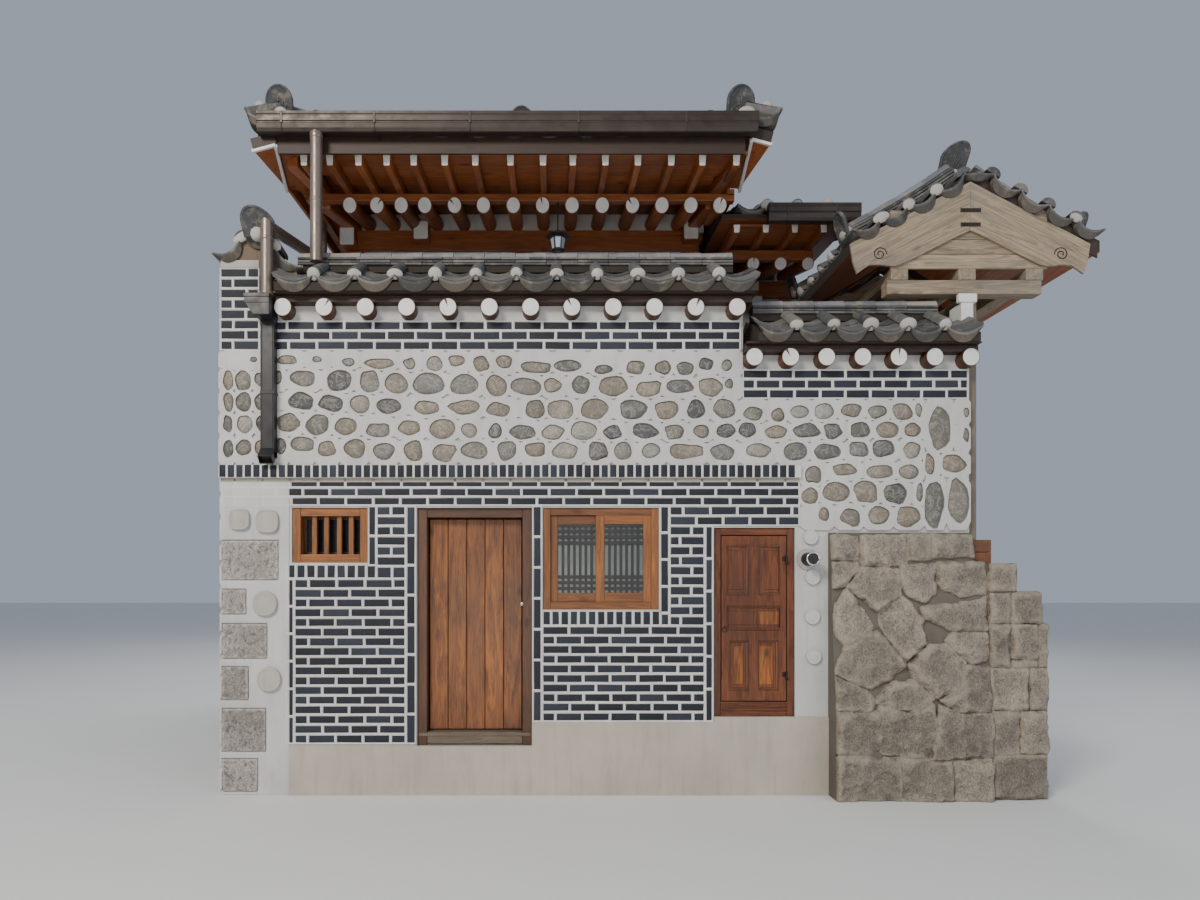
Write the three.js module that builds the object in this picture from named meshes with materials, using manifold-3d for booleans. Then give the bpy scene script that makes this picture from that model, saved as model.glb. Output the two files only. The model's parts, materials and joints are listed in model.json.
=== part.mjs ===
// A hanok house on a sloping street: a brick street storey, fieldstone walls with tiled caps, a timber hall
// with a hip-and-gable roof, a lower side wing and a roofed gate.
// Millimetres. X runs right along the street front, Y runs into the house and Z is up. Inside the house group
// the street face of the brick wall is y = 0, and z = 0 is the lowest ground, at the left corner.
import * as THREE from "three";
import { mergeVertices } from "three/addons/utils/BufferGeometryUtils.js";
import Module from "manifold-3d";

const wasm = await Module();
wasm.setup();

// Plan
const GAP = 0.3; // open joint between neighbouring pieces
const FRONT_HALF = 3445; // half the width of the street front
const WALL = 300; // thickness of the masonry walls
const DEPTH = 6900; // street face to back face of the masonry
const LEFT = -FRONT_HALF;
const RIGHT = FRONT_HALF;
const INNER_LEFT = LEFT + WALL;
const INNER_RIGHT = RIGHT - WALL;
const INNER_BACK = DEPTH - WALL;

// Heights of the masonry
const FLOOR_TOP = 550;
const FLOOR_THICK = 150;
const TERRACE_TOP = 2930;
const SLAB_THICK = 180;
const COURT_TOP = 2300;
const LEDGE_BOTTOM = 2873;
const LEDGE_TOP = 2995;
const HIGH_TOP = 4460; // foot of the fascia on the high wall
const LOW_TOP = 4015; // foot of the fascia on the low wall
const RUBBLE_TOP = 2380;
const GATE_SILL = 2100; // foot of the gate's sill, which lies on the rubble base and the side wall
const PLINTH_MIDDLE = 664; // top of the plinth between the two doors

// Joints in the street front
const PIER_END = -2830;
const STEP_X = 1290; // where the high wall steps down to the low one
const LEDGE_END = 1806;
const BRICK_END = 2064;
const CORNER_POST_X = 3345;

// How far pieces stand out from the street face, or in from it
const PLINTH_PROUD = 18;
const PIER_PROUD = 10;
const LEDGE_REACH = 62;
const RUBBLE_BACK = 450; // back face of the rubble base
const THROUGH = [-100, WALL + 100]; // span of a tool that cuts an opening through the street wall
const steps = { y0: -150, edges: [3964, 3900, 3690], tops: [1560, 1840, GATE_SILL] };

// Street openings
const plankDoor = { x0: -1673, x1: -627, foot: 445, head: 2609, jamb: 88, sill: 119, depth: 150, set: 30 };
const panelDoor = { x0: 1027, x1: 1764, foot: 709, head: 2427, jamb: 66, sill: 132, depth: 120, set: 20 };
const barredWindow = { x0: -2810, x1: -2118, foot: 2109, head: 2609, jamb: 76, depth: 150, set: 15 };
const sash = { set: 25, back: 60 };
const latticeWindow = { x0: -527, x1: 527, foot: 1682, head: 2609, jamb: 68, depth: 130, set: 15 };
const LEAF_THICK = 45;
const LEAF_CLEAR = 8; // running clearance round a door leaf
const hinge = { out: 12, pin: 5, bore: 5.6, knuckle: 9, height: 60, lug: 20, lugReach: 24, strap: 95 };
hinge.plankAbove = 240; // foot of the plank door's lower hinge over the foot of its leaf
hinge.plankBelow = 300; // foot of its upper hinge under the head of its leaf
hinge.panelLevels = [1060, 2115];
const vent = { x: 1870, z: 2140, flange: 95, flangeThick: 25, radius: 62, bore: 54, reach: 190 };
vent.boreDepth = 70;

// Cap roofs on the walls, measured from the foot of the fascia
const cap = { reach: 280, seat: 45, eave: 190, slopeTop: 400, ridgeTop: 545, ridgeHalf: 75, sideReach: 80 };
cap.frontStart = -2900; // the front cap starts beside the downpipe
const stub = { radius: 78, reach: 125, drop: 78, boardReach: 140, boardThick: 40 };

// Hall
const hall = { x0: -2775, x1: 1215, y0: 1750, y1: 6000, post: 200, wall: 120 };
const PLATE_TOP = 5895;
const PLATE_THICK = 230;
const rafter = { radius: 70, endY: 880, endZ: 5770, slope: 0.228, tailY: 1940 };
rafter.firstX = -2507;
rafter.pitch = 291;
rafter.count = 14;
const flying = { half: 38, halfHeight: 45, endY: 190, endZ: 5870, slope: 0.105, tailY: 1200 };
flying.pitch = 288.5;
flying.firstX = -2758;
flying.count = 15;
const eave = { front: 50, back: 7700, midLeft: -3050, midRight: 1450, flare: 230, lift: 130, top: 6120 };
const gableSet = 2150; // gable plane behind the eave
const sideSlope = { a: 0.3, b: 0.055e-3 };
const endSlope = { a: 0.24, b: 0.03e-3 };
const ridge = { half: 110, height: 260, hipHalf: 85, hipHeight: 200 };

// Rainwater pipes
const GUTTER_FOOT = 6010;
const pipe = { radius: 50, upper: { x: -2585, y: -6 } };
pipe.back = { x: -2986, y0: -142, y1: 1560, fallZ: 5110, riseZ: 5470, foot: 4450 };
const lantern = { x: -385, y: 945, foot: 5315, hoodFoot: 5460, hoodTop: 5520, bodyRadius: 95 };
lantern.hoodRadius = 128;

// Side wing
const wing = { x1: 2450, y0: 2450, y1: 5200, verge: 2700, eaveY0: 950, eaveY1: 6250, ridgeY: 3600 };
wing.plateTop = 5588;
wing.eaveBottom = 5660;
wing.eaveTop = 5760;
wing.ridgeTop = 6740;

// Gate
const gate = { x: 3450, y0: 0, y1: 2300, reach: 1150, eave: 5110, apex: 5790, thick: 150, ridgeInset: 600 };
const gatePost = { x0: 3345, x1: 3445, y0: 60, y1: 240, foot: 2320, top: 4575 };

// Finishes
const finishes = {};
function finish(name, color, roughness, metalness = 0) {
  finishes[name] = { color, roughness, metalness };
}
finish("concrete", 0xb3ada2, 0.9);
finish("brick", 0x3f434b, 0.85);
finish("plaster", 0xd6d5d1, 0.9);
finish("granite", 0xa39a90, 0.85);
finish("tile", 0x62636a, 0.8);
finish("pine", 0xa9561f, 0.55);
finish("oldPine", 0xa08a6c, 0.8);
finish("doorWood", 0x8a4a1c, 0.5);
finish("windowWood", 0xb9824d, 0.55);
finish("gutterMetal", 0x3b3430, 0.45, 0.7);
finish("pipeMetal", 0x6b625c, 0.4, 0.7);
finish("darkMetal", 0x1c1c1f, 0.4, 0.6);
finish("panes", 0x8d9494, 0.3);

const house = new THREE.Group();
house.position.set(0, -WALL / 2, 0); // the origin is under the middle of the front wall

// Adds a finished sub-part to the house.
function add(name, geometry, finishName) {
  const material = new THREE.MeshStandardMaterial(finishes[finishName]);
  const mesh = new THREE.Mesh(geometry, material);
  mesh.name = name;
  house.add(mesh);
  return mesh;
}

// Joining and cutting of closed geometries
function toSolid(geometry) {
  const bare = geometry.index ? geometry.toNonIndexed() : geometry.clone();
  bare.deleteAttribute("normal");
  bare.deleteAttribute("uv");
  const merged = mergeVertices(bare, 1e-3);
  const data = { numProp: 3, vertProperties: merged.attributes.position.array };
  data.triVerts = new Uint32Array(merged.index.array);
  return new wasm.Manifold(new wasm.Mesh(data));
}

function toGeometry(solid) {
  const mesh = solid.getMesh();
  const geometry = new THREE.BufferGeometry();
  geometry.setAttribute("position", new THREE.BufferAttribute(new Float32Array(mesh.vertProperties), 3));
  geometry.setIndex(Array.from(mesh.triVerts));
  const flat = geometry.toNonIndexed();
  flat.computeVertexNormals();
  return flat;
}

function join(...geometries) {
  return toGeometry(geometries.map(toSolid).reduce((all, one) => all.add(one)));
}

function cut(geometry, ...tools) {
  return toGeometry(tools.map(toSolid).reduce((all, one) => all.subtract(one), toSolid(geometry)));
}

// Basic shapes
function block(x0, x1, y0, y1, z0, z1) {
  const box = new THREE.BoxGeometry(x1 - x0, y1 - y0, z1 - z0);
  return box.translate((x0 + x1) / 2, (y0 + y1) / 2, (z0 + z1) / 2);
}

// A block that keeps its open joints to what stands beside, on and under it; it rests fully on the ground.
function masonry(x0, x1, y0, y1, z0, z1) {
  const half = GAP / 2;
  return block(x0 + half, x1 - half, y0 + half, y1 - half, z0 === 0 ? 0 : z0 + half, z1 - half);
}

function extrude(points, depth) {
  const shape = new THREE.Shape(points.map(([x, y]) => new THREE.Vector2(x, y)));
  return new THREE.ExtrudeGeometry(shape, { depth, bevelEnabled: false, curveSegments: 8 });
}

// An outline of [x, z] points, from y0 to y1.
function prismY(points, y0, y1) {
  const basis = new THREE.Matrix4().makeBasis(
    new THREE.Vector3(1, 0, 0),
    new THREE.Vector3(0, 0, 1),
    new THREE.Vector3(0, -1, 0),
  );
  return extrude(points, y1 - y0).applyMatrix4(basis).translate(0, y1, 0);
}

// An outline of [y, z] points, from x0 to x1.
function prismX(points, x0, x1) {
  const basis = new THREE.Matrix4().makeBasis(
    new THREE.Vector3(0, 1, 0),
    new THREE.Vector3(0, 0, 1),
    new THREE.Vector3(1, 0, 0),
  );
  return extrude(points, x1 - x0).applyMatrix4(basis).translate(x0, 0, 0);
}

// Turns a shape that stands along +Z at the origin so that it runs from one point to another.
function aim(geometry, from, to) {
  const start = new THREE.Vector3(...from);
  const along = new THREE.Vector3(...to).sub(start);
  const length = along.length();
  const forward = along.clone().normalize();
  const upright = Math.abs(forward.z) > 0.95 ? new THREE.Vector3(0, 1, 0) : new THREE.Vector3(0, 0, 1);
  const side = new THREE.Vector3().crossVectors(upright, forward).normalize();
  const up = new THREE.Vector3().crossVectors(forward, side);
  const matrix = new THREE.Matrix4().makeBasis(side, up, forward).setPosition(start);
  return geometry.translate(0, 0, length / 2).applyMatrix4(matrix);
}

function distance(from, to) {
  return new THREE.Vector3(...from).distanceTo(new THREE.Vector3(...to));
}

function rod(from, to, radius, sides = 8) {
  const bar = new THREE.CylinderGeometry(radius, radius, distance(from, to), sides).rotateX(Math.PI / 2);
  return aim(bar, from, to);
}

// A timber of rectangular section, or a run of stacked tiles, between two points on its centre line.
function beam(from, to, width, height) {
  return aim(new THREE.BoxGeometry(width, height, distance(from, to)), from, to);
}

// Street storey
function buildPlinth() {
  const top = [
    [BRICK_END, panelDoor.foot],
    [panelDoor.x0, panelDoor.foot],
    [panelDoor.x0, PLINTH_MIDDLE],
    [plankDoor.x1, PLINTH_MIDDLE],
    [plankDoor.x1, plankDoor.foot],
    [PIER_END, plankDoor.foot],
  ];
  const outline = [[PIER_END, 0], [BRICK_END, 0], ...top];
  const inset = outline.map(([x, z]) => [x === PIER_END ? x + GAP : x === BRICK_END ? x - GAP : x, z]);
  add("street_plinth", prismY(inset, -PLINTH_PROUD, WALL), "concrete");
}

function buildStreetWalls() {
  const y1 = WALL;
  const leftHole = block(barredWindow.x0, barredWindow.x1, ...THROUGH, barredWindow.foot, barredWindow.head);
  const left = masonry(PIER_END, plankDoor.x0, 0, y1, plankDoor.foot, LEDGE_BOTTOM);
  add("front_wall_left", cut(left, leftHole), "brick");
  const { x0, x1, foot, head } = latticeWindow;
  const sashHole = block(x0, x1, ...THROUGH, foot, head);
  const middle = masonry(plankDoor.x1, panelDoor.x0, 0, y1, PLINTH_MIDDLE, LEDGE_BOTTOM);
  add("front_wall_middle", cut(middle, sashHole), "brick");
  add("front_wall_right", masonry(panelDoor.x1, BRICK_END, 0, y1, panelDoor.foot, LEDGE_BOTTOM), "plaster");
  add("lintel_left", masonry(plankDoor.x0, plankDoor.x1, 0, y1, plankDoor.head, LEDGE_BOTTOM), "brick");
  add("lintel_right", masonry(panelDoor.x0, panelDoor.x1, 0, y1, panelDoor.head, LEDGE_BOTTOM), "brick");
  add("corner_pier", masonry(LEFT - PIER_PROUD, PIER_END, -PIER_PROUD, y1, 0, LEDGE_BOTTOM), "granite");
  const ledge = masonry(LEFT - PIER_PROUD, LEDGE_END, -LEDGE_REACH, y1, LEDGE_BOTTOM, LEDGE_TOP);
  add("brick_ledge", ledge, "brick");
}

// Upper walls over the ledge and the rubble base
function buildUpperWalls() {
  const topHigh = HIGH_TOP + cap.seat;
  const topLow = LOW_TOP + cap.seat;
  add("street_wall_high", masonry(LEFT, STEP_X, 0, WALL, LEDGE_TOP, topHigh), "plaster");
  const half = GAP / 2;
  const low = [
    [STEP_X + half, LEDGE_TOP + half],
    [LEDGE_END + half, LEDGE_TOP + half],
    [LEDGE_END + half, LEDGE_BOTTOM + half],
    [BRICK_END + half, LEDGE_BOTTOM + half],
    [BRICK_END + half, RUBBLE_TOP + half],
    [CORNER_POST_X - half, RUBBLE_TOP + half],
    [CORNER_POST_X - half, topLow - half],
    [STEP_X + half, topLow - half],
  ];
  add("street_wall_low", prismY(low, half, WALL - half), "plaster");
}

// Rubble base under the low wall, with a battered face and a seat for the gate's sill
function buildRubble() {
  const face = [
    [-210, 0],
    [-190, 800],
    [-70, 2080],
    [-30, RUBBLE_TOP - GAP / 2],
    [RUBBLE_BACK, RUBBLE_TOP - GAP / 2],
    [RUBBLE_BACK, 0],
  ];
  const seat = block(CORNER_POST_X - GAP, RIGHT + 10, -300, 600, GATE_SILL, RUBBLE_TOP + 10);
  add("rubble_base", cut(prismX(face, BRICK_END + GAP, RIGHT), seat), "granite");
  const flight = [[RIGHT + GAP, 0]];
  let foot = 0;
  for (let i = 0; i < steps.tops.length; i += 1) {
    flight.push([steps.edges[i], foot], [steps.edges[i], steps.tops[i]]);
    foot = steps.tops[i];
  }
  flight.push([RIGHT + GAP, foot]);
  add("gate_steps", prismY(flight, steps.y0, gate.y1), "granite");
}

// Side and back walls
function buildOtherWalls() {
  const topHigh = HIGH_TOP + cap.seat;
  const topLow = LOW_TOP + cap.seat;
  add("side_wall_left", masonry(LEFT, INNER_LEFT, WALL, DEPTH, 0, topHigh), "plaster");
  const right = [
    [RUBBLE_BACK + GAP, 0],
    [DEPTH, 0],
    [DEPTH, topLow],
    [gate.y1, topLow],
    [gate.y1, GATE_SILL],
    [RUBBLE_BACK + GAP, GATE_SILL],
  ];
  const kerb = block(INNER_RIGHT, CORNER_POST_X - GAP, RUBBLE_BACK + GAP, gate.y1, GATE_SILL - 10, COURT_TOP);
  add("side_wall_right", join(prismX(right, INNER_RIGHT, RIGHT), kerb), "granite");
  const back = [
    [INNER_LEFT + GAP, 0],
    [INNER_RIGHT - GAP, 0],
    [INNER_RIGHT - GAP, topLow],
    [STEP_X, topLow],
    [STEP_X, topHigh],
    [INNER_LEFT + GAP, topHigh],
  ];
  add("back_wall", prismY(back, INNER_BACK, DEPTH), "plaster");
}

// Floors: the street rooms' floor, the terrace slab over them and the sunken court behind the gate
const court = { x0: 1900, y1: wing.y0, wall: 150 };
function buildFloors() {
  const inner = [INNER_LEFT, INNER_RIGHT, WALL, INNER_BACK];
  const floor = masonry(...inner, FLOOR_TOP - FLOOR_THICK, FLOOR_TOP);
  const rubbleCorner = block(BRICK_END, RIGHT, 0, RUBBLE_BACK + GAP, 0, FLOOR_TOP + 10);
  add("street_floor", cut(floor, rubbleCorner), "concrete");
  const slab = masonry(...inner, TERRACE_TOP - SLAB_THICK, TERRACE_TOP);
  const well = block(court.x0, RIGHT, 0, court.y1, COURT_TOP, TERRACE_TOP + 10);
  add("terrace_slab", cut(slab, well), "concrete");
  const bottom = COURT_TOP - SLAB_THICK;
  const half = GAP / 2;
  const tray = join(
    block(court.x0 + half, INNER_RIGHT - half, WALL + half, court.y1 - half, bottom, COURT_TOP),
    block(court.x0 + half, court.x0 + court.wall, WALL + half, court.y1 - half, bottom, TERRACE_TOP),
    block(court.x0 + half, INNER_RIGHT - half, court.y1 - court.wall, court.y1 - half, bottom, TERRACE_TOP),
  );
  const corner = block(BRICK_END, RIGHT, 0, RUBBLE_BACK + GAP, 0, RUBBLE_TOP + GAP);
  add("courtyard_tray", cut(tray, corner), "concrete");
}

// A window or door lining: two jambs, a head and a sill, joined.
function lining(opening, sill = opening.jamb) {
  const { x0, x1, foot, head, jamb, depth, set } = opening;
  const half = GAP / 2;
  const outer = block(x0 + half, x1 - half, set, set + depth, foot + half, head - half);
  const inner = block(x0 + jamb, x1 - jamb, set - 50, set + depth + 50, foot + sill, head - jamb);
  return cut(outer, inner);
}

function buildWindows() {
  add("barred_window", lining(barredWindow), "windowWood");
  add("lattice_window_frame", lining(latticeWindow), "windowWood");
  const { x0, x1, foot, head, jamb, set } = latticeWindow;
  const edge = jamb + GAP;
  const sashes = block(x0 + edge, x1 - edge, set + sash.set, set + sash.back, foot + edge, head - edge);
  add("lattice_window_sashes", sashes, "panes");
}

// Span of a door leaf inside its frame, as [x0, x1, z0, z1]
function leafSpan({ x0, x1, foot, head, jamb, sill }) {
  const z0 = foot + sill + LEAF_CLEAR + 1;
  return [x0 + jamb + LEAF_CLEAR, x1 - jamb - LEAF_CLEAR, z0, head - jamb - LEAF_CLEAR];
}

// The frame's half of a hinge: a pin standing on a lug. The lug runs from the axis away from the leaf.
function framePin(x, y, z, away, seatY) {
  const pin = rod([x, y, z - 1], [x, y, z + hinge.height], hinge.pin, 12);
  const lug = rod([x, y, z - hinge.lug], [x, y, z], hinge.knuckle - 1, 12);
  const xs = [x, x + away * hinge.lugReach].sort((a, b) => a - b);
  const ys = [y + Math.sign(y - seatY) * 4, seatY].sort((a, b) => a - b);
  return [pin, lug, block(...xs, ys[0] - 1, ys[1] + 1, z - hinge.lug, z)];
}

// The leaf's half of a hinge: a bored knuckle and a strap on the leaf's face.
function leafKnuckle(x, y, z, away, faceY) {
  const knuckle = rod([x, y, z + GAP], [x, y, z + hinge.height], hinge.knuckle, 12);
  const xs = [x, x - away * hinge.strap].sort((a, b) => a - b);
  const ys = [faceY, faceY + Math.sign(y - faceY) * 6].sort((a, b) => a - b);
  return [knuckle, block(...xs, ys[0] - 0.5, ys[1] + 0.5, z + 8, z + hinge.height - 8)];
}

function hingeBores(x, y, levels) {
  return levels.map((z) => rod([x, y, z - 5], [x, y, z + hinge.height + 5], hinge.bore, 12));
}

// The plank door swings in on its left edge, the panelled door swings out on its right edge.
function buildDoors() {
  const [px0, px1, pz0, pz1] = leafSpan(plankDoor);
  const plankFrameBack = plankDoor.set + plankDoor.depth;
  const plankBack = plankFrameBack - 5;
  const plankAxisY = plankBack + hinge.out;
  const plankLevels = [pz0 + hinge.plankAbove, pz1 - hinge.plankBelow];
  const plankPins = plankLevels.flatMap((z) => framePin(px0, plankAxisY, z, -1, plankFrameBack));
  add("plank_door_frame", join(lining(plankDoor, plankDoor.sill), ...plankPins), "doorWood");
  const plankLeaf = block(px0, px1, plankBack - LEAF_THICK, plankBack, pz0, pz1);
  const plankStraps = plankLevels.flatMap((z) => leafKnuckle(px0, plankAxisY, z, -1, plankBack));
  const plankBores = hingeBores(px0, plankAxisY, plankLevels);
  add("plank_door", cut(join(plankLeaf, ...plankStraps), ...plankBores), "doorWood");

  const [qx0, qx1, qz0, qz1] = leafSpan(panelDoor);
  const panelFace = panelDoor.set + 5;
  const panelAxisY = panelFace - hinge.out;
  const panelPins = hinge.panelLevels.flatMap((z) => framePin(qx1, panelAxisY, z, 1, panelDoor.set));
  add("panel_door_frame", join(lining(panelDoor, panelDoor.sill), ...panelPins), "doorWood");
  const panelLeaf = block(qx0, qx1, panelFace, panelFace + LEAF_THICK, qz0, qz1);
  const panelStraps = hinge.panelLevels.flatMap((z) => leafKnuckle(qx1, panelAxisY, z, 1, panelFace));
  const panelBores = hingeBores(qx1, panelAxisY, hinge.panelLevels);
  add("panel_door", cut(join(panelLeaf, ...panelStraps), ...panelBores), "doorWood");
}

function buildVent() {
  const { x, z, reach } = vent;
  const flange = rod([x, -GAP, z], [x, -vent.flangeThick, z], vent.flange, 24);
  const pipe = rod([x, 5 - vent.flangeThick, z], [x, -reach, z], vent.radius, 24);
  const bore = rod([x, vent.boreDepth - reach, z], [x, -reach - 10, z], vent.bore, 24);
  add("vent_pipe", cut(join(flange, pipe), bore), "darkMetal");
}

// Section of a wall cap as [offset across the wall, height over the fascia's foot] points
function capSection(reachFront, reachBack) {
  const middle = WALL / 2;
  const fall = (cap.slopeTop - cap.eave) / (cap.reach + middle - cap.ridgeHalf);
  const edge = (reach) => cap.slopeTop - (reach + middle - cap.ridgeHalf) * fall;
  return [
    [-reachFront, cap.seat],
    [WALL + reachBack, cap.seat],
    [WALL + reachBack, edge(reachBack)],
    [middle + cap.ridgeHalf, cap.slopeTop],
    [middle + cap.ridgeHalf, cap.ridgeTop],
    [middle - cap.ridgeHalf, cap.ridgeTop],
    [middle - cap.ridgeHalf, cap.slopeTop],
    [-reachFront, edge(reachFront)],
  ];
}

// Height of a cap's tiles over the fascia's foot, at a place across the wall
function capHeightAt(across) {
  const fall = (cap.slopeTop - cap.eave) / (cap.reach + WALL / 2 - cap.ridgeHalf);
  return cap.slopeTop - Math.max(0, WALL / 2 - cap.ridgeHalf - across) * fall;
}

// Ridge-end tile: a thin plate with a round head, leaning out at the end of a ridge
function endTile(width, height, thick) {
  const shape = new THREE.Shape();
  const half = width / 2;
  shape.moveTo(-half, 0);
  shape.lineTo(half, 0);
  shape.lineTo(half, height - half);
  shape.absarc(0, height - half, half, 0, Math.PI, false);
  const plate = new THREE.ExtrudeGeometry(shape, { depth: thick, bevelEnabled: false, curveSegments: 8 });
  return plate.translate(0, 0, -thick / 2).rotateX(Math.PI / 2);
}

function placeEndTile(width, height, x, y, z, turn, lean = 0.35) {
  return endTile(width, height, 45).rotateX(lean).rotateZ(turn).translate(x, y, z);
}

function buildCapRoofs() {
  const section = capSection(cap.reach, cap.reach);
  const sideSection = capSection(cap.sideReach, cap.reach);
  const raise = (points, foot) => points.map(([across, up]) => [across, foot + up]);
  const front = prismX(raise(section, HIGH_TOP), cap.frontStart, STEP_X + 90);
  const leftSide = prismY(
    raise(sideSection, HIGH_TOP).map(([across, z]) => [LEFT + across, z]),
    -cap.sideReach,
    DEPTH + cap.sideReach,
  );
  const backPart = prismX(
    raise(sideSection, HIGH_TOP).map(([across, z]) => [DEPTH - across, z]),
    LEFT - cap.sideReach,
    STEP_X + 90,
  );
  const corner = placeEndTile(270, 270, LEFT + 170, -50, HIGH_TOP + 500, 0);
  add("cap_roof_high", join(front, leftSide, backPart, corner), "tile");
  const low = prismX(raise(section, LOW_TOP), STEP_X + 91, CORNER_POST_X - 1);
  add("cap_roof_low", low, "tile");
  const rightSide = prismY(
    raise(sideSection, LOW_TOP).map(([across, z]) => [RIGHT - across, z]),
    gate.y1 + 60,
    DEPTH + cap.sideReach,
  );
  const backRight = prismX(
    raise(sideSection, LOW_TOP).map(([across, z]) => [DEPTH - across, z]),
    STEP_X + 91,
    RIGHT + cap.sideReach,
  );
  add("cap_roof_right", join(rightSide, backRight), "tile");
}

// The round rafter ends under a wall cap, carried by their fascia board
function stubRow(x0, x1, firstX, pitch, count, foot) {
  const board = block(x0, x1, -stub.boardReach, -GAP, foot, foot + stub.boardThick);
  const stubs = [];
  for (let i = 0; i < count; i += 1) {
    const x = firstX + i * pitch;
    const z = foot - stub.drop + 6;
    stubs.push(rod([x, -GAP, z], [x, -stub.reach, z], stub.radius, 12));
  }
  return join(board, ...stubs);
}

function buildCapRafters() {
  add("cap_rafters_high", stubRow(-2928, STEP_X + 60, -2849, 368.8, 12, HIGH_TOP), "pine");
  add("cap_rafters_low", stubRow(STEP_X + 62, CORNER_POST_X, 1362, 322, 7, LOW_TOP), "pine");
}

// Hall frame: square posts joined by the wall plates over them
function buildHallFrame() {
  const { x0, x1, y0, y1, post } = hall;
  const foot = TERRACE_TOP + GAP;
  const under = PLATE_TOP - PLATE_THICK;
  const midX = (x0 + x1) / 2;
  const spots = [
    [x0, y0],
    [midX - post / 2, y0],
    [x1 - post, y0],
    [x0, y1 - post],
    [midX - post / 2, y1 - post],
    [x1 - post, y1 - post],
  ];
  const posts = spots.map(([x, y]) => block(x, x + post, y, y + post, foot, under + 10));
  const plates = [
    block(x0, x1, y0, y0 + post, under, PLATE_TOP),
    block(x0, x1, y1 - post, y1, under, PLATE_TOP),
    block(x0, x0 + post, y0, y1, under, PLATE_TOP),
    block(x1 - post, x1, y0, y1, under, PLATE_TOP),
  ];
  add("hall_frame", join(...plates, ...posts), "pine");
}

const hallDoor = { foot: TERRACE_TOP + 150, head: TERRACE_TOP + 2150, width: 1400, depth: 90 };

// The hall's fixed pair of lattice leaves, with its middle at x = 0
function hallPanel(opening, y) {
  const { foot, head, width, depth } = opening;
  return block(-width / 2 + GAP, width / 2 - GAP, y, y + depth, foot + GAP, head - GAP);
}

function buildHallWalls() {
  const { x0, x1, y0, y1, post, wall } = hall;
  const foot = TERRACE_TOP;
  const head = PLATE_TOP - PLATE_THICK;
  const inset = (post - wall) / 2;
  const midX = (x0 + x1) / 2;
  const bayX = (midX - post / 2 + x0 + post) / 2;
  const hole = (opening, x, y) =>
    block(x - opening.width / 2, x + opening.width / 2, y - 100, y + 300, opening.foot, opening.head);
  const spanX = (a, b, y) => masonry(a, b, y + inset, y + inset + wall, foot, head);
  const frontY = y0;
  const backY = y1 - post;
  const bays = [
    [x0 + post, midX - post / 2],
    [midX + post / 2, x1 - post],
  ];
  add("hall_wall_front_left", cut(spanX(...bays[0], frontY), hole(hallDoor, bayX, frontY)), "plaster");
  add("hall_wall_front_right", spanX(...bays[1], frontY), "plaster");
  add("hall_wall_back_left", spanX(...bays[0], backY), "plaster");
  add("hall_wall_back_right", spanX(...bays[1], backY), "plaster");
  const spanY = (x) => masonry(x + inset, x + inset + wall, y0 + post, y1 - post, foot, head);
  add("hall_wall_left", spanY(x0), "plaster");
  const passage = block(x1 - 400, x1 + 300, wing.y0 + 300, wing.y0 + 1300, foot + 5, foot + 2100);
  add("hall_wall_right", cut(spanY(x1 - post), passage), "plaster");
  const setBack = frontY + inset + 15;
  add("hall_doors", hallPanel(hallDoor, setBack).translate(bayX, 0, 0), "windowWood");
}

// Hall eaves: the same rows carry the street eave and, mirrored, the back eave.
const mirrorY = (y) => hall.y0 + hall.y1 - y;
const roundZ = (y) => rafter.endZ + (y - rafter.endY) * rafter.slope;
const flyingZ = (y) => flying.endZ + (y - flying.endY) * flying.slope;
const eaveBoardTop = flyingZ(900) - flying.halfHeight - 2 * GAP;

function roundRafterRow(placeY) {
  const rows = [];
  for (let i = 0; i < rafter.count; i += 1) {
    const x = rafter.firstX + i * rafter.pitch;
    const tail = x > hall.x1 - rafter.radius ? 1500 : rafter.tailY;
    const end = [x, placeY(rafter.endY), roundZ(rafter.endY)];
    rows.push(rod(end, [x, placeY(tail), roundZ(tail)], rafter.radius));
  }
  return rows;
}

// Short round rafters over a side wall, from the eave board to just inside the plate
function sideRafterRow(places, plateX, out) {
  const reach = 190;
  const plateZ = roundZ(hall.y0);
  const fall = reach * rafter.slope;
  return places.map((y) =>
    rod([plateX + out * reach, y, plateZ - fall], [plateX - out * reach, y, plateZ + fall], rafter.radius),
  );
}

function eaveBoards() {
  const from = hall.x0 - 185;
  const to = hall.x1 + 205;
  const sideTop = 5945;
  const sideFoot = eaveBoardTop - 20;
  return [
    block(from, to, 900, 990, eaveBoardTop - 60, eaveBoardTop),
    block(from, to, mirrorY(990), mirrorY(900), eaveBoardTop - 60, eaveBoardTop),
    block(from - 20, from + 60, 900, mirrorY(900), sideFoot, sideTop),
    block(to - 80, to, 900, 2100, sideFoot, sideTop),
    block(to - 80, to, mirrorY(2200), mirrorY(900), sideFoot, sideTop),
  ];
}

function hipRafters() {
  const tips = [
    [hall.x0 + 120, -3130],
    [hall.x1 - 120, 1500],
  ];
  const bars = [];
  for (const placeY of [(y) => y, mirrorY]) {
    for (const [bodyX, tipX] of tips) {
      bars.push(beam([bodyX, placeY(hall.y0 + 160), 5990], [tipX, placeY(130), 5925], 110, 120));
    }
  }
  return bars;
}

function buildHallRafters() {
  const { x0, x1, y0, y1 } = hall;
  const leftPlaces = [];
  for (let y = y0 + 330; y <= y1 - 300; y += 330) leftPlaces.push(y);
  const rightPlaces = [y0 + 330, y1 - 400];
  const rafters = [
    ...roundRafterRow((y) => y),
    ...roundRafterRow(mirrorY),
    ...sideRafterRow(leftPlaces, x0, -1),
    ...sideRafterRow(rightPlaces, x1, 1),
  ];
  add("hall_rafters", join(...eaveBoards(), ...hipRafters(), ...rafters), "pine");
}

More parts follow.
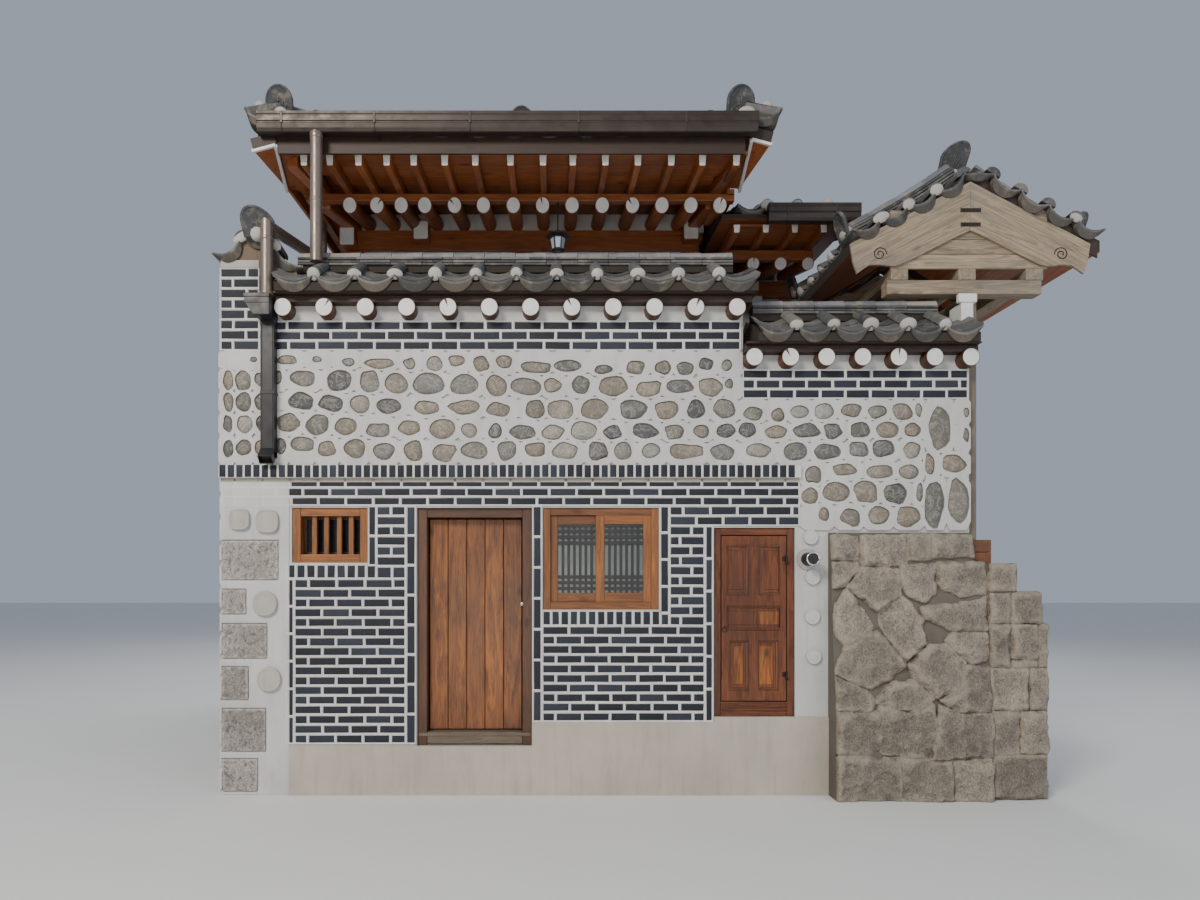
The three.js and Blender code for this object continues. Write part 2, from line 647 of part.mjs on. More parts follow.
// Square flying rafters of one eave, joined by the board on their ends; the outer two stop at the hips.
function flyingRow(placeY) {
  const rows = [];
  for (let i = 0; i < flying.count; i += 1) {
    const x = flying.firstX + i * flying.pitch;
    const tail = i === 0 ? 1100 : i === flying.count - 1 ? 600 : flying.tailY;
    const end = [x, placeY(flying.endY), flyingZ(flying.endY)];
    rows.push(beam(end, [x, placeY(tail), flyingZ(tail)], 2 * flying.half, 2 * flying.halfHeight));
  }
  const ys = [placeY(200), placeY(280)].sort((a, b) => a - b);
  const top = under(endRuns, endUnders, 200 - eave.front) - GAP;
  const lastX = flying.firstX + (flying.count - 1) * flying.pitch;
  return join(block(flying.firstX - 100, lastX + 98.5, ...ys, 5905, top), ...rows);
}

function buildFlyingRafters() {
  add("hall_flying_rafters_front", flyingRow((y) => y), "pine");
  add("hall_flying_rafters_back", flyingRow(mirrorY), "pine");
}

// Heights of the hall roof over its eave, for a distance in from the side or the end
const rise = (slope, run) => slope.a * run + slope.b * run * run;
function runFor(slope, height) {
  return (-slope.a + Math.sqrt(slope.a * slope.a + 4 * slope.b * height)) / (2 * slope.b);
}

// Grid of the hall roof: the lines across match the lines along at the hips.
const hallHalf = (eave.midRight - eave.midLeft) / 2;
const hallMid = (eave.midRight + eave.midLeft) / 2;
const endRuns = [0, 350, 750, 1200, 1650, gableSet - 1];
const sideRuns = [...endRuns.map((run) => runFor(sideSlope, rise(endSlope, run))), 1950, hallHalf];
const endUnders = [5940, 5964, 5992, 6028, 6082, 6190];

function under(slopeRuns, heights, run) {
  let i = 1;
  while (i < slopeRuns.length - 1 && run > slopeRuns[i]) i += 1;
  const share = (run - slopeRuns[i - 1]) / (slopeRuns[i] - slopeRuns[i - 1]);
  return heights[i - 1] + share * (heights[i] - heights[i - 1]);
}

function hallHeights(side, end, inGable, s, t) {
  const flare = Math.pow(Math.abs(s), 3) * Math.pow(Math.abs(t), 4) * eave.lift;
  const fromSide = rise(sideSlope, side);
  const top = inGable ? fromSide : Math.min(fromSide, rise(endSlope, end));
  const underEnd = under(endRuns, endUnders, end);
  const underSide = under([0, 300, 700, 1500], [6000, 6068, 6155, 6260], side);
  return { top: eave.top + top + flare, bottom: Math.min(underEnd, underSide) + flare };
}

// A closed shell on a grid: place(i, j) gives the plan point, and both heights, of a grid crossing.
function gridShell(nx, ny, place) {
  const shell = new THREE.BoxGeometry(nx, ny, 2, nx, ny, 1);
  const position = shell.attributes.position;
  for (let v = 0; v < position.count; v += 1) {
    const i = Math.round(position.getX(v) + nx / 2);
    const j = Math.round(position.getY(v) + ny / 2);
    const { x, y, top, bottom } = place(i, j);
    position.setXYZ(v, x, y, position.getZ(v) > 0 ? top : bottom);
  }
  return shell;
}

function hallGrid() {
  const across = [...sideRuns.map((run) => -1 + run / hallHalf)];
  const mirrored = across.slice(0, -1).reverse().map((s) => -s);
  const lineS = [...across, ...mirrored];
  const depth = eave.back - eave.front;
  const front = [...endRuns, gableSet + 1];
  const lineY = [...front, depth / 2, ...front.slice().reverse().map((run) => depth - run)];
  return { lineS, lineY, depth };
}

function hallPoint(s, run, depth) {
  const t = (2 * run) / depth - 1;
  const half = hallHalf + eave.flare * Math.pow(Math.abs(t), 6);
  const end = Math.min(run, depth - run);
  const side = (1 - Math.abs(s)) * hallHalf;
  const heights = hallHeights(side, Math.min(end, gableSet - 1), end > gableSet, s, t);
  return { x: hallMid + s * half, y: eave.front + run, ...heights };
}

function buildHallShell() {
  const { lineS, lineY, depth } = hallGrid();
  return gridShell(lineS.length - 1, lineY.length - 1, (i, j) => hallPoint(lineS[i], lineY[j], depth));
}

// Everything under the hall roof's top face, used to trim what runs into it
function hallRoofBlock() {
  const { lineS, lineY, depth } = hallGrid();
  return gridShell(lineS.length - 1, lineY.length - 1, (i, j) => {
    const point = hallPoint(lineS[i], lineY[j], depth);
    return { x: point.x + lineS[i] * GAP, y: point.y, top: point.top + GAP, bottom: 4000 };
  });
}

function chain(points, width, height) {
  const parts = [];
  for (let i = 1; i < points.length; i += 1) parts.push(beam(points[i - 1], points[i], width, height));
  return parts;
}

function hallRidges() {
  const depth = eave.back - eave.front;
  const top = eave.top + rise(sideSlope, hallHalf);
  const y0 = eave.front + gableSet - 60;
  const y1 = eave.back - gableSet + 60;
  const parts = [beam([hallMid, y0, top + 100], [hallMid, y1, top + 100], 2 * ridge.half, ridge.height)];
  for (const sign of [-1, 1]) {
    for (const fromFront of [true, false]) {
      const hipPoint = (run) => {
        const side = runFor(sideSlope, rise(endSlope, run));
        const point = hallPoint(sign * (1 - side / hallHalf), fromFront ? run : depth - run, depth);
        return [point.x, point.y, point.top + 50];
      };
      const hip = [60, 500, 1000, 1600, 2010].map(hipPoint);
      parts.push(...chain(hip, 2 * ridge.hipHalf, ridge.hipHeight));
      const gableY = fromFront ? eave.front + gableSet + 105 : eave.back - gableSet - 105;
      const slopePoint = (side) => [
        hallMid + sign * (hallHalf - side),
        gableY,
        eave.top + rise(sideSlope, side) + 40,
      ];
      const sideEnd = runFor(sideSlope, rise(endSlope, 2080));
      parts.push(...chain([sideEnd - 40, 1850, hallHalf].map(slopePoint), 170, 190));
      const [x, y, z] = hipPoint(90);
      const turn = fromFront ? sign * 0.6 : Math.PI - sign * 0.6;
      parts.push(placeEndTile(250, 260, x, y, z + 20, turn));
    }
  }
  parts.push(placeEndTile(260, 300, hallMid, y0 + 20, top + 100, 0));
  parts.push(placeEndTile(260, 300, hallMid, y1 - 20, top + 100, Math.PI));
  return parts;
}

function buildHallRoof() {
  add("hall_roof", join(buildHallShell(), ...hallRidges()), "tile");
}

function buildHallGables() {
  const foot = eave.top + rise(endSlope, gableSet) + 12;
  const outline = [];
  const start = runFor(sideSlope, foot + 30 - eave.top);
  for (const side of [start, 1850, hallHalf]) {
    outline.push([hallHalf - side, eave.top + rise(sideSlope, side) - 32]);
  }
  const right = outline.map(([x, z]) => [hallMid + x, z]);
  const left = outline.slice(0, -1).reverse().map(([x, z]) => [hallMid - x, z]);
  const panel = (y) => prismY([...right, ...left], y, y + 28);
  add("hall_gable_front", panel(eave.front + gableSet - 29 - GAP), "oldPine");
  add("hall_gable_back", panel(eave.back - gableSet + 1 + GAP), "oldPine");
}

function buildGutters() {
  const profile = [
    [-55, 6190],
    [-55, 6120],
    [-40, 6060],
    [-25, 6010],
    [44, 6010],
    [44, 6190],
    [38, 6190],
    [38, 6016],
    [-20, 6016],
    [-35, 6064],
    [-49, 6122],
    [-49, 6190],
  ];
  const shift = (points, dy, dz) => points.map(([y, z]) => [y + dy, z + dz]);
  add("hall_gutter", prismX(shift(profile, eave.front - 44 - GAP, 0), -3040, 1424), "gutterMetal");
  const small = shift(profile, wing.eaveY0 - 44 - GAP, wing.eaveTop - 6165);
  add("wing_gutter", prismX(small, 1760, wing.verge), "gutterMetal");
}

// The upper downpipe drops from the gutter on to the wall cap. The return pipe comes along the hall's left
// side, over the cap and down into the rainwater head, which empties through a rectangular pipe and a shoe.
function buildPipes() {
  const { radius, upper, back } = pipe;
  const capTop = HIGH_TOP + capHeightAt(upper.y + radius) + GAP;
  const outlet = [upper.x, upper.y, GUTTER_FOOT - GAP];
  add("downpipe_upper", rod(outlet, [upper.x, upper.y, capTop], radius, 12), "pipeMetal");
  const { x, y0, y1, fallZ, riseZ } = back;
  const runs = [
    rod([x, y1, eaveBoardTop - 20 - GAP], [x, y1, riseZ - radius], radius, 12),
    rod([x, y1 + radius, riseZ + 10], [x, y0 - radius, fallZ - 11], radius, 12),
    rod([x, y0, fallZ + radius - 5], [x, y0, back.foot], radius, 12),
  ];
  add("downpipe_return", join(...runs), "pipeMetal");
  const bowl = [
    [-3160, 4480],
    [-3160, 4400],
    [-3075, 4290],
    [-2930, 4290],
    [-2930, 4480],
  ];
  const well = block(-3140, -2934, -225, -30, 4420, 4500);
  const head = cut(prismY(bowl.slice().reverse(), -240, -GAP), well);
  const drain = block(-3060, -2935, -100, -GAP, 3050, 4300);
  const shoe = beam([-2997.5, -50, 3120], [-2997.5, -150, 3020], 125, 90);
  add("rainwater_head", join(head, drain, shoe), "darkMetal");
}

function buildLantern() {
  const { x, y, foot, hoodFoot, hoodTop, bodyRadius, hoodRadius } = lantern;
  const sixSided = (top, bottom, z0, z1) =>
    new THREE.CylinderGeometry(top, bottom, z1 - z0, 6).rotateX(Math.PI / 2).translate(x, y, (z0 + z1) / 2);
  const body = sixSided(bodyRadius, bodyRadius - 25, foot, hoodFoot + 5);
  const hood = sixSided(20, hoodRadius, hoodFoot, hoodTop);
  const stem = rod([x, y, hoodTop - 20], [x, y, eaveBoardTop - 60 - GAP], 9, 6);
  add("lantern", join(body, hood, stem), "darkMetal");
}

// Wing walls and roof
function buildWing() {
  const x0 = hall.x1 + GAP;
  const { x1, y0, y1, plateTop } = wing;
  const thick = 150;
  const foot = TERRACE_TOP + GAP;
  const { ridgeY } = wing;
  const deck = plateTop + 165;
  const inDeck = (run) => deck + (thick / run) * (6050 - deck) - GAP;
  const gableWall = [
    [y0, foot],
    [y1, foot],
    [y1, plateTop],
    [y1 - thick, plateTop],
    [y1 - thick, inDeck(y1 - ridgeY)],
    [ridgeY, 6050 - GAP],
    [y0 + thick, inDeck(ridgeY - y0)],
    [y0 + thick, plateTop],
    [y0, plateTop],
  ];
  const shell = join(
    block(x0, x1, y0, y0 + thick, foot, plateTop),
    block(x0, x1, y1 - thick, y1, foot, plateTop),
    prismX(gableWall, x1 - thick, x1),
  );
  add("wing_walls", shell, "plaster");
  const { eaveY0, eaveY1, eaveBottom, eaveTop, ridgeTop, verge } = wing;
  const slopeZ = (y) => {
    const run = y < ridgeY ? (y - eaveY0) / (ridgeY - eaveY0) : (eaveY1 - y) / (eaveY1 - ridgeY);
    return eaveTop + (ridgeTop - eaveTop) * (0.75 * run + 0.25 * run * run);
  };
  const topLine = [eaveY0, 1800, 2700, ridgeY - 90].map((y) => [y, slopeZ(y)]);
  const backLine = [ridgeY + 90, 4500, 5400, eaveY1].map((y) => [y, slopeZ(y)]);
  const section = [
    ...topLine,
    [ridgeY - 90, ridgeTop + 190],
    [ridgeY + 90, ridgeTop + 190],
    ...backLine,
    [eaveY1, eaveBottom + 10],
    [y1, deck],
    [ridgeY, 6050],
    [y0, deck],
    [eaveY0, eaveBottom + 10],
  ].reverse();
  const roof = prismX(section, -300, verge);
  add("wing_roof", cut(roof, hallRoofBlock()), "tile");
}

// Round rafters and flying rafters of the wing's street eave, with the boards that carry them
function buildWingRafters() {
  const rows = [];
  for (let i = 0; i < 4; i += 1) {
    const x = 1480 + i * 302;
    rows.push(rod([x, 1580, 5450], [x, wing.y0 + 120, 5450 + (wing.y0 + 120 - 1580) * 0.24], 68));
    rows.push(beam([x, 1060, 5610], [x, 2000, 5655], 74, 86));
  }
  rows.push(block(1440, 2450, 1600, 1680, 5500, 5610));
  rows.push(block(1440, 2450, 1075, 1150, 5640, 5668));
  add("wing_rafters", join(...rows), "pine");
}

// Gate
function gateSlope(offset) {
  const share = 1 - Math.abs(offset) / gate.reach;
  return gate.eave + (gate.apex - gate.eave) * (0.8 * share + 0.2 * share * share);
}

function buildGateRoof() {
  const offsets = [-gate.reach, -700, -300, 0, 300, 700, gate.reach];
  const top = offsets.map((offset) => [gate.x + offset, gateSlope(offset)]);
  const bottom = offsets.map((offset) => [gate.x + offset, gateSlope(offset) - gate.thick]).reverse();
  const shell = prismY([...bottom, ...top], gate.y0, gate.y1);
  const ridgeZ = gate.apex + 70;
  const y0 = gate.y0 + gate.ridgeInset;
  const y1 = gate.y1 - gate.ridgeInset;
  const parts = [shell, beam([gate.x, y0, ridgeZ], [gate.x, y1, ridgeZ], 190, 260)];
  for (const y of [gate.y0 + 380, gate.y1 - 380]) {
    for (const sign of [-1, 1]) {
      const points = [0, 600, gate.reach - 60].map((offset) => [
        gate.x + sign * offset,
        y,
        gateSlope(offset) + 60,
      ]);
      parts.push(...chain(points, 170, 220));
      const [x, , z] = points[2];
      parts.push(placeEndTile(230, 250, x, y, z + 20, (sign * Math.PI) / 2));
    }
  }
  parts.push(placeEndTile(260, 330, gate.x, y0 + 20, ridgeZ, 0));
  parts.push(placeEndTile(260, 330, gate.x, y1 - 20, ridgeZ, Math.PI));
  add("gate_roof", join(...parts), "tile");
}

function buildGateFrame() {
  const { x0, x1, y0, y1, foot, top } = gatePost;
  const length = gate.y1 - gate.y0;
  const rearY0 = length - y1;
  const rearY1 = length - y0;
  const beamY = [y0 + 10, rearY0 + 30];
  const parts = [
    block(x0, x1, y0, y1, foot, top + 10),
    block(x0, x1, rearY0, rearY1, foot, top + 10),
    block(x0, x1 + 30, y0, rearY1, 2100 + GAP, foot),
    block(x0, x1, y0, rearY1, top - 160, top),
  ];
  for (const y of beamY) parts.push(block(2690, 4120, y, y + 140, top, top + 130));
  for (const x of [2700, 3370, 4000]) {
    parts.push(block(x, x + 130, y0 + 10, rearY1 - 10, top + 130, top + 235));
  }
  add("gate_frame", join(...parts), "oldPine");
}

function buildGateLeaves() {
  const { x0, y1, foot, top } = gatePost;
  const rearY0 = gate.y1 - gate.y0 - y1;
  add("gate_leaves", block(x0 + 30, x0 + 75, y1 + GAP, rearY0 - GAP, foot + GAP, top - 160 - GAP), "oldPine");
}

function buildGateGables() {
  const face = (offset, drop) => [gate.x + offset, gateSlope(offset) - gate.thick - drop];
  const panel = [
    [gate.x - 700, gatePost.top + 235 + GAP],
    [gate.x + 700, gatePost.top + 235 + GAP],
    face(700, GAP),
    face(300, GAP),
    face(0, GAP),
    face(-300, GAP),
    face(-700, GAP),
  ];
  const boards = [
    face(-gate.reach + 10, GAP),
    face(-gate.reach + 40, 230),
    face(-700, 260),
    face(-300, 290),
    face(0, 330),
    face(300, 290),
    face(700, 260),
    face(gate.reach - 40, 230),
    face(gate.reach - 10, GAP),
    face(700, GAP),
    face(300, GAP),
    face(0, GAP),
    face(-300, GAP),
    face(-700, GAP),
  ];
  const gable = (y, out) => join(prismY(panel, y, y + 30), prismY(boards, y + out, y + out + 32));
  add("gate_gable_front", gable(gatePost.y0 + 20, -31), "oldPine");
  add("gate_gable_back", gable(gate.y1 - gatePost.y0 - 50, 29), "oldPine");
}

buildPlinth();
buildStreetWalls();
buildUpperWalls();
buildRubble();
buildOtherWalls();
buildFloors();
buildWindows();
buildDoors();
buildVent();
buildCapRoofs();
buildCapRafters();
buildHallFrame();
buildHallWalls();
buildHallRafters();
buildFlyingRafters();
buildHallRoof();
buildHallGables();
buildGutters();
buildPipes();
buildLantern();
buildWing();
buildWingRafters();
buildGateRoof();
buildGateFrame();
buildGateLeaves();
buildGateGables();

export default house;
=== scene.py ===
"""The looks of a hanok house, dressed over its packed construction.

Metres. X runs right along the street front, Y runs into the house and Z is up, as in the construction.
"""
import json
import math
import random

import bmesh
import bpy
import numpy as np
from mathutils import Matrix, Vector


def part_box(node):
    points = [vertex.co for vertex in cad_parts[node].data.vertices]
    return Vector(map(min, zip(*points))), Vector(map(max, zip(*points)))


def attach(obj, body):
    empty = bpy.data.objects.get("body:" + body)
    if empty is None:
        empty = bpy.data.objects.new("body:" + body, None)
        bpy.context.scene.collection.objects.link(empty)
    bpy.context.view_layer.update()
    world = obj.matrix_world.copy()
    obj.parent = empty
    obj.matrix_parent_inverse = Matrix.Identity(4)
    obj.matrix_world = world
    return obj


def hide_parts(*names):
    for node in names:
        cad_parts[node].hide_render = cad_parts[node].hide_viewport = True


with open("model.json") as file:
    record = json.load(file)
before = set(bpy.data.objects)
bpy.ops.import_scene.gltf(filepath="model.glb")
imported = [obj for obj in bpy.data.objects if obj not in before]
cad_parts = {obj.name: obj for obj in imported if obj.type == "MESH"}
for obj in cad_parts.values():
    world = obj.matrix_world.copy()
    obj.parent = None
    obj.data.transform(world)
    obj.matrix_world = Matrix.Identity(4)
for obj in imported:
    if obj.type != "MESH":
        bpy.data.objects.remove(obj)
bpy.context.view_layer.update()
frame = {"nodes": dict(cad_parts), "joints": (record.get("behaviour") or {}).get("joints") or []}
bpy.ops.object.select_all(action="DESELECT")

rng = random.Random(11)
QUARTER = math.pi / 2
IDENTITY = Matrix.Identity(4)


def box_of(node):
    """The x, y and z spans of a construction piece."""
    return list(zip(*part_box(node)))


# Street front: levels and edges read off the construction
FACE = box_of("front_wall_left")[1][0]
WALL_X0, STEP_X = box_of("street_wall_high")[0]
CORNER_X = box_of("street_wall_low")[0][1]
LEDGE_X1 = box_of("brick_ledge")[0][1]
LEDGE_Z = box_of("brick_ledge")[2]
RUBBLE_TOP = box_of("rubble_base")[2][1]
RIGHT_X = box_of("side_wall_right")[0][1]
GATE_BACK = box_of("cap_roof_right")[1][0]

# Finishes


class Finish:
    """A material whose nodes are added and linked by short calls."""

    def __init__(self, name, roughness=0.7, metallic=0.0):
        self.material = bpy.data.materials.new(name)
        self.material.use_nodes = True
        self.tree = self.material.node_tree
        self.shader = self.tree.nodes["Principled BSDF"]
        self.fill(self.shader, {"Roughness": roughness, "Metallic": metallic})
        self.coordinates = self.node("TexCoord").outputs["Object"]

    def fill(self, node, inputs):
        """Links sockets to a node's inputs, or gives the inputs values."""
        for key, value in inputs.items():
            if hasattr(value, "links"):
                self.tree.links.new(value, node.inputs[key])
            else:
                node.inputs[key].default_value = value
        return node

    def node(self, kind, inputs=None, **settings):
        node = self.tree.nodes.new("ShaderNode" + kind)
        for key, value in settings.items():
            setattr(node, key, value)
        return self.fill(node, inputs or {})

    def own(self, name, output="Fac"):
        """An attribute that the piece carries: its grain, its tone, or how far it stands out, which the granite
        finishes paint as light and shade.
        """
        return self.node("Attribute", attribute_name=name).outputs[output]

    def stretch(self, vector, scale):
        return self.node("Mapping", {"Vector": vector, "Scale": scale}).outputs["Vector"]

    def noise(self, scale, detail=4.0, vector=None, distortion=0.0, roughness=0.55):
        return self.node("TexNoise", {
            "Vector": self.coordinates if vector is None else vector, "Scale": scale, "Detail": detail,
            "Distortion": distortion, "Roughness": roughness}).outputs["Fac"]

    def ramp(self, factor, *stops):
        node = self.node("ValToRGB", {"Fac": factor})
        bands = node.color_ramp.elements
        while len(bands) < len(stops):
            bands.new(0.5)
        for band, (place, tone) in zip(bands, stops):
            band.position = place
            band.color = (*tone, 1.0) if hasattr(tone, "__len__") else (tone, tone, tone, 1.0)
        return node.outputs["Color"]

    def mask(self, low, high, *noise, **settings):
        """A noise as a mask: 0 up to the low mark and 1 from the high one."""
        return self.ramp(self.noise(*noise, **settings), (low, 0.0), (high, 1.0))

    def mix(self, factor, one, other, blend="MIX"):
        one, other = (tone if hasattr(tone, "links") else (*tone, 1.0) for tone in (one, other))
        node = self.node("Mix", {"Factor": factor, 6: one, 7: other}, data_type="RGBA", blend_type=blend)
        return node.outputs[2]

    def lay(self, base, mask, share, colour):
        """A colour laid over a base where a mask lets it, at a share of its strength."""
        return self.mix(self.node("Math", {0: mask, 1: share}, operation="MULTIPLY").outputs[0], base, colour)

    def done(self, colour, *bumps):
        """Gives the shader its colour and its bumps: [height, strength, distance], each over the one before."""
        self.fill(self.shader, {"Base Color": colour})
        under = {}
        for height, strength, distance in bumps:
            node = self.node("Bump", {"Height": height, "Strength": strength, "Distance": distance, **under})
            under = {"Normal": node.outputs["Normal"]}
        self.fill(self.shader, under)
        return self.material


def scaled(colour, share):
    return [min(1.0, tone * share) for tone in colour]


def brick_finish():
    f = Finish("charcoal_brick", 0.74)
    base = f.ramp(f.own("tone"), (0, (0.005, 0.007, 0.013)), (0.6, (0.008, 0.011, 0.02)),
                  (1, (0.019, 0.024, 0.038)))
    scuffed = f.lay(base, f.mask(0.52, 0.78, 28, 6, roughness=0.7), 0.16, (0.09, 0.095, 0.105))
    return f.done(scuffed, (f.noise(14, 5), 0.35, 0.006), (f.noise(120, 3), 0.25, 0.002))


def lime_finish(name, colour, stain, grit=60, depth=0.004):
    """Troweled lime: soft clouds, rain stains and a fine sandy grit."""
    f = Finish(name, 0.88)
    dirty = f.lay(colour, f.mask(0.3, 0.75, 1.6, 6, roughness=0.6), 0.55, stain)
    streaks = f.mask(0.5, 0.8, 5, 4, f.stretch(f.coordinates, (3.0, 3.0, 0.35)))
    return f.done(f.lay(dirty, streaks, 0.3, scaled(stain, 0.72)), (f.noise(9, 4), 0.5, depth * 2),
                  (f.noise(grit, 5, roughness=0.7), 0.35, depth))


def fieldstone_finish():
    """Water-worn cobbles: grey, green-grey, tan and charcoal, each with its own speckle and veins."""
    f = Finish("fieldstone", 0.66)
    finish = f.ramp(f.own("tone"), (0, (0.04, 0.043, 0.048)), (0.16, (0.11, 0.11, 0.108)),
                    (0.34, (0.115, 0.12, 0.105)), (0.5, (0.24, 0.19, 0.135)), (0.66, (0.17, 0.165, 0.155)),
                    (0.84, (0.26, 0.215, 0.155)), (1, (0.34, 0.325, 0.295)))
    finish = f.lay(finish, f.mask(0.45, 0.6, 75, 6, roughness=0.75), 0.55, (0.075, 0.075, 0.075))
    finish = f.lay(finish, f.mask(0.42, 0.7, 8, 5), 0.45, (0.09, 0.078, 0.06))
    veins = f.ramp(f.noise(11, 5, distortion=1.4), (0.48, 0.0), (0.52, 1.0), (0.56, 0.0))
    return f.done(f.lay(finish, veins, 0.35, (0.52, 0.49, 0.43)), (f.noise(16, 5), 0.7, 0.012),
                  (f.noise(95, 4, roughness=0.7), 0.45, 0.003))


def granite_finish(name, colour, dark, depth, pit_size=55, relief_lit=True, pit_shade=0.5):
    """Split granite: weathered patches, black specks, painted shade in its pits and hollows and a painted
    highlight on its edges. Each stone has its own tone.
    """
    f = Finish(name, 0.82)
    tones = f.ramp(f.own("tone"), (0, 0.72), (0.5, 0.95), (1, 1.2))
    body = f.mix(f.mask(0.36, 0.64, 3.4, 6, roughness=0.7), colour, scaled(colour, 0.55))
    finish = f.mix(1.0, body, tones, "MULTIPLY")
    finish = f.lay(finish, f.mask(0.45, 0.55, 130, 3, roughness=0.8), 0.6, dark)
    finish = f.lay(finish, f.mask(0.6, 0.68, 95, 2, roughness=0.8), 0.5, scaled(colour, 1.8))
    # Painted shade: the chisel noise bumps the surface into pits, and the same pits are painted darker
    chisel = f.noise(pit_size, 5, f.stretch(f.coordinates, (1.0, 1.0, 0.7)), 0.4, 0.62)
    finish = f.lay(finish, f.ramp(chisel, (0.36, 1.0), (0.5, 0.0)), pit_shade, dark)
    # Painted highlight where the stone stands out and painted shade in its hollows, from each point's relief
    if relief_lit:
        wear_and_relief_light = f.own("wear_and_relief_light")
        finish = f.lay(finish, f.ramp(wear_and_relief_light, (0.55, 0.0), (0.85, 1.0)), 0.35, scaled(colour, 1.35))
        finish = f.lay(finish, f.ramp(wear_and_relief_light, (0.08, 1.0), (0.36, 0.0)), 0.8, dark)
    return f.done(finish, (f.noise(12, 6, roughness=0.65), 0.7, depth), (chisel, 1.0, depth * 0.8))


def tile_finish(name, dark, middle, pale, lichen_colour):
    """Old clay tile with pale lichen and rain streaks. Each tile has its own tone."""
    f = Finish(name, 0.8)
    finish = f.ramp(f.own("tone"), (0, dark), (0.5, middle), (1, pale))
    finish = f.lay(finish, f.mask(0.5, 0.66, 9, 8, roughness=0.72), 0.5, lichen_colour)
    return f.done(f.lay(finish, f.mask(0.46, 0.72, 5, 5), 0.55, (0.05, 0.052, 0.056)),
                  (f.noise(22, 4), 0.35, 0.006), (f.noise(150, 3), 0.3, 0.002))


def timber_finish(name, pale, dark, knot, roughness=0.5, wear_and_relief_light=None, blotches=0.55, flecks=0.0):
    """Sawn timber. The grain runs along the piece's own long axis, which its grain attribute gives as Z."""
    f = Finish(name, roughness)
    grain = f.own("grain", "Vector")
    rings = f.noise(15, 5, f.stretch(grain, (1.0, 1.0, 0.07)), 1.1, 0.6)
    fibre = f.noise(190, 3, f.stretch(grain, (1.0, 1.0, 0.03)), 0.0, 0.6)
    finish = f.mix(f.ramp(rings, (0.32, 0.0), (0.47, 1.0), (0.53, 0.25), (0.68, 1.0)), dark, pale)
    finish = f.lay(finish, fibre, 0.5, scaled(dark, 0.55))
    knots = f.node("TexVoronoi", {"Vector": f.stretch(grain, (1.6, 1.6, 0.8)), "Scale": 3.2}).outputs["Distance"]
    finish = f.lay(finish, f.ramp(knots, (0.05, 1.0), (0.17, 0.0)), 0.75, knot)
    blotch = f.mask(0.42, 0.72, 2.3, 5, f.stretch(grain, (1.0, 1.0, 0.35)))
    finish = f.lay(finish, blotch, blotches, wear_and_relief_light or scaled(dark, 0.5))
    if flecks:
        spots = f.mask(0.5, 0.62, 17, 6, f.stretch(grain, (1.0, 1.0, 0.2)), roughness=0.7)
        finish = f.lay(finish, spots, flecks, scaled(dark, 0.4))
    tones = f.ramp(f.own("tone"), (0, 0.72), (1, 1.12))
    return f.done(f.mix(1.0, finish, tones, "MULTIPLY"), (rings, 0.18, 0.003), (fibre, 0.25, 0.0012))


def paint_finish(name, colour, stain, roughness=0.55):
    """Brushed paint with a few cracks and dust."""
    f = Finish(name, roughness)
    return f.done(f.lay(colour, f.mask(0.4, 0.75, 7, 5), 0.5, stain), (f.noise(60, 4), 0.2, 0.0015))


def metal_finish(name, colour, dull, roughness=0.4, metallic=0.5):
    """Sheet or cast metal with a dusty, uneven sheen."""
    f = Finish(name, roughness, metallic)
    f.fill(f.shader, {"Roughness": f.ramp(f.noise(10, 4), (0.3, roughness - 0.1), (0.8, roughness + 0.2))})
    dusty = f.lay(colour, f.mask(0.4, 0.8, 4, 6, roughness=0.65), 0.6, dull)
    return f.done(dusty, (f.noise(6, 3), 0.12, 0.004))


BRICK = brick_finish()
MORTAR = lime_finish("white_mortar", (0.62, 0.62, 0.605), (0.4, 0.39, 0.37), 90, 0.003)
PLASTER = lime_finish("lime_plaster", (0.55, 0.55, 0.54), (0.34, 0.33, 0.31))
CONCRETE = lime_finish("old_concrete", (0.46, 0.415, 0.35), (0.27, 0.24, 0.205), 45, 0.005)
FIELDSTONE = fieldstone_finish()
# Painted shade with some dirt: dark plaster on the wall of the groove round each fieldstone
GROOVE_SHADE = lime_finish("stone_groove_shade", (0.17, 0.16, 0.145), (0.085, 0.08, 0.07), 60, 0.002)
# Rubble mortar, partly its own colour and partly painted shade: made dark so that the deep joints between the
# boulders read as shade
RUBBLE_MORTAR = lime_finish("rubble_mortar", (0.13, 0.115, 0.095), (0.06, 0.05, 0.042), 40, 0.006)
GRANITE = granite_finish("split_granite", (0.37, 0.315, 0.25), (0.045, 0.039, 0.033), 0.02)
PALE_GRANITE = granite_finish("dressed_granite", (0.5, 0.455, 0.42), (0.1, 0.09, 0.085), 0.014, 42, True, 0.85)
STEP_GRANITE = granite_finish("step_granite", (0.34, 0.3, 0.25), (0.07, 0.062, 0.053), 0.014, 45, False)
TILE = tile_finish("weathered_tile", (0.04, 0.042, 0.047), (0.085, 0.086, 0.088), (0.16, 0.152, 0.14),
                   (0.3, 0.27, 0.215))
# Painted shade: a darker copy of the tile's colours for the deep ends under the eave tiles' rims, over the ends'
# own brown-grey
TILE_END_SHADE = tile_finish("tile_end_shade", (0.032, 0.028, 0.024), (0.058, 0.05, 0.041), (0.095, 0.08, 0.06),
                       (0.17, 0.14, 0.1))
RIDGE_TILE = tile_finish("ridge_tile", (0.11, 0.115, 0.125), (0.19, 0.195, 0.205), (0.29, 0.26, 0.215),
                         (0.42, 0.33, 0.215))
LIME = lime_finish("lime_plug", (0.45, 0.435, 0.4), (0.24, 0.22, 0.19), 70, 0.008)
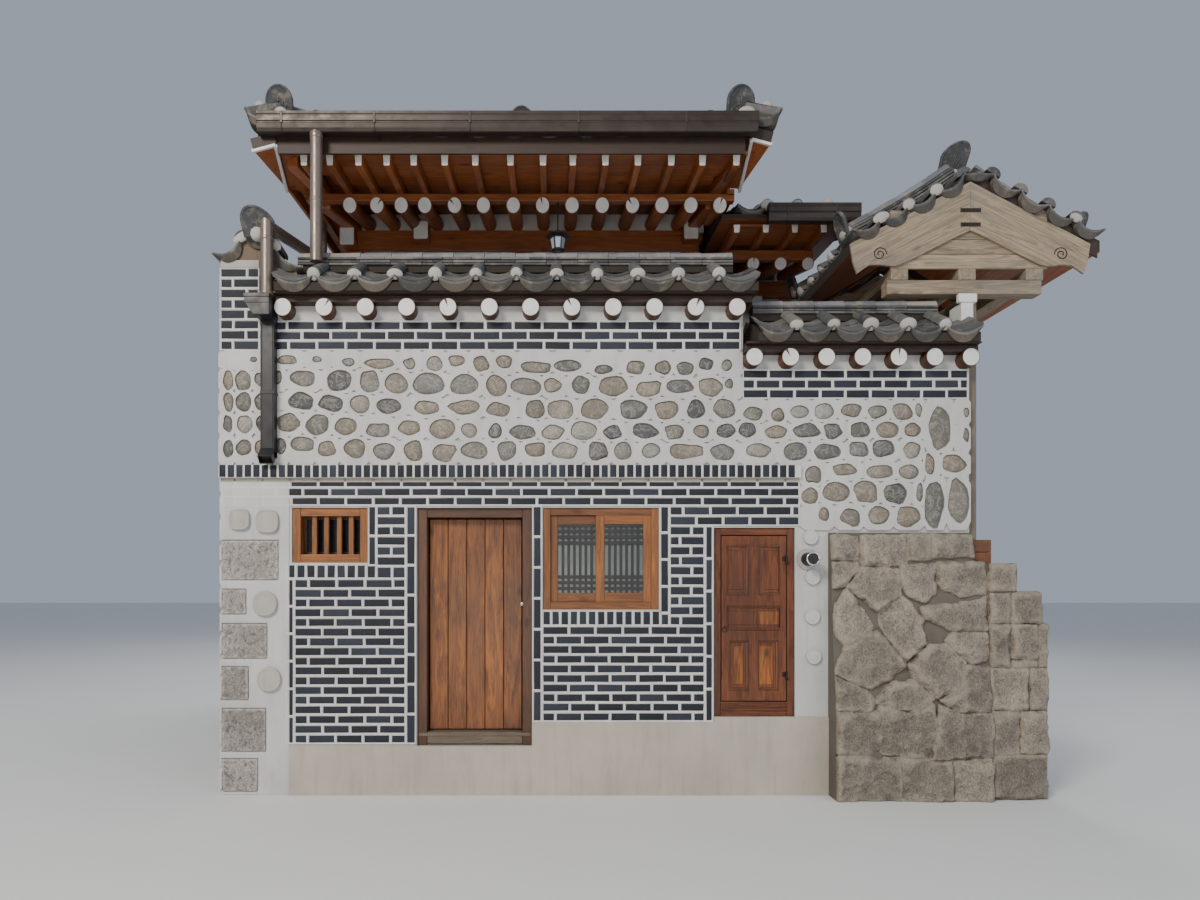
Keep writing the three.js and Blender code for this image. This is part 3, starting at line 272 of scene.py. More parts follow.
# Painted shade: the clay of the roof beds is made nearly black, so that it reads as the shade under the tiles'
# edges and in the gaps of the ridges
CLAY_SHADE = lime_finish("roof_clay_shade", (0.03, 0.022, 0.016), (0.015, 0.012, 0.01), 60, 0.004)
EARTH = lime_finish("packed_earth", (0.17, 0.125, 0.085), (0.09, 0.062, 0.042), 50, 0.008)
PINE = timber_finish("oiled_pine", (0.5, 0.165, 0.046), (0.24, 0.062, 0.016), (0.06, 0.016, 0.005), 0.46)
# Painted shade: a nearly black wood for boards that stand in deep shade under eaves, behind bargeboards and
# behind the door's planks
SHADE_DARK_WOOD = timber_finish("shade_dark_wood", (0.055, 0.025, 0.014), (0.026, 0.013, 0.008), (0.01, 0.006, 0.004),
                            0.6)
OLD_PINE = timber_finish("weathered_pine", (0.42, 0.33, 0.22), (0.17, 0.125, 0.085), (0.06, 0.042, 0.03), 0.78,
                         (0.15, 0.145, 0.135), 0.75, 0.3)
DOOR_WOOD = timber_finish("plank_door_wood", (0.44, 0.142, 0.02), (0.125, 0.032, 0.006), (0.03, 0.011, 0.005),
                          0.4, (0.045, 0.017, 0.008), 0.7, 0.6)
FRAME_WOOD = timber_finish("door_frame_wood", (0.13, 0.05, 0.02), (0.055, 0.021, 0.009), (0.018, 0.008, 0.005))
PANEL_WOOD = timber_finish("panel_door_wood", (0.24, 0.072, 0.02), (0.08, 0.021, 0.007), (0.03, 0.01, 0.005),
                           0.32, (0.035, 0.014, 0.008), 0.6, 0.4)
WINDOW_WOOD = timber_finish("window_wood", (0.36, 0.13, 0.028), (0.14, 0.044, 0.01), (0.05, 0.017, 0.006))
SILL_WOOD = timber_finish("grey_sill_wood", (0.22, 0.165, 0.12), (0.1, 0.075, 0.055), (0.035, 0.026, 0.02), 0.8)
WHITE_PAINT = paint_finish("white_end_paint", (0.68, 0.68, 0.66), (0.42, 0.415, 0.4))
GUTTER_METAL = metal_finish("gutter_metal", (0.04, 0.03, 0.025), (0.075, 0.06, 0.052), 0.42)
PIPE_METAL = metal_finish("pipe_metal", (0.21, 0.165, 0.14), (0.15, 0.12, 0.105), 0.36)
DARK_METAL = metal_finish("dark_metal", (0.026, 0.025, 0.027), (0.05, 0.047, 0.045))
CHROME = metal_finish("chrome_rim", (0.75, 0.76, 0.78), (0.55, 0.55, 0.56), 0.2, 1.0)
IRON = metal_finish("forged_iron", (0.028, 0.025, 0.023), (0.075, 0.042, 0.026), 0.55, 0.7)
LATTICE_PAINT = paint_finish("black_lattice", (0.014, 0.015, 0.017), (0.035, 0.035, 0.036), 0.45)
CLOUDED_PANE = paint_finish("clouded_pane", (0.13, 0.155, 0.155), (0.07, 0.08, 0.085), 0.22)
# Painted shade: a near-black pane for the dark room behind the glass
DARK_PANE = paint_finish("dark_pane", (0.01, 0.012, 0.015), (0.02, 0.022, 0.026), 0.15)
PAPER = paint_finish("window_paper", (0.78, 0.75, 0.68), (0.62, 0.58, 0.5), 0.8)
LANTERN_GLASS = paint_finish("lantern_glass", (0.42, 0.48, 0.56), (0.26, 0.31, 0.37), 0.12)

# Working with pieces


def only(piece):
    """Makes one piece the selected and active one."""
    bpy.ops.object.select_all(action="DESELECT")
    piece.select_set(True)
    bpy.context.view_layer.objects.active = piece


def add(kind, **settings):
    """A basic mesh, with its place put into its points."""
    bpy.ops.object.select_all(action="DESELECT")
    kind(**settings)
    only(bpy.context.object)
    bpy.ops.object.transform_apply(location=True, rotation=True, scale=True)
    return bpy.context.object


def cube(x, y, z):
    """A plain block between three spans, to be shaped further."""
    return add(bpy.ops.mesh.primitive_cube_add, size=1, location=[(a + b) / 2 for a, b in (x, y, z)],
               scale=[abs(b - a) for a, b in (x, y, z)])


def cylinder(radius, depth, sides=24, place=(0, 0, 0), turn=(0, 0, 0), **settings):
    return add(bpy.ops.mesh.primitive_cylinder_add, vertices=sides, radius=radius, depth=depth, location=place,
               rotation=turn, **settings)


def modify(piece, kind, **settings):
    """Adds a modifier to a piece and applies it."""
    only(piece)
    modifier = piece.modifiers.new(kind.lower(), kind)
    for key, value in settings.items():
        setattr(modifier, key, value)
    bpy.ops.object.modifier_apply(modifier=modifier.name)
    return piece


def ease(piece, width=0.004, segments=2):
    """Rounds the edges of a piece a little."""
    return modify(piece, "BEVEL", width=width, segments=segments, limit_method="ANGLE", angle_limit=0.6)


def smooth(piece, angle=0.7):
    only(piece)
    bpy.ops.object.shade_smooth_by_angle(angle=angle)
    return piece


def inset(thickness, depth=0.0, **settings):
    return lambda: bpy.ops.mesh.inset(thickness=thickness, depth=depth, **settings)


def extrude(*shift):
    return lambda: bpy.ops.mesh.extrude_region_move(TRANSFORM_OT_translate={"value": shift})


def shrink(*scale):
    return lambda: bpy.ops.transform.resize(value=scale)


def everything(face):
    return True


def work(piece, test, *steps, slot=None):
    """Selects the faces that pass a test, works them in edit mode and may give them a material slot."""
    only(piece)
    bpy.ops.object.mode_set(mode="EDIT")
    bpy.ops.mesh.select_mode(type="FACE")
    bpy.ops.mesh.select_all(action="DESELECT")
    mesh = bmesh.from_edit_mesh(piece.data)
    for face in mesh.faces:
        face.select_set(bool(test(face)))
    bmesh.update_edit_mesh(piece.data)
    for step in steps:
        step()
    bpy.ops.object.mode_set(mode="OBJECT")
    if slot is not None:
        for polygon in piece.data.polygons:
            if polygon.select:
                polygon.material_index = slot
    return piece


def facing(x=0, y=0, z=0, limit=0.9):
    """A test for faces that look along a direction."""
    way = Vector((x, y, z))
    return lambda face: face.normal.dot(way) > limit


def flip_normals(piece):
    """Turns all faces outwards."""
    return work(piece, everything, bpy.ops.mesh.normals_make_consistent)


def slice_at(piece, axis, values):
    """Cuts lines across a piece at places along one axis."""
    way = [float(k == axis) for k in range(3)]

    def cut():
        for value in values:
            bpy.ops.mesh.select_all(action="SELECT")
            bpy.ops.mesh.bisect(plane_co=[value * k for k in way], plane_no=way)

    return work(piece, everything, cut)


def give(piece, *materials):
    """Gives a piece its finishes. The faces keep the slots that they were given."""
    slots = [polygon.material_index for polygon in piece.data.polygons]
    piece.data.materials.clear()
    for material in materials:
        piece.data.materials.append(material)
    piece.data.polygons.foreach_set("material_index", slots)
    return piece


def points_of(piece):
    points = np.empty(len(piece.data.vertices) * 3, np.float32)
    piece.data.vertices.foreach_get("co", points)
    return points.reshape(-1, 3)


def move_points(piece, points):
    piece.data.vertices.foreach_set("co", points.astype(np.float32).ravel())
    return piece


def reshape(piece, bend):
    """Moves each point of a piece to where a function of its x, y and z says."""
    for vertex in piece.data.vertices:
        vertex.co = bend(*vertex.co)
    return piece


def note(mesh, name, values):
    """Keeps a number or a vector for each point of a mesh, for its finish to read."""
    kind, key = ("FLOAT", "value") if len(values.shape) == 1 else ("FLOAT_VECTOR", "vector")
    own = mesh.attributes.get(name) or mesh.attributes.new(name, kind, "POINT")
    own.data.foreach_set(key, values.astype(np.float32).ravel())


def some_shift():
    return np.array([rng.uniform(0, 20) for _ in range(3)])


def note_grain(piece, order=(0, 1, 2), tone=None, points=None):
    """Keeps a piece's own coordinates, in an order that puts its length last, and a tone."""
    own = points_of(piece)[:, order] if points is None else points
    note(piece.data, "grain", own + some_shift())
    note(piece.data, "tone", np.full(len(piece.data.vertices), rng.random() if tone is None else tone))
    return piece


def finish(piece, *materials, **grain):
    return note_grain(give(piece, *materials), **grain)


def note_relief_light(piece, reach=0.016, rounds=9):
    """Keeps how far each point stands out of its surroundings: 0 in a hollow and 1 on an edge. The granite
    finishes paint shade in the hollows and a highlight on the edges from it.
    """
    mesh = piece.data
    points = points_of(piece).astype(float)
    normals = np.empty(points.size, np.float32)
    mesh.vertices.foreach_get("normal", normals)
    ends = np.empty(len(mesh.edges) * 2, np.int32)
    mesh.edges.foreach_get("vertices", ends)
    one, other = ends.reshape(-1, 2).T
    count = np.bincount(ends, minlength=len(points))
    around = points
    for _ in range(rounds):
        around = np.stack([np.bincount(one, around[other, k], len(points)) +
                           np.bincount(other, around[one, k], len(points)) for k in range(3)], 1) / count[:, None]
    stands = ((points - around) * normals.reshape(-1, 3)).sum(1)
    note(mesh, "wear_and_relief_light", np.clip(0.5 + stands / reach / 2, 0, 1))
    return piece


def remove(piece):
    mesh = piece.data
    bpy.data.objects.remove(piece)
    bpy.data.meshes.remove(mesh)


def spread(source, places, shape=None):
    """One mesh of copies of a modelled piece, one for each place. Each copy keeps its own grain and tone."""
    base = points_of(source)
    polygons = source.data.polygons
    points, grain, tones = [], [], []
    for i, place in enumerate(places):
        own = base if shape is None else shape(base.copy(), i)
        turn = np.array(place)
        points.append(own @ turn[:3, :3].T + turn[:3, 3])
        grain.append(own + some_shift())
        tones.append(np.full(len(base), rng.random()))
    every = [tuple(v + i * len(base) for v in polygon.vertices)
             for i in range(len(places)) for polygon in polygons]
    mesh = bpy.data.meshes.new("copies")
    mesh.from_pydata(np.concatenate(points), [], every)
    mesh.polygons.foreach_set("material_index", [polygon.material_index for polygon in polygons] * len(places))
    note(mesh, "grain", np.concatenate(grain))
    note(mesh, "tone", np.concatenate(tones))
    for material in source.data.materials:
        mesh.materials.append(material)
    piece = bpy.data.objects.new("copies", mesh)
    bpy.context.scene.collection.objects.link(piece)
    remove(source)
    return smooth(piece)


def merge(name, pieces):
    """Joins pieces into one object."""
    only(pieces[0])
    for piece in pieces:
        piece.select_set(True)
    if len(pieces) > 1:
        bpy.ops.object.join()
    pieces[0].name = name
    return pieces[0]


def along(start, end, up=(0, 0, 1)):
    """The place of a piece that was modelled along +Z from the origin, with its top towards +Y."""
    start = Vector(start)
    forward = (Vector(end) - start).normalized()
    side = Vector(up).cross(forward)
    if side.length < 1e-4:
        side = Vector((1, 0, 0))
    side.normalize()
    turn = Matrix((side, forward.cross(side), forward)).transposed().to_4x4()
    turn.translation = start
    return turn


def lengths(*scale):
    """The place of a piece drawn out along its own axes."""
    return Matrix.Diagonal((*scale, 1))


def at(x, y, z, turn=0.0):
    return Matrix.Translation((x, y, z)) @ Matrix.Rotation(turn, 4, "Z")


def put(piece, place):
    piece.data.transform(place)
    return piece


def timber(start, end, width, height, material=PINE, bevel=0.005):
    """A planed timber between two points on its centre line."""
    length = (Vector(end) - Vector(start)).length
    piece = ease(cube((-width / 2, width / 2), (-height / 2, height / 2), (0, length)), bevel)
    return put(finish(piece, material), along(start, end))


def board(x, y, z, material=PINE, bevel=0.004):
    """A sawn member between three spans. Its grain runs along its longest side."""
    order = sorted(range(3), key=lambda i: abs((x, y, z)[i][1] - (x, y, z)[i][0]))
    return finish(ease(cube(x, y, z), bevel), material, order=order)


def boards(material, bevel, *spans):
    return [board(*three, material, bevel) for three in spans]


def span(middle, half):
    return middle - half, middle + half


def dress(name, pieces, slot, *nodes, body="house"):
    """Joins finished pieces into one, under its body, and hides the construction pieces it stands for. The slot
    is not used.
    """
    piece = merge(name, pieces)
    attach(piece, body)
    if nodes:
        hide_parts(*nodes)


# Camera, floor and light
CAMERA = (-0.445, -7.42, 1.955)
LENS = {"lens": 24, "sensor_width": 36, "shift_x": 0.04, "shift_y": 0.108}
# Place, target, size, power and colour
LIGHTS = [
    ((-7, -12, 11), (0, 0, 3), 4, 2150, (1.0, 0.94, 0.84)),
    ((-1, -9, 0.6), (-0.5, 0.5, 5.8), 4, 260, (1.0, 0.9, 0.78)),
    ((9, -9, 6), (0, 1, 3), 8, 380, (0.86, 0.92, 1.0)),
    ((2, 14, 13), (0, 3, 4), 9, 1300, (1.0, 0.97, 0.93)),
]


def set_studio():
    bpy.ops.object.camera_add(location=CAMERA, rotation=(QUARTER, 0, 0))
    camera = bpy.context.object
    for key, value in LENS.items():
        setattr(camera.data, key, value)
    bpy.context.scene.camera = camera
    floor = cube((-60, 60), (-60, 60), (-0.1, -0.001))
    floor.name = "floor"
    f = Finish("pale_floor", 0.85)
    give(floor, f.done(f.mix(f.noise(0.7, 3), (0.7, 0.7, 0.69), (0.74, 0.74, 0.73))))
    for place, target, size, energy, colour in LIGHTS:
        bpy.ops.object.light_add(type="AREA", location=place)
        light = bpy.context.object
        light.rotation_euler = (Vector(target) - Vector(place)).to_track_quat("-Z", "Y").to_euler()
        light.data.size = size
        light.data.energy = energy
        light.data.color = colour
    world = bpy.data.worlds.new("studio")
    world.use_nodes = True
    background = world.node_tree.nodes["Background"].inputs
    background["Color"].default_value = (0.75, 0.84, 1.0, 1.0)
    background["Strength"].default_value = 0.45
    bpy.context.scene.world = world


set_studio()

# Brickwork with raised joints
BRICK_PITCH = 0.253
COURSE = 0.09
JOINT = 0.026
JOINT_PROUD = 0.012


def brick_cell():
    """One brick in its share of the raised joints: a block whose face sinks to the brick."""
    cell = cube(span(0, BRICK_PITCH / 2), (-JOINT_PROUD, 0), span(0, COURSE / 2))
    work(cell, facing(y=-1), inset(JOINT / 2 - 0.008), inset(0.005, -0.004), inset(0.003, -0.006), slot=1)
    work(cell, lambda face: face.material_index == 1, inset(0.004, 0.0012), slot=1)
    return give(cell, MORTAR, BRICK)


def brick_places(x0, x1, z0, z1, courses, pitch, first_half):
    """Cells [x0, x1, z0, z1] of a bond: courses from the foot up, every second one shifted half a brick."""
    cells = []
    height = (z1 - z0) / courses
    for course in range(courses):
        low = z0 + course * height
        start = x0
        width = pitch / 2 if (course % 2 == 1) != first_half else pitch
        while start < x1 - 0.02:
            end = min(x1, start + width * rng.uniform(0.97, 1.03))
            if x1 - end < 0.06:
                end = x1
            cells.append((start, end, low, low + height))
            start = end
            width = pitch
    return cells


def lay_bricks(cells, place):
    """Brick cells on a face. The face is the XZ plane of the given place, seen from its -Y side."""
    def stretch(points, i):
        x0, x1, z0, z1 = cells[i]
        points[:, 0] += np.sign(points[:, 0]) * ((x1 - x0) - BRICK_PITCH) / 2
        points[:, 2] += np.sign(points[:, 2]) * ((z1 - z0) - COURSE) / 2
        inner = (points[:, 1] > -JOINT_PROUD + 0.003) & (points[:, 1] < -0.0005)
        wobble = np.array([[rng.uniform(-0.002, 0.002), 0, rng.uniform(-0.002, 0.002)] for _ in points])
        points[inner] += wobble[inner]
        return points

    middles = [place @ at((c[0] + c[1]) / 2, 0, (c[2] + c[3]) / 2) for c in cells]
    return [spread(brick_cell(), middles, stretch)]


# Panels of the street front: x0, x1, z0, z1, courses, pitch, half a brick first
RUNNING = [
    (WALL_X0, LEDGE_X1, 2.625, LEDGE_Z[0], 3, 0.249, True),  # under the ledge
    (0.622, LEDGE_X1, 2.443, 2.625, 2, 0.249, False),  # over the panelled door
    (-2.787, -1.772, 0.462, 1.962, 17, 0.2537, True),
    (-2.04, -1.772, 1.962, 2.077, 1, 0.146, False),
    (-2.04, -1.772, 2.077, 2.625, 6, 0.268, False),  # a stack of whole bricks
    (-0.535, 0.945, 0.664, 1.535, 10, 0.2466, True),
    (0.622, 0.945, 1.535, 2.443, 10, 0.2, True),
    (0.54, 0.622, 1.535, 1.65, 1, 0.2, False),
]
# Columns of upright bricks and soldier courses: x0, x1, z0, z1, count
UPRIGHTS = [
    (-2.862, -2.787, 0.462, 1.962, 6), (-1.772, -1.68, 0.462, 2.625, 8), (-2.116, -2.04, 2.077, 2.625, 2),
    (-0.622, -0.535, 0.664, 2.625, 7), (0.535, 0.622, 1.65, 2.625, 4), (0.945, 1.02, 0.664, 2.443, 6),
]
SOLDIERS = [(-2.862, -2.04, 1.962, 2.095, 9), (-0.535, 0.54, 1.535, 1.675, 13)]
# Bands under the caps, as the panels
BANDS = [
    (-3.10, STEP_X - 0.02, 4.035, 4.305, 3, 0.2555, False),
    (STEP_X - 0.005, CORNER_X - 0.01, 3.595, 3.865, 3, 0.2335, False),
    (WALL_X0 - 0.014, -3.10, 4.035, 4.785, 8, 0.24, True),
]


def build_front_bricks():
    cells = [cell for panel in RUNNING for cell in brick_places(*panel)]
    for x0, x1, z0, z1, count in UPRIGHTS:
        step = (z1 - z0) / count
        cells += [(x0, x1, z0 + i * step, z0 + (i + 1) * step) for i in range(count)]
    for x0, x1, z0, z1, count in SOLDIERS:
        step = (x1 - x0) / count
        cells += [(x0 + i * step, x0 + (i + 1) * step, z0, z1) for i in range(count)]
    dress("front_bricks", lay_bricks(cells, at(0, FACE, 0)), "brick")
    cells = [cell for band in BANDS for cell in brick_places(*band)]
    dress("brick_bands", lay_bricks(cells, at(0, FACE - 0.004, 0)), "brick")


# Fieldstones set in plaster
STONE_SIDES = 16
STONE_PROUD = 0.018
STONE_GAP = 0.004
STONE_GROW = 1.1
STONE_LAP = 0.007
# The street walls' stones, row by row from the top: [x, z, width, height] in centimetres up the street face
STONE_ROWS = [
    [(-315, 395, 6, 5), (-284, 395, 19, 8), (-258, 395, 9, 6), (-229, 393, 11, 8), (-201, 391, 26, 10),
     (-173, 391, 13, 11), (-151, 391, 14, 13), (-131, 394, 14, 10), (-109, 391, 15, 14), (-88, 393, 14, 11),
     (-59, 388, 26, 10), (-30, 389, 24, 11), (3, 386, 17, 8), (32, 385, 17, 13), (56, 388, 14, 13),
     (76, 386, 15, 13), (95, 391, 13, 11), (114, 390, 9, 10)],
    [(-338, 376, 9, 18), (-325, 378, 14, 21), (-309, 377, 10, 12), (-293, 379, 7, 12), (-270, 378, 23, 14),
     (-238, 378, 22, 19), (-211, 374, 19, 20), (-186, 374, 21, 19), (-156, 373, 28, 19), (-124, 373, 24, 20),
     (-95, 372, 18, 21), (-68, 370, 26, 16), (-44, 371, 16, 14), (-19, 372, 17, 17), (11, 371, 25, 19),
     (44, 369, 23, 15), (69, 371, 27, 12), (99, 372, 22, 19), (116, 373, 7, 9)],
    [(-338, 355, 9, 18), (-324, 356, 14, 18), (-306, 358, 18, 21), (-272, 356, 22, 17), (-245, 354, 22, 15),
     (-219, 353, 17, 17), (-192, 351, 22, 14), (-158, 351, 21, 13), (-124, 351, 29, 14), (-92, 350, 23, 13),
     (-60, 349, 17, 16), (-37, 349, 22, 20), (-6, 351, 24, 19), (29, 350, 25, 17), (59, 349, 21, 16),
     (87, 350, 17, 17), (112, 351, 19, 17), (138, 346, 17, 12), (160, 345, 12, 12), (180, 347, 16, 12),
     (202, 348, 17, 14), (228, 349, 20, 12), (251, 348, 17, 13), (274, 348, 18, 15), (288, 349, 6, 12)],
    [(-338, 337, 9, 15), (-324, 337, 15, 17), (-306, 337, 13, 15), (-284, 338, 21, 19), (-257, 335, 21, 19),
     (-231, 333, 20, 16), (-203, 331, 21, 13), (-173, 333, 21, 13), (-144, 332, 22, 17), (-119, 331, 15, 13),
     (-96, 330, 12, 14), (-71, 329, 23, 14), (-44, 329, 21, 13), (-16, 330, 23, 17), (10, 329, 17, 13),
     (39, 330, 26, 14), (67, 329, 17, 13), (91, 330, 14, 12), (113, 331, 17, 13), (133, 331, 16, 13),
     (159, 329, 20, 12), (186, 329, 25, 16), (211, 330, 17, 14), (235, 331, 17, 14), (259, 331, 20, 14),
     (282, 331, 15, 13)],
    [(-338, 314, 9, 15), (-324, 316, 14, 15), (-308, 315, 12, 14), (-290, 316, 9, 15), (-271, 318, 20, 14),
     (-249, 314, 17, 14), (-224, 314, 19, 17), (-197, 312, 19, 15), (-170, 312, 17, 19), (-143, 311, 23, 17),
     (-114, 312, 25, 16), (-86, 312, 17, 17), (-59, 313, 19, 13), (-32, 313, 24, 15), (-2, 312, 17, 16),
     (20, 313, 15, 16), (46, 314, 17, 14), (78, 312, 29, 14), (110, 311, 21, 14), (142, 313, 23, 13),
     (176, 311, 20, 17), (204, 312, 25, 15), (233, 313, 18, 14), (256, 314, 19, 16), (282, 313, 15, 15)],
    [(192, 290, 14, 16), (221, 295, 21, 11), (253, 294, 23, 13), (279, 293, 17, 13)],
    [(186, 262, 15, 21), (213, 275, 23, 17), (239, 274, 21, 20), (268, 273, 22, 20), (289, 276, 6, 17)],
    [(202, 255, 9, 12), (226, 253, 18, 18), (251, 253, 20, 17), (279, 250, 20, 22)],
]
# Lines of plaster between those rows, from the top: [x, z] in metres
ROW_LINES = [
    [(-3.5, 4.035)],
    [(-3.28, 3.86), (-2.38, 3.872), (-1.17, 3.824), (1.09, 3.797)],
    [(-3.28, 3.664), (-2.68, 3.667), (-1.17, 3.607), (1.15, 3.602), (1.29, 3.595)],
    [(-3.28, 3.468), (-2.68, 3.478), (-1.59, 3.426), (0.34, 3.39), (1.33, 3.389), (1.59, 3.375), (1.96, 3.388),
     (2.33, 3.414), (2.58, 3.399), (2.93, 3.391)],
    [(-3.28, 3.263), (-2.83, 3.263), (-1.47, 3.221), (0.34, 3.212), (1.64, 3.209), (2.33, 3.216), (2.58, 3.231),
     (2.93, 3.225)],
    [(1.775, LEDGE_Z[1]), (1.785, 3.023), (2.27, 3.031), (2.93, 3.034)],
    [(1.78, 2.804), (1.96, 2.804), (2.11, 2.859), (2.43, 2.859), (2.93, 2.84)],
    [(1.78, 2.624), (2.05, 2.647), (2.43, 2.632), (2.93, 2.624)],
    [(1.78, RUBBLE_TOP + 0.03)],
]
# The big stones of the corner: their share of the wall in metres, then the stone as above
CORNER_STONES = [
    (2.926, 3.208, 3.109, 3.594, (307, 332, 19, 38)), (3.208, CORNER_X, 3.36, 3.594, (332, 347, 5, 8)),
    (3.208, CORNER_X, 3.109, 3.36, (331, 327, 5, 13)), (2.926, 3.075, 2.89, 3.109, (298, 300, 8, 19)),
    (3.075, CORNER_X, 2.89, 3.109, (320, 301, 22, 16)),
    (2.926, 3.132, RUBBLE_TOP + 0.03, 2.89, (302, 265, 18, 43)),
    (3.132, CORNER_X, RUBBLE_TOP + 0.03, 2.89, (324, 265, 18, 44)),
]


def stone_cell():
    """One fieldstone in its share of the plaster: a round hole in a block, with the stone bulging in it."""
    cell = cylinder(1.4, 1.0, STONE_SIDES, turn=(0, 0, math.pi / 16))
    work(cell, facing(z=1), inset(0.4), inset(0.08, -0.75), slot=0)
    work(cell, lambda face: face.normal.z > 0.9 and face.calc_center_median().z < 0, inset(0.14, 0.5),
         inset(0.36, 0.25), slot=1)
    # The hole's wall round each stone takes the dark groove finish: painted shade, with some dirt
    for polygon in cell.data.polygons:
        reach = math.hypot(polygon.center.x, polygon.center.y)
        if 0.91 < reach < 1.02 and abs(polygon.normal.z) < 0.9:
            polygon.material_index = 2
        elif polygon.normal.z > 0.1 and reach < 0.91:
            polygon.material_index = 1
    return give(cell, PLASTER, FIELDSTONE, GROOVE_SHADE)


def stone_outline(angle):
    """The x and z of a worn, uneven outline at each angle, filling a square from -1 to 1."""
    turn = rng.uniform(-0.5, 0.5)
    power = rng.choice((1.9, 2.1, 2.4, 2.9, 3.6))
    reach = (np.abs(np.cos(angle + turn)) ** power + np.abs(np.sin(angle + turn)) ** power) ** (-1 / power)
    for wave in (1, 2, 3, 5):
        reach *= 1 + rng.uniform(-0.13, 0.13) / math.sqrt(wave) * np.cos(wave * angle + rng.uniform(0, 6.3))
    x, z = np.cos(angle) * reach, np.sin(angle) * reach
    return x / np.abs(x).max(), z / np.abs(z).max()


def lay_stones(cells, place):
    """Stones in their cells on a face: the XZ plane of the given place, seen from its -Y side.

    A cell is [x0, x1, line below, line above, (x, z, width, height) of its stone].
    """
    source = stone_cell()
    base = points_of(source)
    radius = np.hypot(base[:, 0], base[:, 1])
    angle = np.arctan2(base[:, 1], base[:, 0])
    border = radius > 1.3
    square = np.maximum(np.abs(np.cos(angle)), np.abs(np.sin(angle)))
    across = np.cos(angle) / square
    up = np.sin(angle) / square

    def fit(middle, size, low, high):
        half = min(size / 2, (high - low) / 2 - STONE_GAP)
        return max(low + STONE_GAP + half, min(high - STONE_GAP - half, middle)), half

    def shape(points, i):
        x0, x1, below, above, (x, z, width, height) = cells[i]
        x, half_x = fit(x, width * STONE_GROW, x0, x1)
        z, half_z = fit(z, height * STONE_GROW, np.interp(x, *zip(*below)), np.interp(x, *zip(*above)))
        round_x, round_z = stone_outline(angle)
        border_x = (x0 + x1) / 2 + across * ((x1 - x0) / 2 + STONE_LAP)
        foot, head = np.interp(border_x, *zip(*below)), np.interp(border_x, *zip(*above))
        border_z = (foot + head) / 2 + up * ((head - foot) / 2 + STONE_LAP)
        level = (points[:, 2] + 0.5) * (STONE_PROUD - rng.uniform(0, 0.0003))
        tilt = rng.uniform(-0.2, 0.2) * np.cos(angle) + rng.uniform(-0.2, 0.2) * np.sin(angle)
        stone = radius < 0.85
        level[stone] *= (rng.uniform(0.95, 1.35) + tilt)[stone]
        return np.stack([np.where(border, border_x, x + half_x * radius * round_x), -level,
                         np.where(border, border_z, z + half_z * radius * round_z)], 1)

    return [spread(source, [place] * len(cells), shape)]


def row_cells(stones, x0, x1, below, above):
    """The cells of one row, parted halfway between neighbouring stones."""
    stones = [tuple(size / 100 for size in stone) for stone in stones]
    edges = [x0]
    for (x, _, width, _), (next_x, _, next_width, _) in zip(stones, stones[1:]):
        edges.append((x + width / 2 + next_x - next_width / 2) / 2)
    edges.append(x1)
    return [(a, b, below, above, stone) for a, b, stone in zip(edges, edges[1:], stones)]


def street_stones():
    cells = []
    for row, stones in enumerate(STONE_ROWS):
        x0 = WALL_X0 - STONE_PROUD if row < 5 else LEDGE_X1
        x1 = STEP_X - 0.012 if row < 2 else CORNER_STONES[0][0]
        cells += row_cells(stones, x0, x1, ROW_LINES[row + 1], ROW_LINES[row])
    for x0, x1, z0, z1, stone in CORNER_STONES:
        cells.append((x0, x1, [(x0, z0)], [(x0, z1)], tuple(size / 100 for size in stone)))
    return cells


def rough_cells(x1, z0, z1, pitch=0.31, height=0.205):
    """Cells of a wall that the photograph doesn't show: swaying rows of uneven stones."""
    rows = max(1, round((z1 - z0) / height))
    lines = []
    for row in range(rows + 1):
        sway = 0.0 if row in (0, rows) else 0.022
        level = z0 + row * (z1 - z0) / rows
        lines.append([(x, level + rng.uniform(-sway, sway)) for x in np.linspace(0, x1, 14)])
    cells = []
    for below, above in zip(lines, lines[1:]):
        shares = [rng.uniform(0.65, 1.4) for _ in range(max(1, round(x1 / pitch)))]
        scale = x1 / sum(shares)
        start = 0
        for share in shares:
            width = share * scale
            middle = start + width / 2 + rng.uniform(-0.02, 0.02)
            level = (np.interp(middle, *zip(*below)) + np.interp(middle, *zip(*above))) / 2
            level += rng.uniform(-0.015, 0.015)
            stone = (middle, level, width * rng.uniform(0.66, 0.88), height * rng.uniform(0.58, 0.86))
            cells.append((start, start + width, below, above, stone))
            start += width
    return cells


BAND = 0.27  # three courses of brick under each cap


def wall_face(name, place, width, top):
    """A side or back wall's face up to a cap: stones with a band of bricks above them."""
    dress(name + "_fieldstones", lay_stones(rough_cells(width, 0.02, top - BAND), place), "fieldstone")
    bricks = brick_places(0, width, top - BAND, top, 3, 0.2555, False)
    dress(name + "_brick_band", lay_bricks(bricks, place), "brick")


def build_stone_walls():
    dress("front_fieldstones", lay_stones(street_stones(), at(0, FACE, 0)), "fieldstone")
    left_x = box_of("side_wall_left")[0][0]
    back_y = box_of("back_wall")[1][1]
    high, low = 4.44, 4.0
    wall_face("left", at(left_x, back_y, 0, -QUARTER), back_y - FACE, high)
    wall_face("back_left", at(STEP_X, back_y, 0, math.pi), STEP_X - left_x, high)
    wall_face("back_right", at(RIGHT_X, back_y, 0, math.pi), RIGHT_X - STEP_X, low)
    wall_face("right", at(RIGHT_X, GATE_BACK, 0, QUARTER), back_y - GATE_BACK, low)


# Ledge of upright bricks between the street storey and the upper walls
SOLDIER_PITCH = 0.0766
FILLET = 0.035


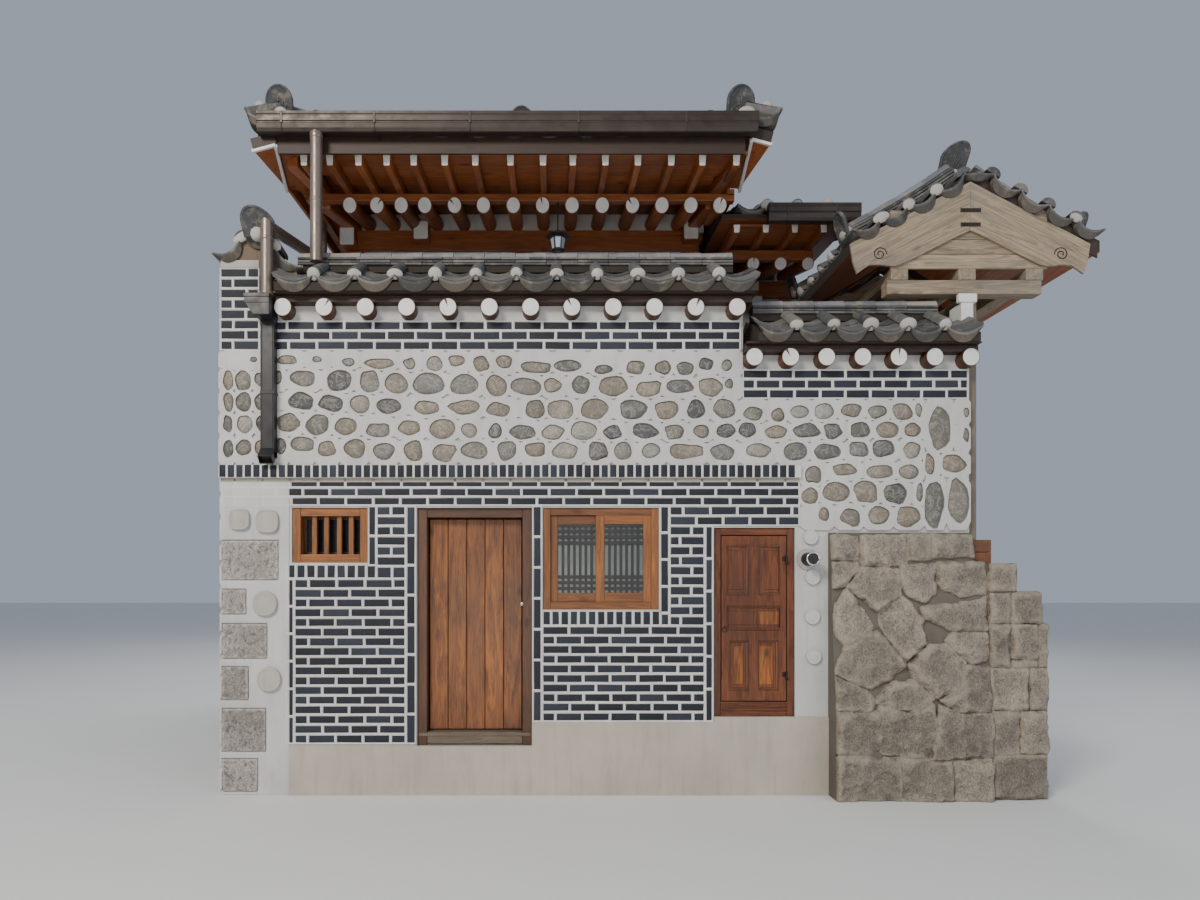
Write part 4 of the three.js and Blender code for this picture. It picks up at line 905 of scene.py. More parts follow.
def build_ledge():
    x, y, z = box_of("brick_ledge")
    core = give(ease(cube(x, (y[0] + 0.005, y[1]), (z[0] + 0.002, z[1] - 0.003)), 0.006), MORTAR)
    fillet = cube((x[0], x[1] - 0.004), (FACE - 0.012, FACE), (z[0] - FILLET, z[0] + 0.004))
    work(fillet, facing(z=1), extrude(0, -0.03, 0))
    give(ease(fillet, 0.006), CONCRETE)
    dress("ledge_mortar", [core, fillet], "brick", "brick_ledge")
    brick = give(ease(cube(span(0, 0.029), (0, 0.12), (z[0] + 0.006, z[1] - 0.006))), BRICK)
    places = [at(x[0] + (i + 0.5) * SOLDIER_PITCH, y[0] + rng.uniform(0, 0.003), rng.uniform(-0.002, 0.002))
              for i in range(int((x[1] - x[0]) / SOLDIER_PITCH))]
    dress("ledge_bricks", [spread(brick, places)], "brick")


# Split stones
def roughness(kind, scale, depth=None):
    texture = bpy.data.textures.new("roughness", kind)
    texture.noise_scale = scale
    if depth:
        texture.noise_depth = depth
    return texture


CRAG = roughness("CLOUDS", 0.045, 5)
SPLIT = roughness("VORONOI", 0.15)
SWELL = roughness("CLOUDS", 0.3)


def slab(points, *shift):
    """An outline of points, drawn out along a shift."""
    plate = add(bpy.ops.mesh.primitive_circle_add, vertices=len(points), radius=1, fill_type="NGON")
    for vertex, point in zip(plate.data.vertices, points):
        vertex.co = point
    return flip_normals(work(plate, everything, extrude(*shift)))


def prism(outline, axis, start, end):
    """An outline of [y, z] points drawn out along X, or of [x, z] points drawn out along Y."""
    if axis == "x":
        return slab([(start, a, b) for a, b in outline], end - start, 0, 0)
    return slab([(a, end, b) for a, b in outline], 0, start - end, 0)


def boulder(outline, back, front, rough=0.02, voxel=0.014, pillow=0.0):
    """A split stone: an outline of [x, z] corners given thickness, rounded off and roughened.

    With a pillow its face stands out between bevelled sides and leans its own way.
    """
    stone = prism(outline, "y", front, back)
    if pillow:
        work(stone, facing(y=-1), inset(0.035, pillow))
        middle_x, middle_z = (sum(values) / len(outline) for values in zip(*outline))
        lean_x, lean_z = rng.uniform(-0.16, 0.16), rng.uniform(-0.12, 0.16)
        for vertex in stone.data.vertices:
            if vertex.co.y < front - pillow / 2:
                vertex.co.y += lean_x * (vertex.co.x - middle_x) + lean_z * (vertex.co.z - middle_z)
    modify(stone, "REMESH", mode="VOXEL", voxel_size=voxel)
    modify(stone, "SMOOTH", factor=0.5, iterations=4)
    layers = [(SWELL, 1.2, 0.5), (SPLIT, 1.2, 0.4)] if pillow else []
    for texture, share, level in layers + [(CRAG, 0.8, 0.5)]:
        modify(stone, "DISPLACE", texture=texture, strength=rough * share, mid_level=level,
               texture_coords="LOCAL")
    return note_grain(stone)


def rectangle(x0, x1, z0, z1):
    return [(x0, z0), (x1, z0), (x1, z1), (x0, z1)]


# Granite blocks and white discs of the corner pier, in metres up the street face
PIER_BLOCKS = [
    (-3.447, -2.927, 1.948, 2.317),
    (-3.447, -3.218, 1.638, 1.873),
    (-3.447, -3.028, 1.235, 1.56),
    (-3.447, -3.197, 0.859, 1.169),
    (-3.447, -3.04, 0.39, 0.79),
    (-3.447, -3.113, 0.024, 0.334),
]
PIER_DISCS = [(-3.275, 2.499, 0.095, 3.2), (-3.023, 2.482, 0.105, 3.2), (-3.044, 1.737, 0.113, 2.2),
              (-3.006, 1.05, 0.11, 2.2)]
STRIP_DISCS = [(1.9, 2.341, 0.068, 2.0), (1.917, 1.977, 0.07, 2.0), (1.915, 1.62, 0.07, 2.0),
               (1.928, 1.256, 0.068, 2.0)]
POCKET = 0.022


def disc(x, z, radius, squareness, y, material):
    """A smooth boss of lime: a rim roll, a hollow and a low dome. A higher squareness makes it blockier."""
    boss = cylinder(radius, 0.03, 40, turn=(QUARTER, 0, 0))
    work(boss, facing(y=-1), inset(radius * 0.1, 0.006), inset(radius * 0.1, -0.006),
         inset(radius * 0.35, 0.004), inset(radius * 0.3, 0.002))

    def squared(px, py, pz):
        length = math.hypot(px, pz)
        if length < 1e-6:
            return px, py, pz
        grow = (abs(px / length) ** squareness + abs(pz / length) ** squareness) ** (-1 / squareness)
        return px * grow * 0.97, py, pz * grow

    return smooth(give(put(reshape(ease(boss), squared), at(x, y, z)), material), 1.1)


def build_pier():
    x, y, z = box_of("corner_pier")
    front = y[0]
    body = cube(x, (front, y[1]), z)
    cutter = merge("pockets", [cube((x0 - 0.1, x1), (front - 0.05, front + POCKET), (z0, z1))
                               for x0, x1, z0, z1 in PIER_BLOCKS])
    modify(body, "BOOLEAN", object=cutter, operation="DIFFERENCE", solver="EXACT")
    remove(cutter)
    dress("pier_plaster", [smooth(give(ease(body, 0.007), PLASTER), 0.5)], "plaster", "corner_pier")
    blocks = [boulder(rectangle(x0 + 0.004, x1 - 0.008, z0 + 0.006, z1 - 0.008), front + 0.06, front + 0.002,
                      0.022, 0.009) for x0, x1, z0, z1 in PIER_BLOCKS]
    stone = give(note_relief_light(merge("pier_blocks", blocks), 0.010), PALE_GRANITE)
    dress("pier_blocks", [smooth(stone, 1.2)], "granite")
    dress("pier_discs", [disc(*spot, front - 0.014, LIME) for spot in PIER_DISCS], "plaster")
    dress("strip_discs", [disc(*spot, FACE - 0.014, PLASTER) for spot in STRIP_DISCS], "plaster")


# Rubble base: outlines of its split boulders, [x, z] metres
BOULDERS = [
    [(2.08, 2.14), (2.31, 2.134), (2.319, 2.345), (2.08, 2.35)],
    [(2.346, 2.09), (2.735, 2.08), (2.739, 2.35), (2.35, 2.345)],
    [(2.758, 2.135), (2.952, 2.135), (2.959, 2.345), (2.758, 2.35)],
    [(2.979, 2.16), (3.335, 2.16), (3.33, 2.35), (2.985, 2.355)],
    [(2.08, 1.89), (2.2, 1.925), (2.31, 2.03), (2.31, 2.11), (2.08, 2.11)],
    [(2.215, 1.89), (2.47, 1.665), (2.655, 1.82), (2.668, 2.04), (2.33, 2.06)],
    [(2.69, 1.905), (2.745, 1.825), (2.88, 1.765), (2.985, 1.835), (2.99, 2.085), (2.692, 2.08)],
    [(3.01, 1.925), (3.08, 1.865), (3.21, 1.805), (3.425, 1.835), (3.425, 2.095), (3.025, 2.095)],
    [(2.08, 1.535), (2.16, 1.365), (2.395, 1.48), (2.43, 1.55), (2.2, 1.855), (2.08, 1.69)],
    [(2.475, 1.54), (2.685, 1.235), (2.87, 1.39), (2.86, 1.6), (2.665, 1.8), (2.48, 1.645)],
    [(2.08, 1.12), (2.36, 1.0), (2.505, 1.045), (2.68, 1.2), (2.45, 1.5), (2.165, 1.335)],
    [(2.08, 0.8), (2.35, 0.785), (2.405, 0.88), (2.345, 0.97), (2.08, 1.085)],
    [(2.905, 1.6), (3.145, 1.505), (3.425, 1.505), (3.425, 1.785), (3.345, 1.77), (2.885, 1.695)],
    [(2.73, 1.215), (2.77, 1.085), (2.96, 0.92), (3.145, 1.0), (3.215, 1.215), (3.05, 1.375),
     (2.905, 1.35)],
    [(3.06, 1.405), (3.285, 1.21), (3.425, 1.21), (3.425, 1.475), (3.145, 1.475)],
    [(2.425, 0.87), (2.7, 0.8), (2.93, 0.9), (2.76, 1.06), (2.52, 1.025)],
    [(2.985, 0.9), (3.17, 0.79), (3.425, 0.8), (3.425, 1.185), (3.225, 1.18), (3.165, 0.98)],
    [(2.08, 0.42), (2.43, 0.4), (2.44, 0.765), (2.08, 0.77)],
    [(2.465, 0.43), (2.86, 0.39), (2.96, 0.62), (2.9, 0.86), (2.7, 0.775), (2.47, 0.83)],
    [(2.89, 0.38), (3.425, 0.4), (3.425, 0.765), (3.16, 0.765), (2.985, 0.84)],
    [(2.08, 0.015), (2.62, 0.015), (2.6, 0.375), (2.08, 0.39)],
    [(2.65, 0.015), (3.09, 0.015), (3.06, 0.355), (2.63, 0.375)],
    [(3.12, 0.015), (3.425, 0.015), (3.425, 0.37), (3.09, 0.35)],
]
STEP_BLOCKS = [
    (3.455, 3.68, 1.85, 2.092), (3.455, 3.62, 1.57, 1.832), (3.64, 3.892, 1.57, 1.834),
    (3.455, 3.62, 1.18, 1.552), (3.64, 3.87, 1.25, 1.552), (3.88, 3.956, 1.18, 1.552),
    (3.455, 3.78, 0.8, 1.165), (3.64, 3.87, 1.175, 1.235), (3.8, 3.956, 0.8, 1.165),
    (3.455, 3.7, 0.4, 0.785), (3.72, 3.956, 0.42, 0.785), (3.455, 3.956, 0.015, 0.385),
]
LEAN_Z = (0.0, 0.8, 2.08, 2.38)
LEAN_OUT = (0.21, 0.19, 0.07, 0.03)


def lean_back(piece):
    """Sets a flat row of stones on the base's battered face."""
    points = points_of(piece)
    points[:, 1] -= np.interp(points[:, 2], LEAN_Z, LEAN_OUT)
    return move_points(piece, points)


def swollen(outline, grow=1.10):
    """An outline pushed out from its middle."""
    x0, z0 = (sum(values) / len(outline) for values in zip(*outline))
    return [(x0 + (x - x0) * grow, z0 + (z - z0) * grow) for x, z in outline]


def dress_rubble(name, stones, low, high, rounds=30):
    """Hands over split stones, held between two corners."""
    piece = merge(name, stones)
    move_points(piece, np.clip(points_of(piece), low, high))
    dress(name, [smooth(give(note_relief_light(piece, 0.03, rounds), GRANITE), 1.2)], "granite")


# Risers of the gate's steps: how far out each stands, its foot and head, and its courses
RISERS = ((3.964, 0.0, 1.56, 4), (3.90, 1.56, 1.84, 1), (3.69, 1.84, 2.098, 1))


def build_rubble():
    y0, y1 = box_of("gate_steps")[1]
    stones = [boulder(swollen(o), FACE + 0.04, FACE - 0.022, 0.034, 0.0135, 0.022) for o in BOULDERS]
    rubble = lean_back(merge("rubble_boulders", stones))
    dress_rubble("rubble_boulders", [rubble], (2.066, -0.428, 0.0), (3.455, 1.0, RUBBLE_TOP - 0.004))
    blocks = [boulder(swollen(rectangle(*spans), 1.04), y0 + 0.04, y0 - 0.02, 0.028, 0.0135, 0.02)
              for spans in STEP_BLOCKS]
    dress_rubble("step_blocks", blocks, (3.44, -0.42, 0.0), (3.975, 1.0, 2.1))
    blocks = []
    for x, z0, z1, courses in RISERS:
        height = (z1 - z0) / courses
        for course in range(courses):
            start = 0.012
            foot = z0 + course * height
            while start < y1 - y0 - 0.05:
                end = start + rng.uniform(0.34, 0.58)
                if y1 - y0 - end < 0.2:
                    end = y1 - y0 - 0.012
                outline = rectangle(start + 0.01, end - 0.01, foot + 0.01, foot + height - 0.008)
                blocks.append(put(boulder(outline, 0.05, 0.0, 0.02, 0.02, 0.018), at(x, y0, 0, QUARTER)))
                start = end
    dress_rubble("step_side_blocks", blocks, (3.4, y0, 0.0), (4.02, y1, 2.1), 20)


# Windows and doors of the street storey
def lining(x, y, z, jamb, sill, material, bevel=0.006, head_in=0.004):
    """A frame of two jambs and a head, with a sill: its levels, material and bevel."""
    across = (x[0] + jamb, x[1] - jamb)
    pieces = boards(material, bevel, ((x[0], across[0]), y, z), ((across[1], x[1]), y, z),
                    (across, (y[0] + head_in, y[1]), (z[1] - jamb, z[1])))
    return pieces + [board(across, (y[0] + 0.002, y[1]), *sill)]


def window_lining(node, jamb):
    x, y, z = box_of(node)
    return lining(x, y, z, jamb, ((z[0], z[0] + jamb), WINDOW_WOOD, 0.005), WINDOW_WOOD, 0.005)


BAR_PLACES = (-2.618, -2.509, -2.391, -2.282)
BAR = 0.044


def build_barred_window():
    x, y, z = box_of("barred_window")
    pieces = window_lining("barred_window", 0.076)
    pieces += boards(WINDOW_WOOD, 0.004, *[
        (span(place, BAR / 2), (y[0] + 0.03, y[0] + 0.075), (z[0] + 0.06, z[1] - 0.06)) for place in BAR_PLACES])
    # Painted shade: the casement's pane is near black for the dark room behind it
    casement = cube((x[0] + 0.05, x[1] - 0.05), (y[1] - 0.03, y[1] - 0.012), (z[0] + 0.05, z[1] - 0.05))
    work(casement, facing(y=-1), inset(0.05), extrude(0, 0.01, 0), slot=1)
    pieces.append(finish(casement, FRAME_WOOD, DARK_PANE))
    dress("barred_window_timber", pieces, "window_wood", "barred_window")


LATTICE_UPRIGHTS = 6
LATTICE_LEVELS = (2.449, 2.397, 2.345, 2.290, 1.979, 1.927, 1.874)


def sash(x0, x1, z, y, stiles, rails):
    """A sash of stiles and rails round a lattice of black bars, with a clouded pane behind it."""
    a, b = x0 + stiles[0], x1 - stiles[1]
    depth, rail_depth = (y, y + 0.028), (y + 0.002, y + 0.028)
    pieces = boards(WINDOW_WOOD, 0.004, ((x0, a), depth, z), ((b, x1), depth, z),
                    ((a, b), rail_depth, (z[0], z[0] + rails[0])), ((a, b), rail_depth, (z[1] - rails[1], z[1])))
    a, b = a - 0.005, b + 0.005
    inner = (z[0] + rails[0] - 0.005, z[1] - rails[1] + 0.005)
    step = (b - a) / (LATTICE_UPRIGHTS + 1)
    bars = [(span(a + (i + 1) * step, 0.012), (y + 0.010, y + 0.022), inner) for i in range(LATTICE_UPRIGHTS)]
    bars += [((a, b), (y + 0.008, y + 0.020), span(level, 0.0155)) for level in LATTICE_LEVELS]
    glass = cube((a, b), (y + 0.023, y + 0.026), inner)
    work(glass, facing(y=-1), inset(0.01, 0.001))
    return pieces + boards(LATTICE_PAINT, 0.002, *bars) + [give(glass, CLOUDED_PANE)]


def build_lattice_window():
    dress("lattice_window_lining", window_lining("lattice_window_frame", 0.068), "window_wood",
          "lattice_window_frame")
    x, y, z = box_of("lattice_window_sashes")
    left = sash(x[0], x[0] + 0.49, z, y[0] + 0.004, (0.066, 0.066), (0.082, 0.084))
    right = sash(-0.047, x[1], z, y[0] - 0.020, (0.08, 0.072), (0.085, 0.080))
    dress("lattice_window_sash_pair", left + right, "panes", "lattice_window_sashes")


def lug_and_pin(axis, levels, away, seat):
    """The frame's half of each hinge: a lug from the frame and the pin that stands on it."""
    x, y = axis
    parts = []
    for level in levels:
        parts += [ease(cylinder(0.008, 0.02, 20, (x, y, level - 0.01)), 0.0015),
                  ease(cylinder(0.005, 0.062, 16, (x, y, level + 0.031)), 0.0012),
                  ease(cube(sorted((x, x + away * 0.024)), sorted((y, seat)), (level - 0.02, level)), 0.0015)]
    return [finish(part, IRON) for part in parts]


def knuckle_and_strap(axis, levels, away, face, reach=0.095):
    """The leaf's half of each hinge: a bored knuckle round the pin and a strap along the leaf."""
    x, y = axis
    out = math.copysign(1, y - face)
    parts = []
    for level in levels:
        knuckle = cylinder(0.009, 0.059, 20, (x, y, level + 0.031), end_fill_type="NOTHING")
        modify(knuckle, "SOLIDIFY", thickness=0.0032, offset=-1)
        strap = cube(sorted((x - away * 0.006, x - away * reach)), sorted((face, face + out * 0.005)),
                     (level + 0.009, level + 0.051))
        parts += [knuckle, ease(strap, 0.002)]
        for share in (0.4, 0.8):
            spot = (x - away * reach * share, face + out * 0.006, level + 0.03)
            parts.append(ease(cylinder(0.006, 0.004, 12, spot, (QUARTER, 0, 0)), 0.0015))
    return [finish(part, IRON) for part in parts]


def joint_axis(name):
    """The x and y of a standing hinge."""
    return next(joint["pos_m"][:2] for joint in frame["joints"] if joint["name"] == name)


def torus(radius, thick, place, material=IRON, turn=(QUARTER, 0, 0)):
    ring = add(bpy.ops.mesh.primitive_torus_add, major_radius=radius, minor_radius=thick, major_segments=28,
               minor_segments=10, location=place, rotation=turn)
    return finish(smooth(ring, 1.2), material)


def boss(radius, depth, sides, place, bevel, material=IRON):
    """A round boss on a front."""
    return finish(ease(cylinder(radius, depth, sides, place, (QUARTER, 0, 0)), bevel), material)


PLANKS = 5
PLANK_LEVELS = (0.821, 2.213)
PANEL_LEVELS = (1.060, 2.115)


def build_plank_door():
    x, y, z = (-1.673, -0.627), (FACE + 0.03, FACE + 0.18), (0.445, 2.609)
    pieces = lining(x, y, z, 0.088, ((z[0] + 0.010, z[0] + 0.119), SILL_WOOD, 0.008), FRAME_WOOD)
    pieces.append(board((x[0] + 0.01, x[1] - 0.01), (y[0] - 0.006, y[1]), (z[0] + 0.082, z[0] + 0.112),
                        SILL_WOOD, 0.006))
    axis = joint_axis("plank_door_hinge")
    pieces += lug_and_pin(axis, PLANK_LEVELS, -1, y[1])
    dress("plank_door_lining", pieces, "door_wood", "plank_door_frame")
    back = y[1] - 0.005
    x0, x1 = x[0] + 0.088 + 0.008, x[1] - 0.088 - 0.008
    z0, z1 = z[0] + 0.119 + 0.009, z[1] - 0.088 - 0.008
    width = (x1 - x0) / PLANKS
    leaf = boards(DOOR_WOOD, 0.006, *[
        ((x0 + i * width + 0.0018, x0 + (i + 1) * width - 0.0018), (back - 0.045, back - 0.012), (z0, z1))
        for i in range(PLANKS)])
    # Painted shade: a nearly black backing board behind the planks, seen only in the gaps between them
    leaf.append(board((x0 + 0.004, x1 - 0.004), (back - 0.016, back - 0.0115), (z0 + 0.004, z1 - 0.004),
                      SHADE_DARK_WOOD, 0.001))
    leaf += boards(DOOR_WOOD, 0.004, *[((x0 + 0.02, x1 - 0.02), (back - 0.013, back), span(level, 0.05))
                                       for level in (z0 + 0.28, (z0 + z1) / 2, z1 - 0.28)])
    leaf += knuckle_and_strap(axis, PLANK_LEVELS, -1, back)
    knob = (-0.719, back - 0.050, 1.730)
    leaf += [torus(0.014, 0.0045, knob, CHROME), boss(0.007, 0.012, 20, knob, 0.002, CHROME),
             boss(0.017, 0.003, 24, (-0.715, back - 0.046, 1.516), 0.001)]
    dress("plank_door_leaf", leaf, "door_wood", "plank_door", body="plank_leaf")


def inside(x, z, y_way):
    """A test for the faces of a front or back that lie in a rectangle."""
    def test(face):
        middle = face.calc_center_median()
        return face.normal.y * y_way > 0.9 and x[0] < middle.x < x[1] and z[0] < middle.z < z[1]
    return test


DOOR_PANELS = [
    ((1.142, 1.352), (1.812, 2.273)), ((1.437, 1.631), (1.812, 2.273)), ((1.142, 1.636), (1.489, 1.720)),
    ((1.159, 1.352), (0.943, 1.403)), ((1.432, 1.625), (0.943, 1.403)),
]
# Steps of a panel's moulding, from its edge in: width and depth
PANEL_STEPS = ((0.005, 0.005), (0.006, 0.0), (0.004, -0.007), (0.008, -0.002), (0.004, -0.009), (0.022, 0.0),
               (0.007, 0.004))


def build_panel_door():
    x, y, z = (1.027, 1.764), (FACE + 0.02, FACE + 0.14), (0.709, 2.427)
    jamb, sill = 0.066, 0.132
    pieces = lining(x, y, z, jamb, ((z[0], z[0] + sill), PANEL_WOOD, 0.006), PANEL_WOOD, head_in=0.003)
    pieces += boards(PANEL_WOOD, 0.005, *[
        ((x[0] + jamb, x[1] - jamb), (y[0] - 0.016 + 0.006 * step, y[0] + 0.01), (level, level + 0.018))
        for step, level in enumerate((0.764, 0.795, 0.824))])
    axis = joint_axis("panel_door_hinge")
    pieces += lug_and_pin(axis, PANEL_LEVELS, 1, y[0])
    dress("panel_door_lining", pieces, "door_wood", "panel_door_frame")
    x0, x1 = x[0] + jamb + 0.008, x[1] - jamb - 0.008
    face = y[0] + 0.005
    leaf = cube((x0, x1), (face, face + 0.045), (z[0] + sill + 0.009, z[1] - jamb - 0.008))
    for axis_of, part in ((0, 0), (2, 1)):
        slice_at(leaf, axis_of, sorted({edge for panel in DOOR_PANELS for edge in panel[part]}))
    for px, pz in DOOR_PANELS:
        for way in (-1, 1):
            work(leaf, inside((max(px[0], x0 + 0.012), px[1]), pz, way), *[inset(*step) for step in PANEL_STEPS])
    ease(leaf, 0.0015, 1)
    # Painted shade: the mouldings' side faces take the darker frame wood; the sunk panel fields take the plank
    # door's wood
    for polygon in leaf.data.polygons:
        if abs(polygon.normal.y) < 0.9 and x0 + 0.006 < polygon.center.x < x1 - 0.006:
            polygon.material_index = 1
        elif 0.008 < polygon.center.y - face < 0.037 and polygon.area > 0.01:
            polygon.material_index = 2
    parts = [finish(leaf, PANEL_WOOD, FRAME_WOOD, DOOR_WOOD)]
    parts += knuckle_and_strap(axis, PANEL_LEVELS, 1, face, 0.036)
    parts += [torus(0.021, 0.0032, (x0 + 0.026, face - 0.006, 1.497)),
              boss(0.011, 0.012, 20, (x0 + 0.026, face - 0.003, 1.520), 0.003)]
    dress("panel_door_leaf", parts, "door_wood", "panel_door", body="panel_leaf")


def build_vent():
    x, y, z = box_of("vent_pipe")
    across, up = sum(x) / 2, sum(z) / 2

    def turned(radius, depth, sides, place):
        return cylinder(radius, depth, sides, (across, place, up), (QUARTER, 0, 0))

    flange = turned((x[1] - x[0]) / 2, 0.022, 48, y[1] - 0.012)
    work(flange, facing(y=-1), inset(0.012, -0.003), inset(0.01, 0.004))
    parts = [finish(smooth(ease(flange, 0.003)), LIME)]
    start, end = y[1] - 0.02, y[0]
    pitch = (start - end - 0.012) / 9
    for i in range(9):
        rib = turned(0.060, pitch * 1.02, 36, start - (i + 0.5) * pitch)
        work(rib, lambda face: abs(face.normal.y) > 0.9, inset(0.004))
        parts.append(finish(smooth(ease(rib, 0.005, 3), 0.9), DARK_METAL))
    # Painted shade: a black disc just inside the pipe's mouth stands for its dark bore
    mouth = turned(0.050, 0.004, 36, end + 0.011)
    work(mouth, facing(y=-1), inset(0.004, -0.003))
    parts += [torus(0.055, 0.007, (across, end + 0.008, up), CHROME), finish(mouth, LATTICE_PAINT)]
    dress("vent_ribbed_pipe", parts, "dark_metal", "vent_pipe")


# Roof tiles
TILE_PITCH = 0.30
CAP_PITCH = 0.345
TROUGH_SAG = 0.062
TROUGH_EDGE = 0.028
BARREL = 0.062
BARREL_RISE = 0.018


def sag(x, pitch, depth=TROUGH_SAG, power=2.0):
    return TROUGH_EDGE - depth * (1 - abs(2 * x / pitch) ** power)


def trough(pitch):
    """A concave tile: X across, Y up the slope from 0 to 1, hollow side up."""
    tile = add(bpy.ops.mesh.primitive_grid_add, x_subdivisions=6, y_subdivisions=1, size=1, location=(0, 0.5, 0))
    for vertex in tile.data.vertices:
        vertex.co.x *= pitch
        vertex.co.z = sag(vertex.co.x, pitch)
    modify(tile, "SOLIDIFY", thickness=0.016, offset=-1)
    return give(tile, TILE)


def eave_trough(pitch, slope):
    """The lowest concave tile: a pale rim over a deep curved end. It is cut upright for a roof of this slope."""
    sides = 5
    tile = cylinder(1, pitch, sides, turn=(0, QUARTER, 0))
    slice_at(tile, 0, [pitch * (i / 10 - 0.5) for i in range(1, 10)])
    edge = math.atan2(tile.data.vertices[0].co.z, tile.data.vertices[0].co.y)

    def curved(x, y, z):
        side = round((math.atan2(z, y) - edge) / (2 * math.pi / sides)) % sides
        rim = sag(x, pitch)
        foot = sag(x, pitch, 0.128, 2.5) - 0.012
        y, z = [(0.30, rim), (0.0, rim), (0.002, rim - 0.015), (0.024, foot), (0.30, foot + 0.02)][side]
        return x, y + slope * min(0, z), z

    flip_normals(reshape(tile, curved))
    # The deep end takes the darker tile finish: painted shade under the rim
    for polygon in tile.data.polygons:
        if polygon.center.z < sag(polygon.center.x, pitch) - 0.02:
            polygon.material_index = 1
    return give(tile, TILE, TILE_END_SHADE)


def half_round(radius, sides=16):
    """A half-round bar along Y from 0 to 1, flat side down."""
    bar = cylinder(radius, 1, sides, (0, 0.5, 0), (QUARTER, 0, 0))
    return work(bar, everything, lambda: bpy.ops.mesh.bisect(plane_co=(0, 0, 0.001), plane_no=(0, 0, 1),
                                                             use_fill=True, clear_inner=True))


def barrel():
    """A convex tile: a half-round bar, a little narrower at its upper end."""
    def narrowed(x, y, z):
        return (x * 0.86, y, z * 0.86) if y > 0.5 else (x, y, z)

    return give(reshape(half_round(BARREL), narrowed), TILE)


def plug():
    """A hand-pressed lump of lime that closes a convex tile at the eave."""
    lump = add(bpy.ops.mesh.primitive_uv_sphere_add, segments=14, ring_count=8, radius=1)
    return give(reshape(lump, lambda x, y, z: (x * 0.064, y * 0.026 - 0.002, z * 0.052 + 0.010)), LIME)


def bend_on(source, surface, spots, lift=0.0, vary=0.0):
    """Copies of a tile bent on to a roof. A spot is a tile's middle line, lower edge and length up the slope."""
    def shape(points, i):
        u, v, length = spots[i]
        if vary:
            points = points * [rng.uniform(1 - vary, 1 + vary) for _ in range(3)]
        across = u + points[:, 0]
        up = v + points[:, 1] * length
        base = surface(across, up)
        normal = np.cross(surface(across + 0.01, up) - base, surface(across, up + 0.01) - base)
        normal /= np.linalg.norm(normal, axis=1)[:, None]
        return base + normal * (points[:, 2] + lift * (1 - points[:, 1]))[:, None]

    return spread(source, [IDENTITY] * len(spots), shape)


def raised(surface, up=BARREL_RISE):
    return lambda u, v: surface(u, v) + np.array([0, 0, up])


def slope_spots(lines, reach, exposure):
    """Spots of overlapping tiles up each line, from the eave to where the roof ends on that line."""
    spots = []
    for u in lines:
        top = reach(u)
        if top < 0.08:
            continue
        count = max(1, round(top / exposure))
        step = top / count
        for j in range(count):
            spots.append((u + rng.uniform(-0.003, 0.003), j * step, min(step * 1.25, top - j * step)))
    return spots


def even_lines(x0, x1, pitch):
    """Middle lines of the troughs between two edges, and the lines of the joints between them."""
    count = max(1, round((x1 - x0) / pitch))
    step = (x1 - x0) / count
    return [x0 + (i + 0.5) * step for i in range(count)], [x0 + i * step for i in range(count + 1)], step


def tile_slope(surface, x0, x1, reach, eave, pitch=TILE_PITCH, exposure=0.21):
    """A slope of troughs and convex tiles. The lowest tiles have deep ends, upright on the slope at the eave."""
    troughs, joints, step = even_lines(x0, x1, pitch)
    joints = joints[1:-1]
    over = raised(surface)
    parts = [bend_on(trough(step), surface, slope_spots(troughs, reach, exposure), 0.018),
             bend_on(barrel(), over, slope_spots(joints, lambda u: reach(u) + 0.01, exposure * 1.4), 0.01)]
    ends = [(u, 0.004 + rng.uniform(-0.006, 0.006), 1.0) for u in joints if reach(u) > 0.08]
    return parts + [bend_on(plug(), over, ends, vary=0.2),
                    bend_on(eave_trough(step, eave), surface, [(u, -0.015, 1.0) for u in troughs])]


def verge_row(surface, x0, x1, pitch, length, plugged=everything):
    """Tiles that run in from a gable's edge, across the slope below it."""
    troughs, joints, step = even_lines(x0, x1, pitch)
    over = raised(surface)
    return [
        bend_on(trough(step), surface, [(u, 0.0, length) for u in troughs], 0.01),
        bend_on(eave_trough(step, 0.0), surface, [(u, -0.012, 1.0) for u in troughs]),
        bend_on(barrel(), over, [(u, 0.0, length) for u in joints[1:-1]], 0.01),
        bend_on(plug(), over, [(u, 0.004, 1.0) for u in joints[1:-1] if plugged(u)], vary=0.2),
    ]


def path_steps(path, step):
    """Equal steps along a path of points, as start and end points."""
    points = [Vector(p) for p in path]
    lengths = [0.0]
    for a, b in zip(points, points[1:]):
        lengths.append(lengths[-1] + (b - a).length)
    count = max(1, round(lengths[-1] / step))
    stations = np.linspace(0, lengths[-1], count + 1)
    found = [Vector([np.interp(s, lengths, [p[k] for p in points]) for k in range(3)]) for s in stations]
    return list(zip(found, found[1:]))


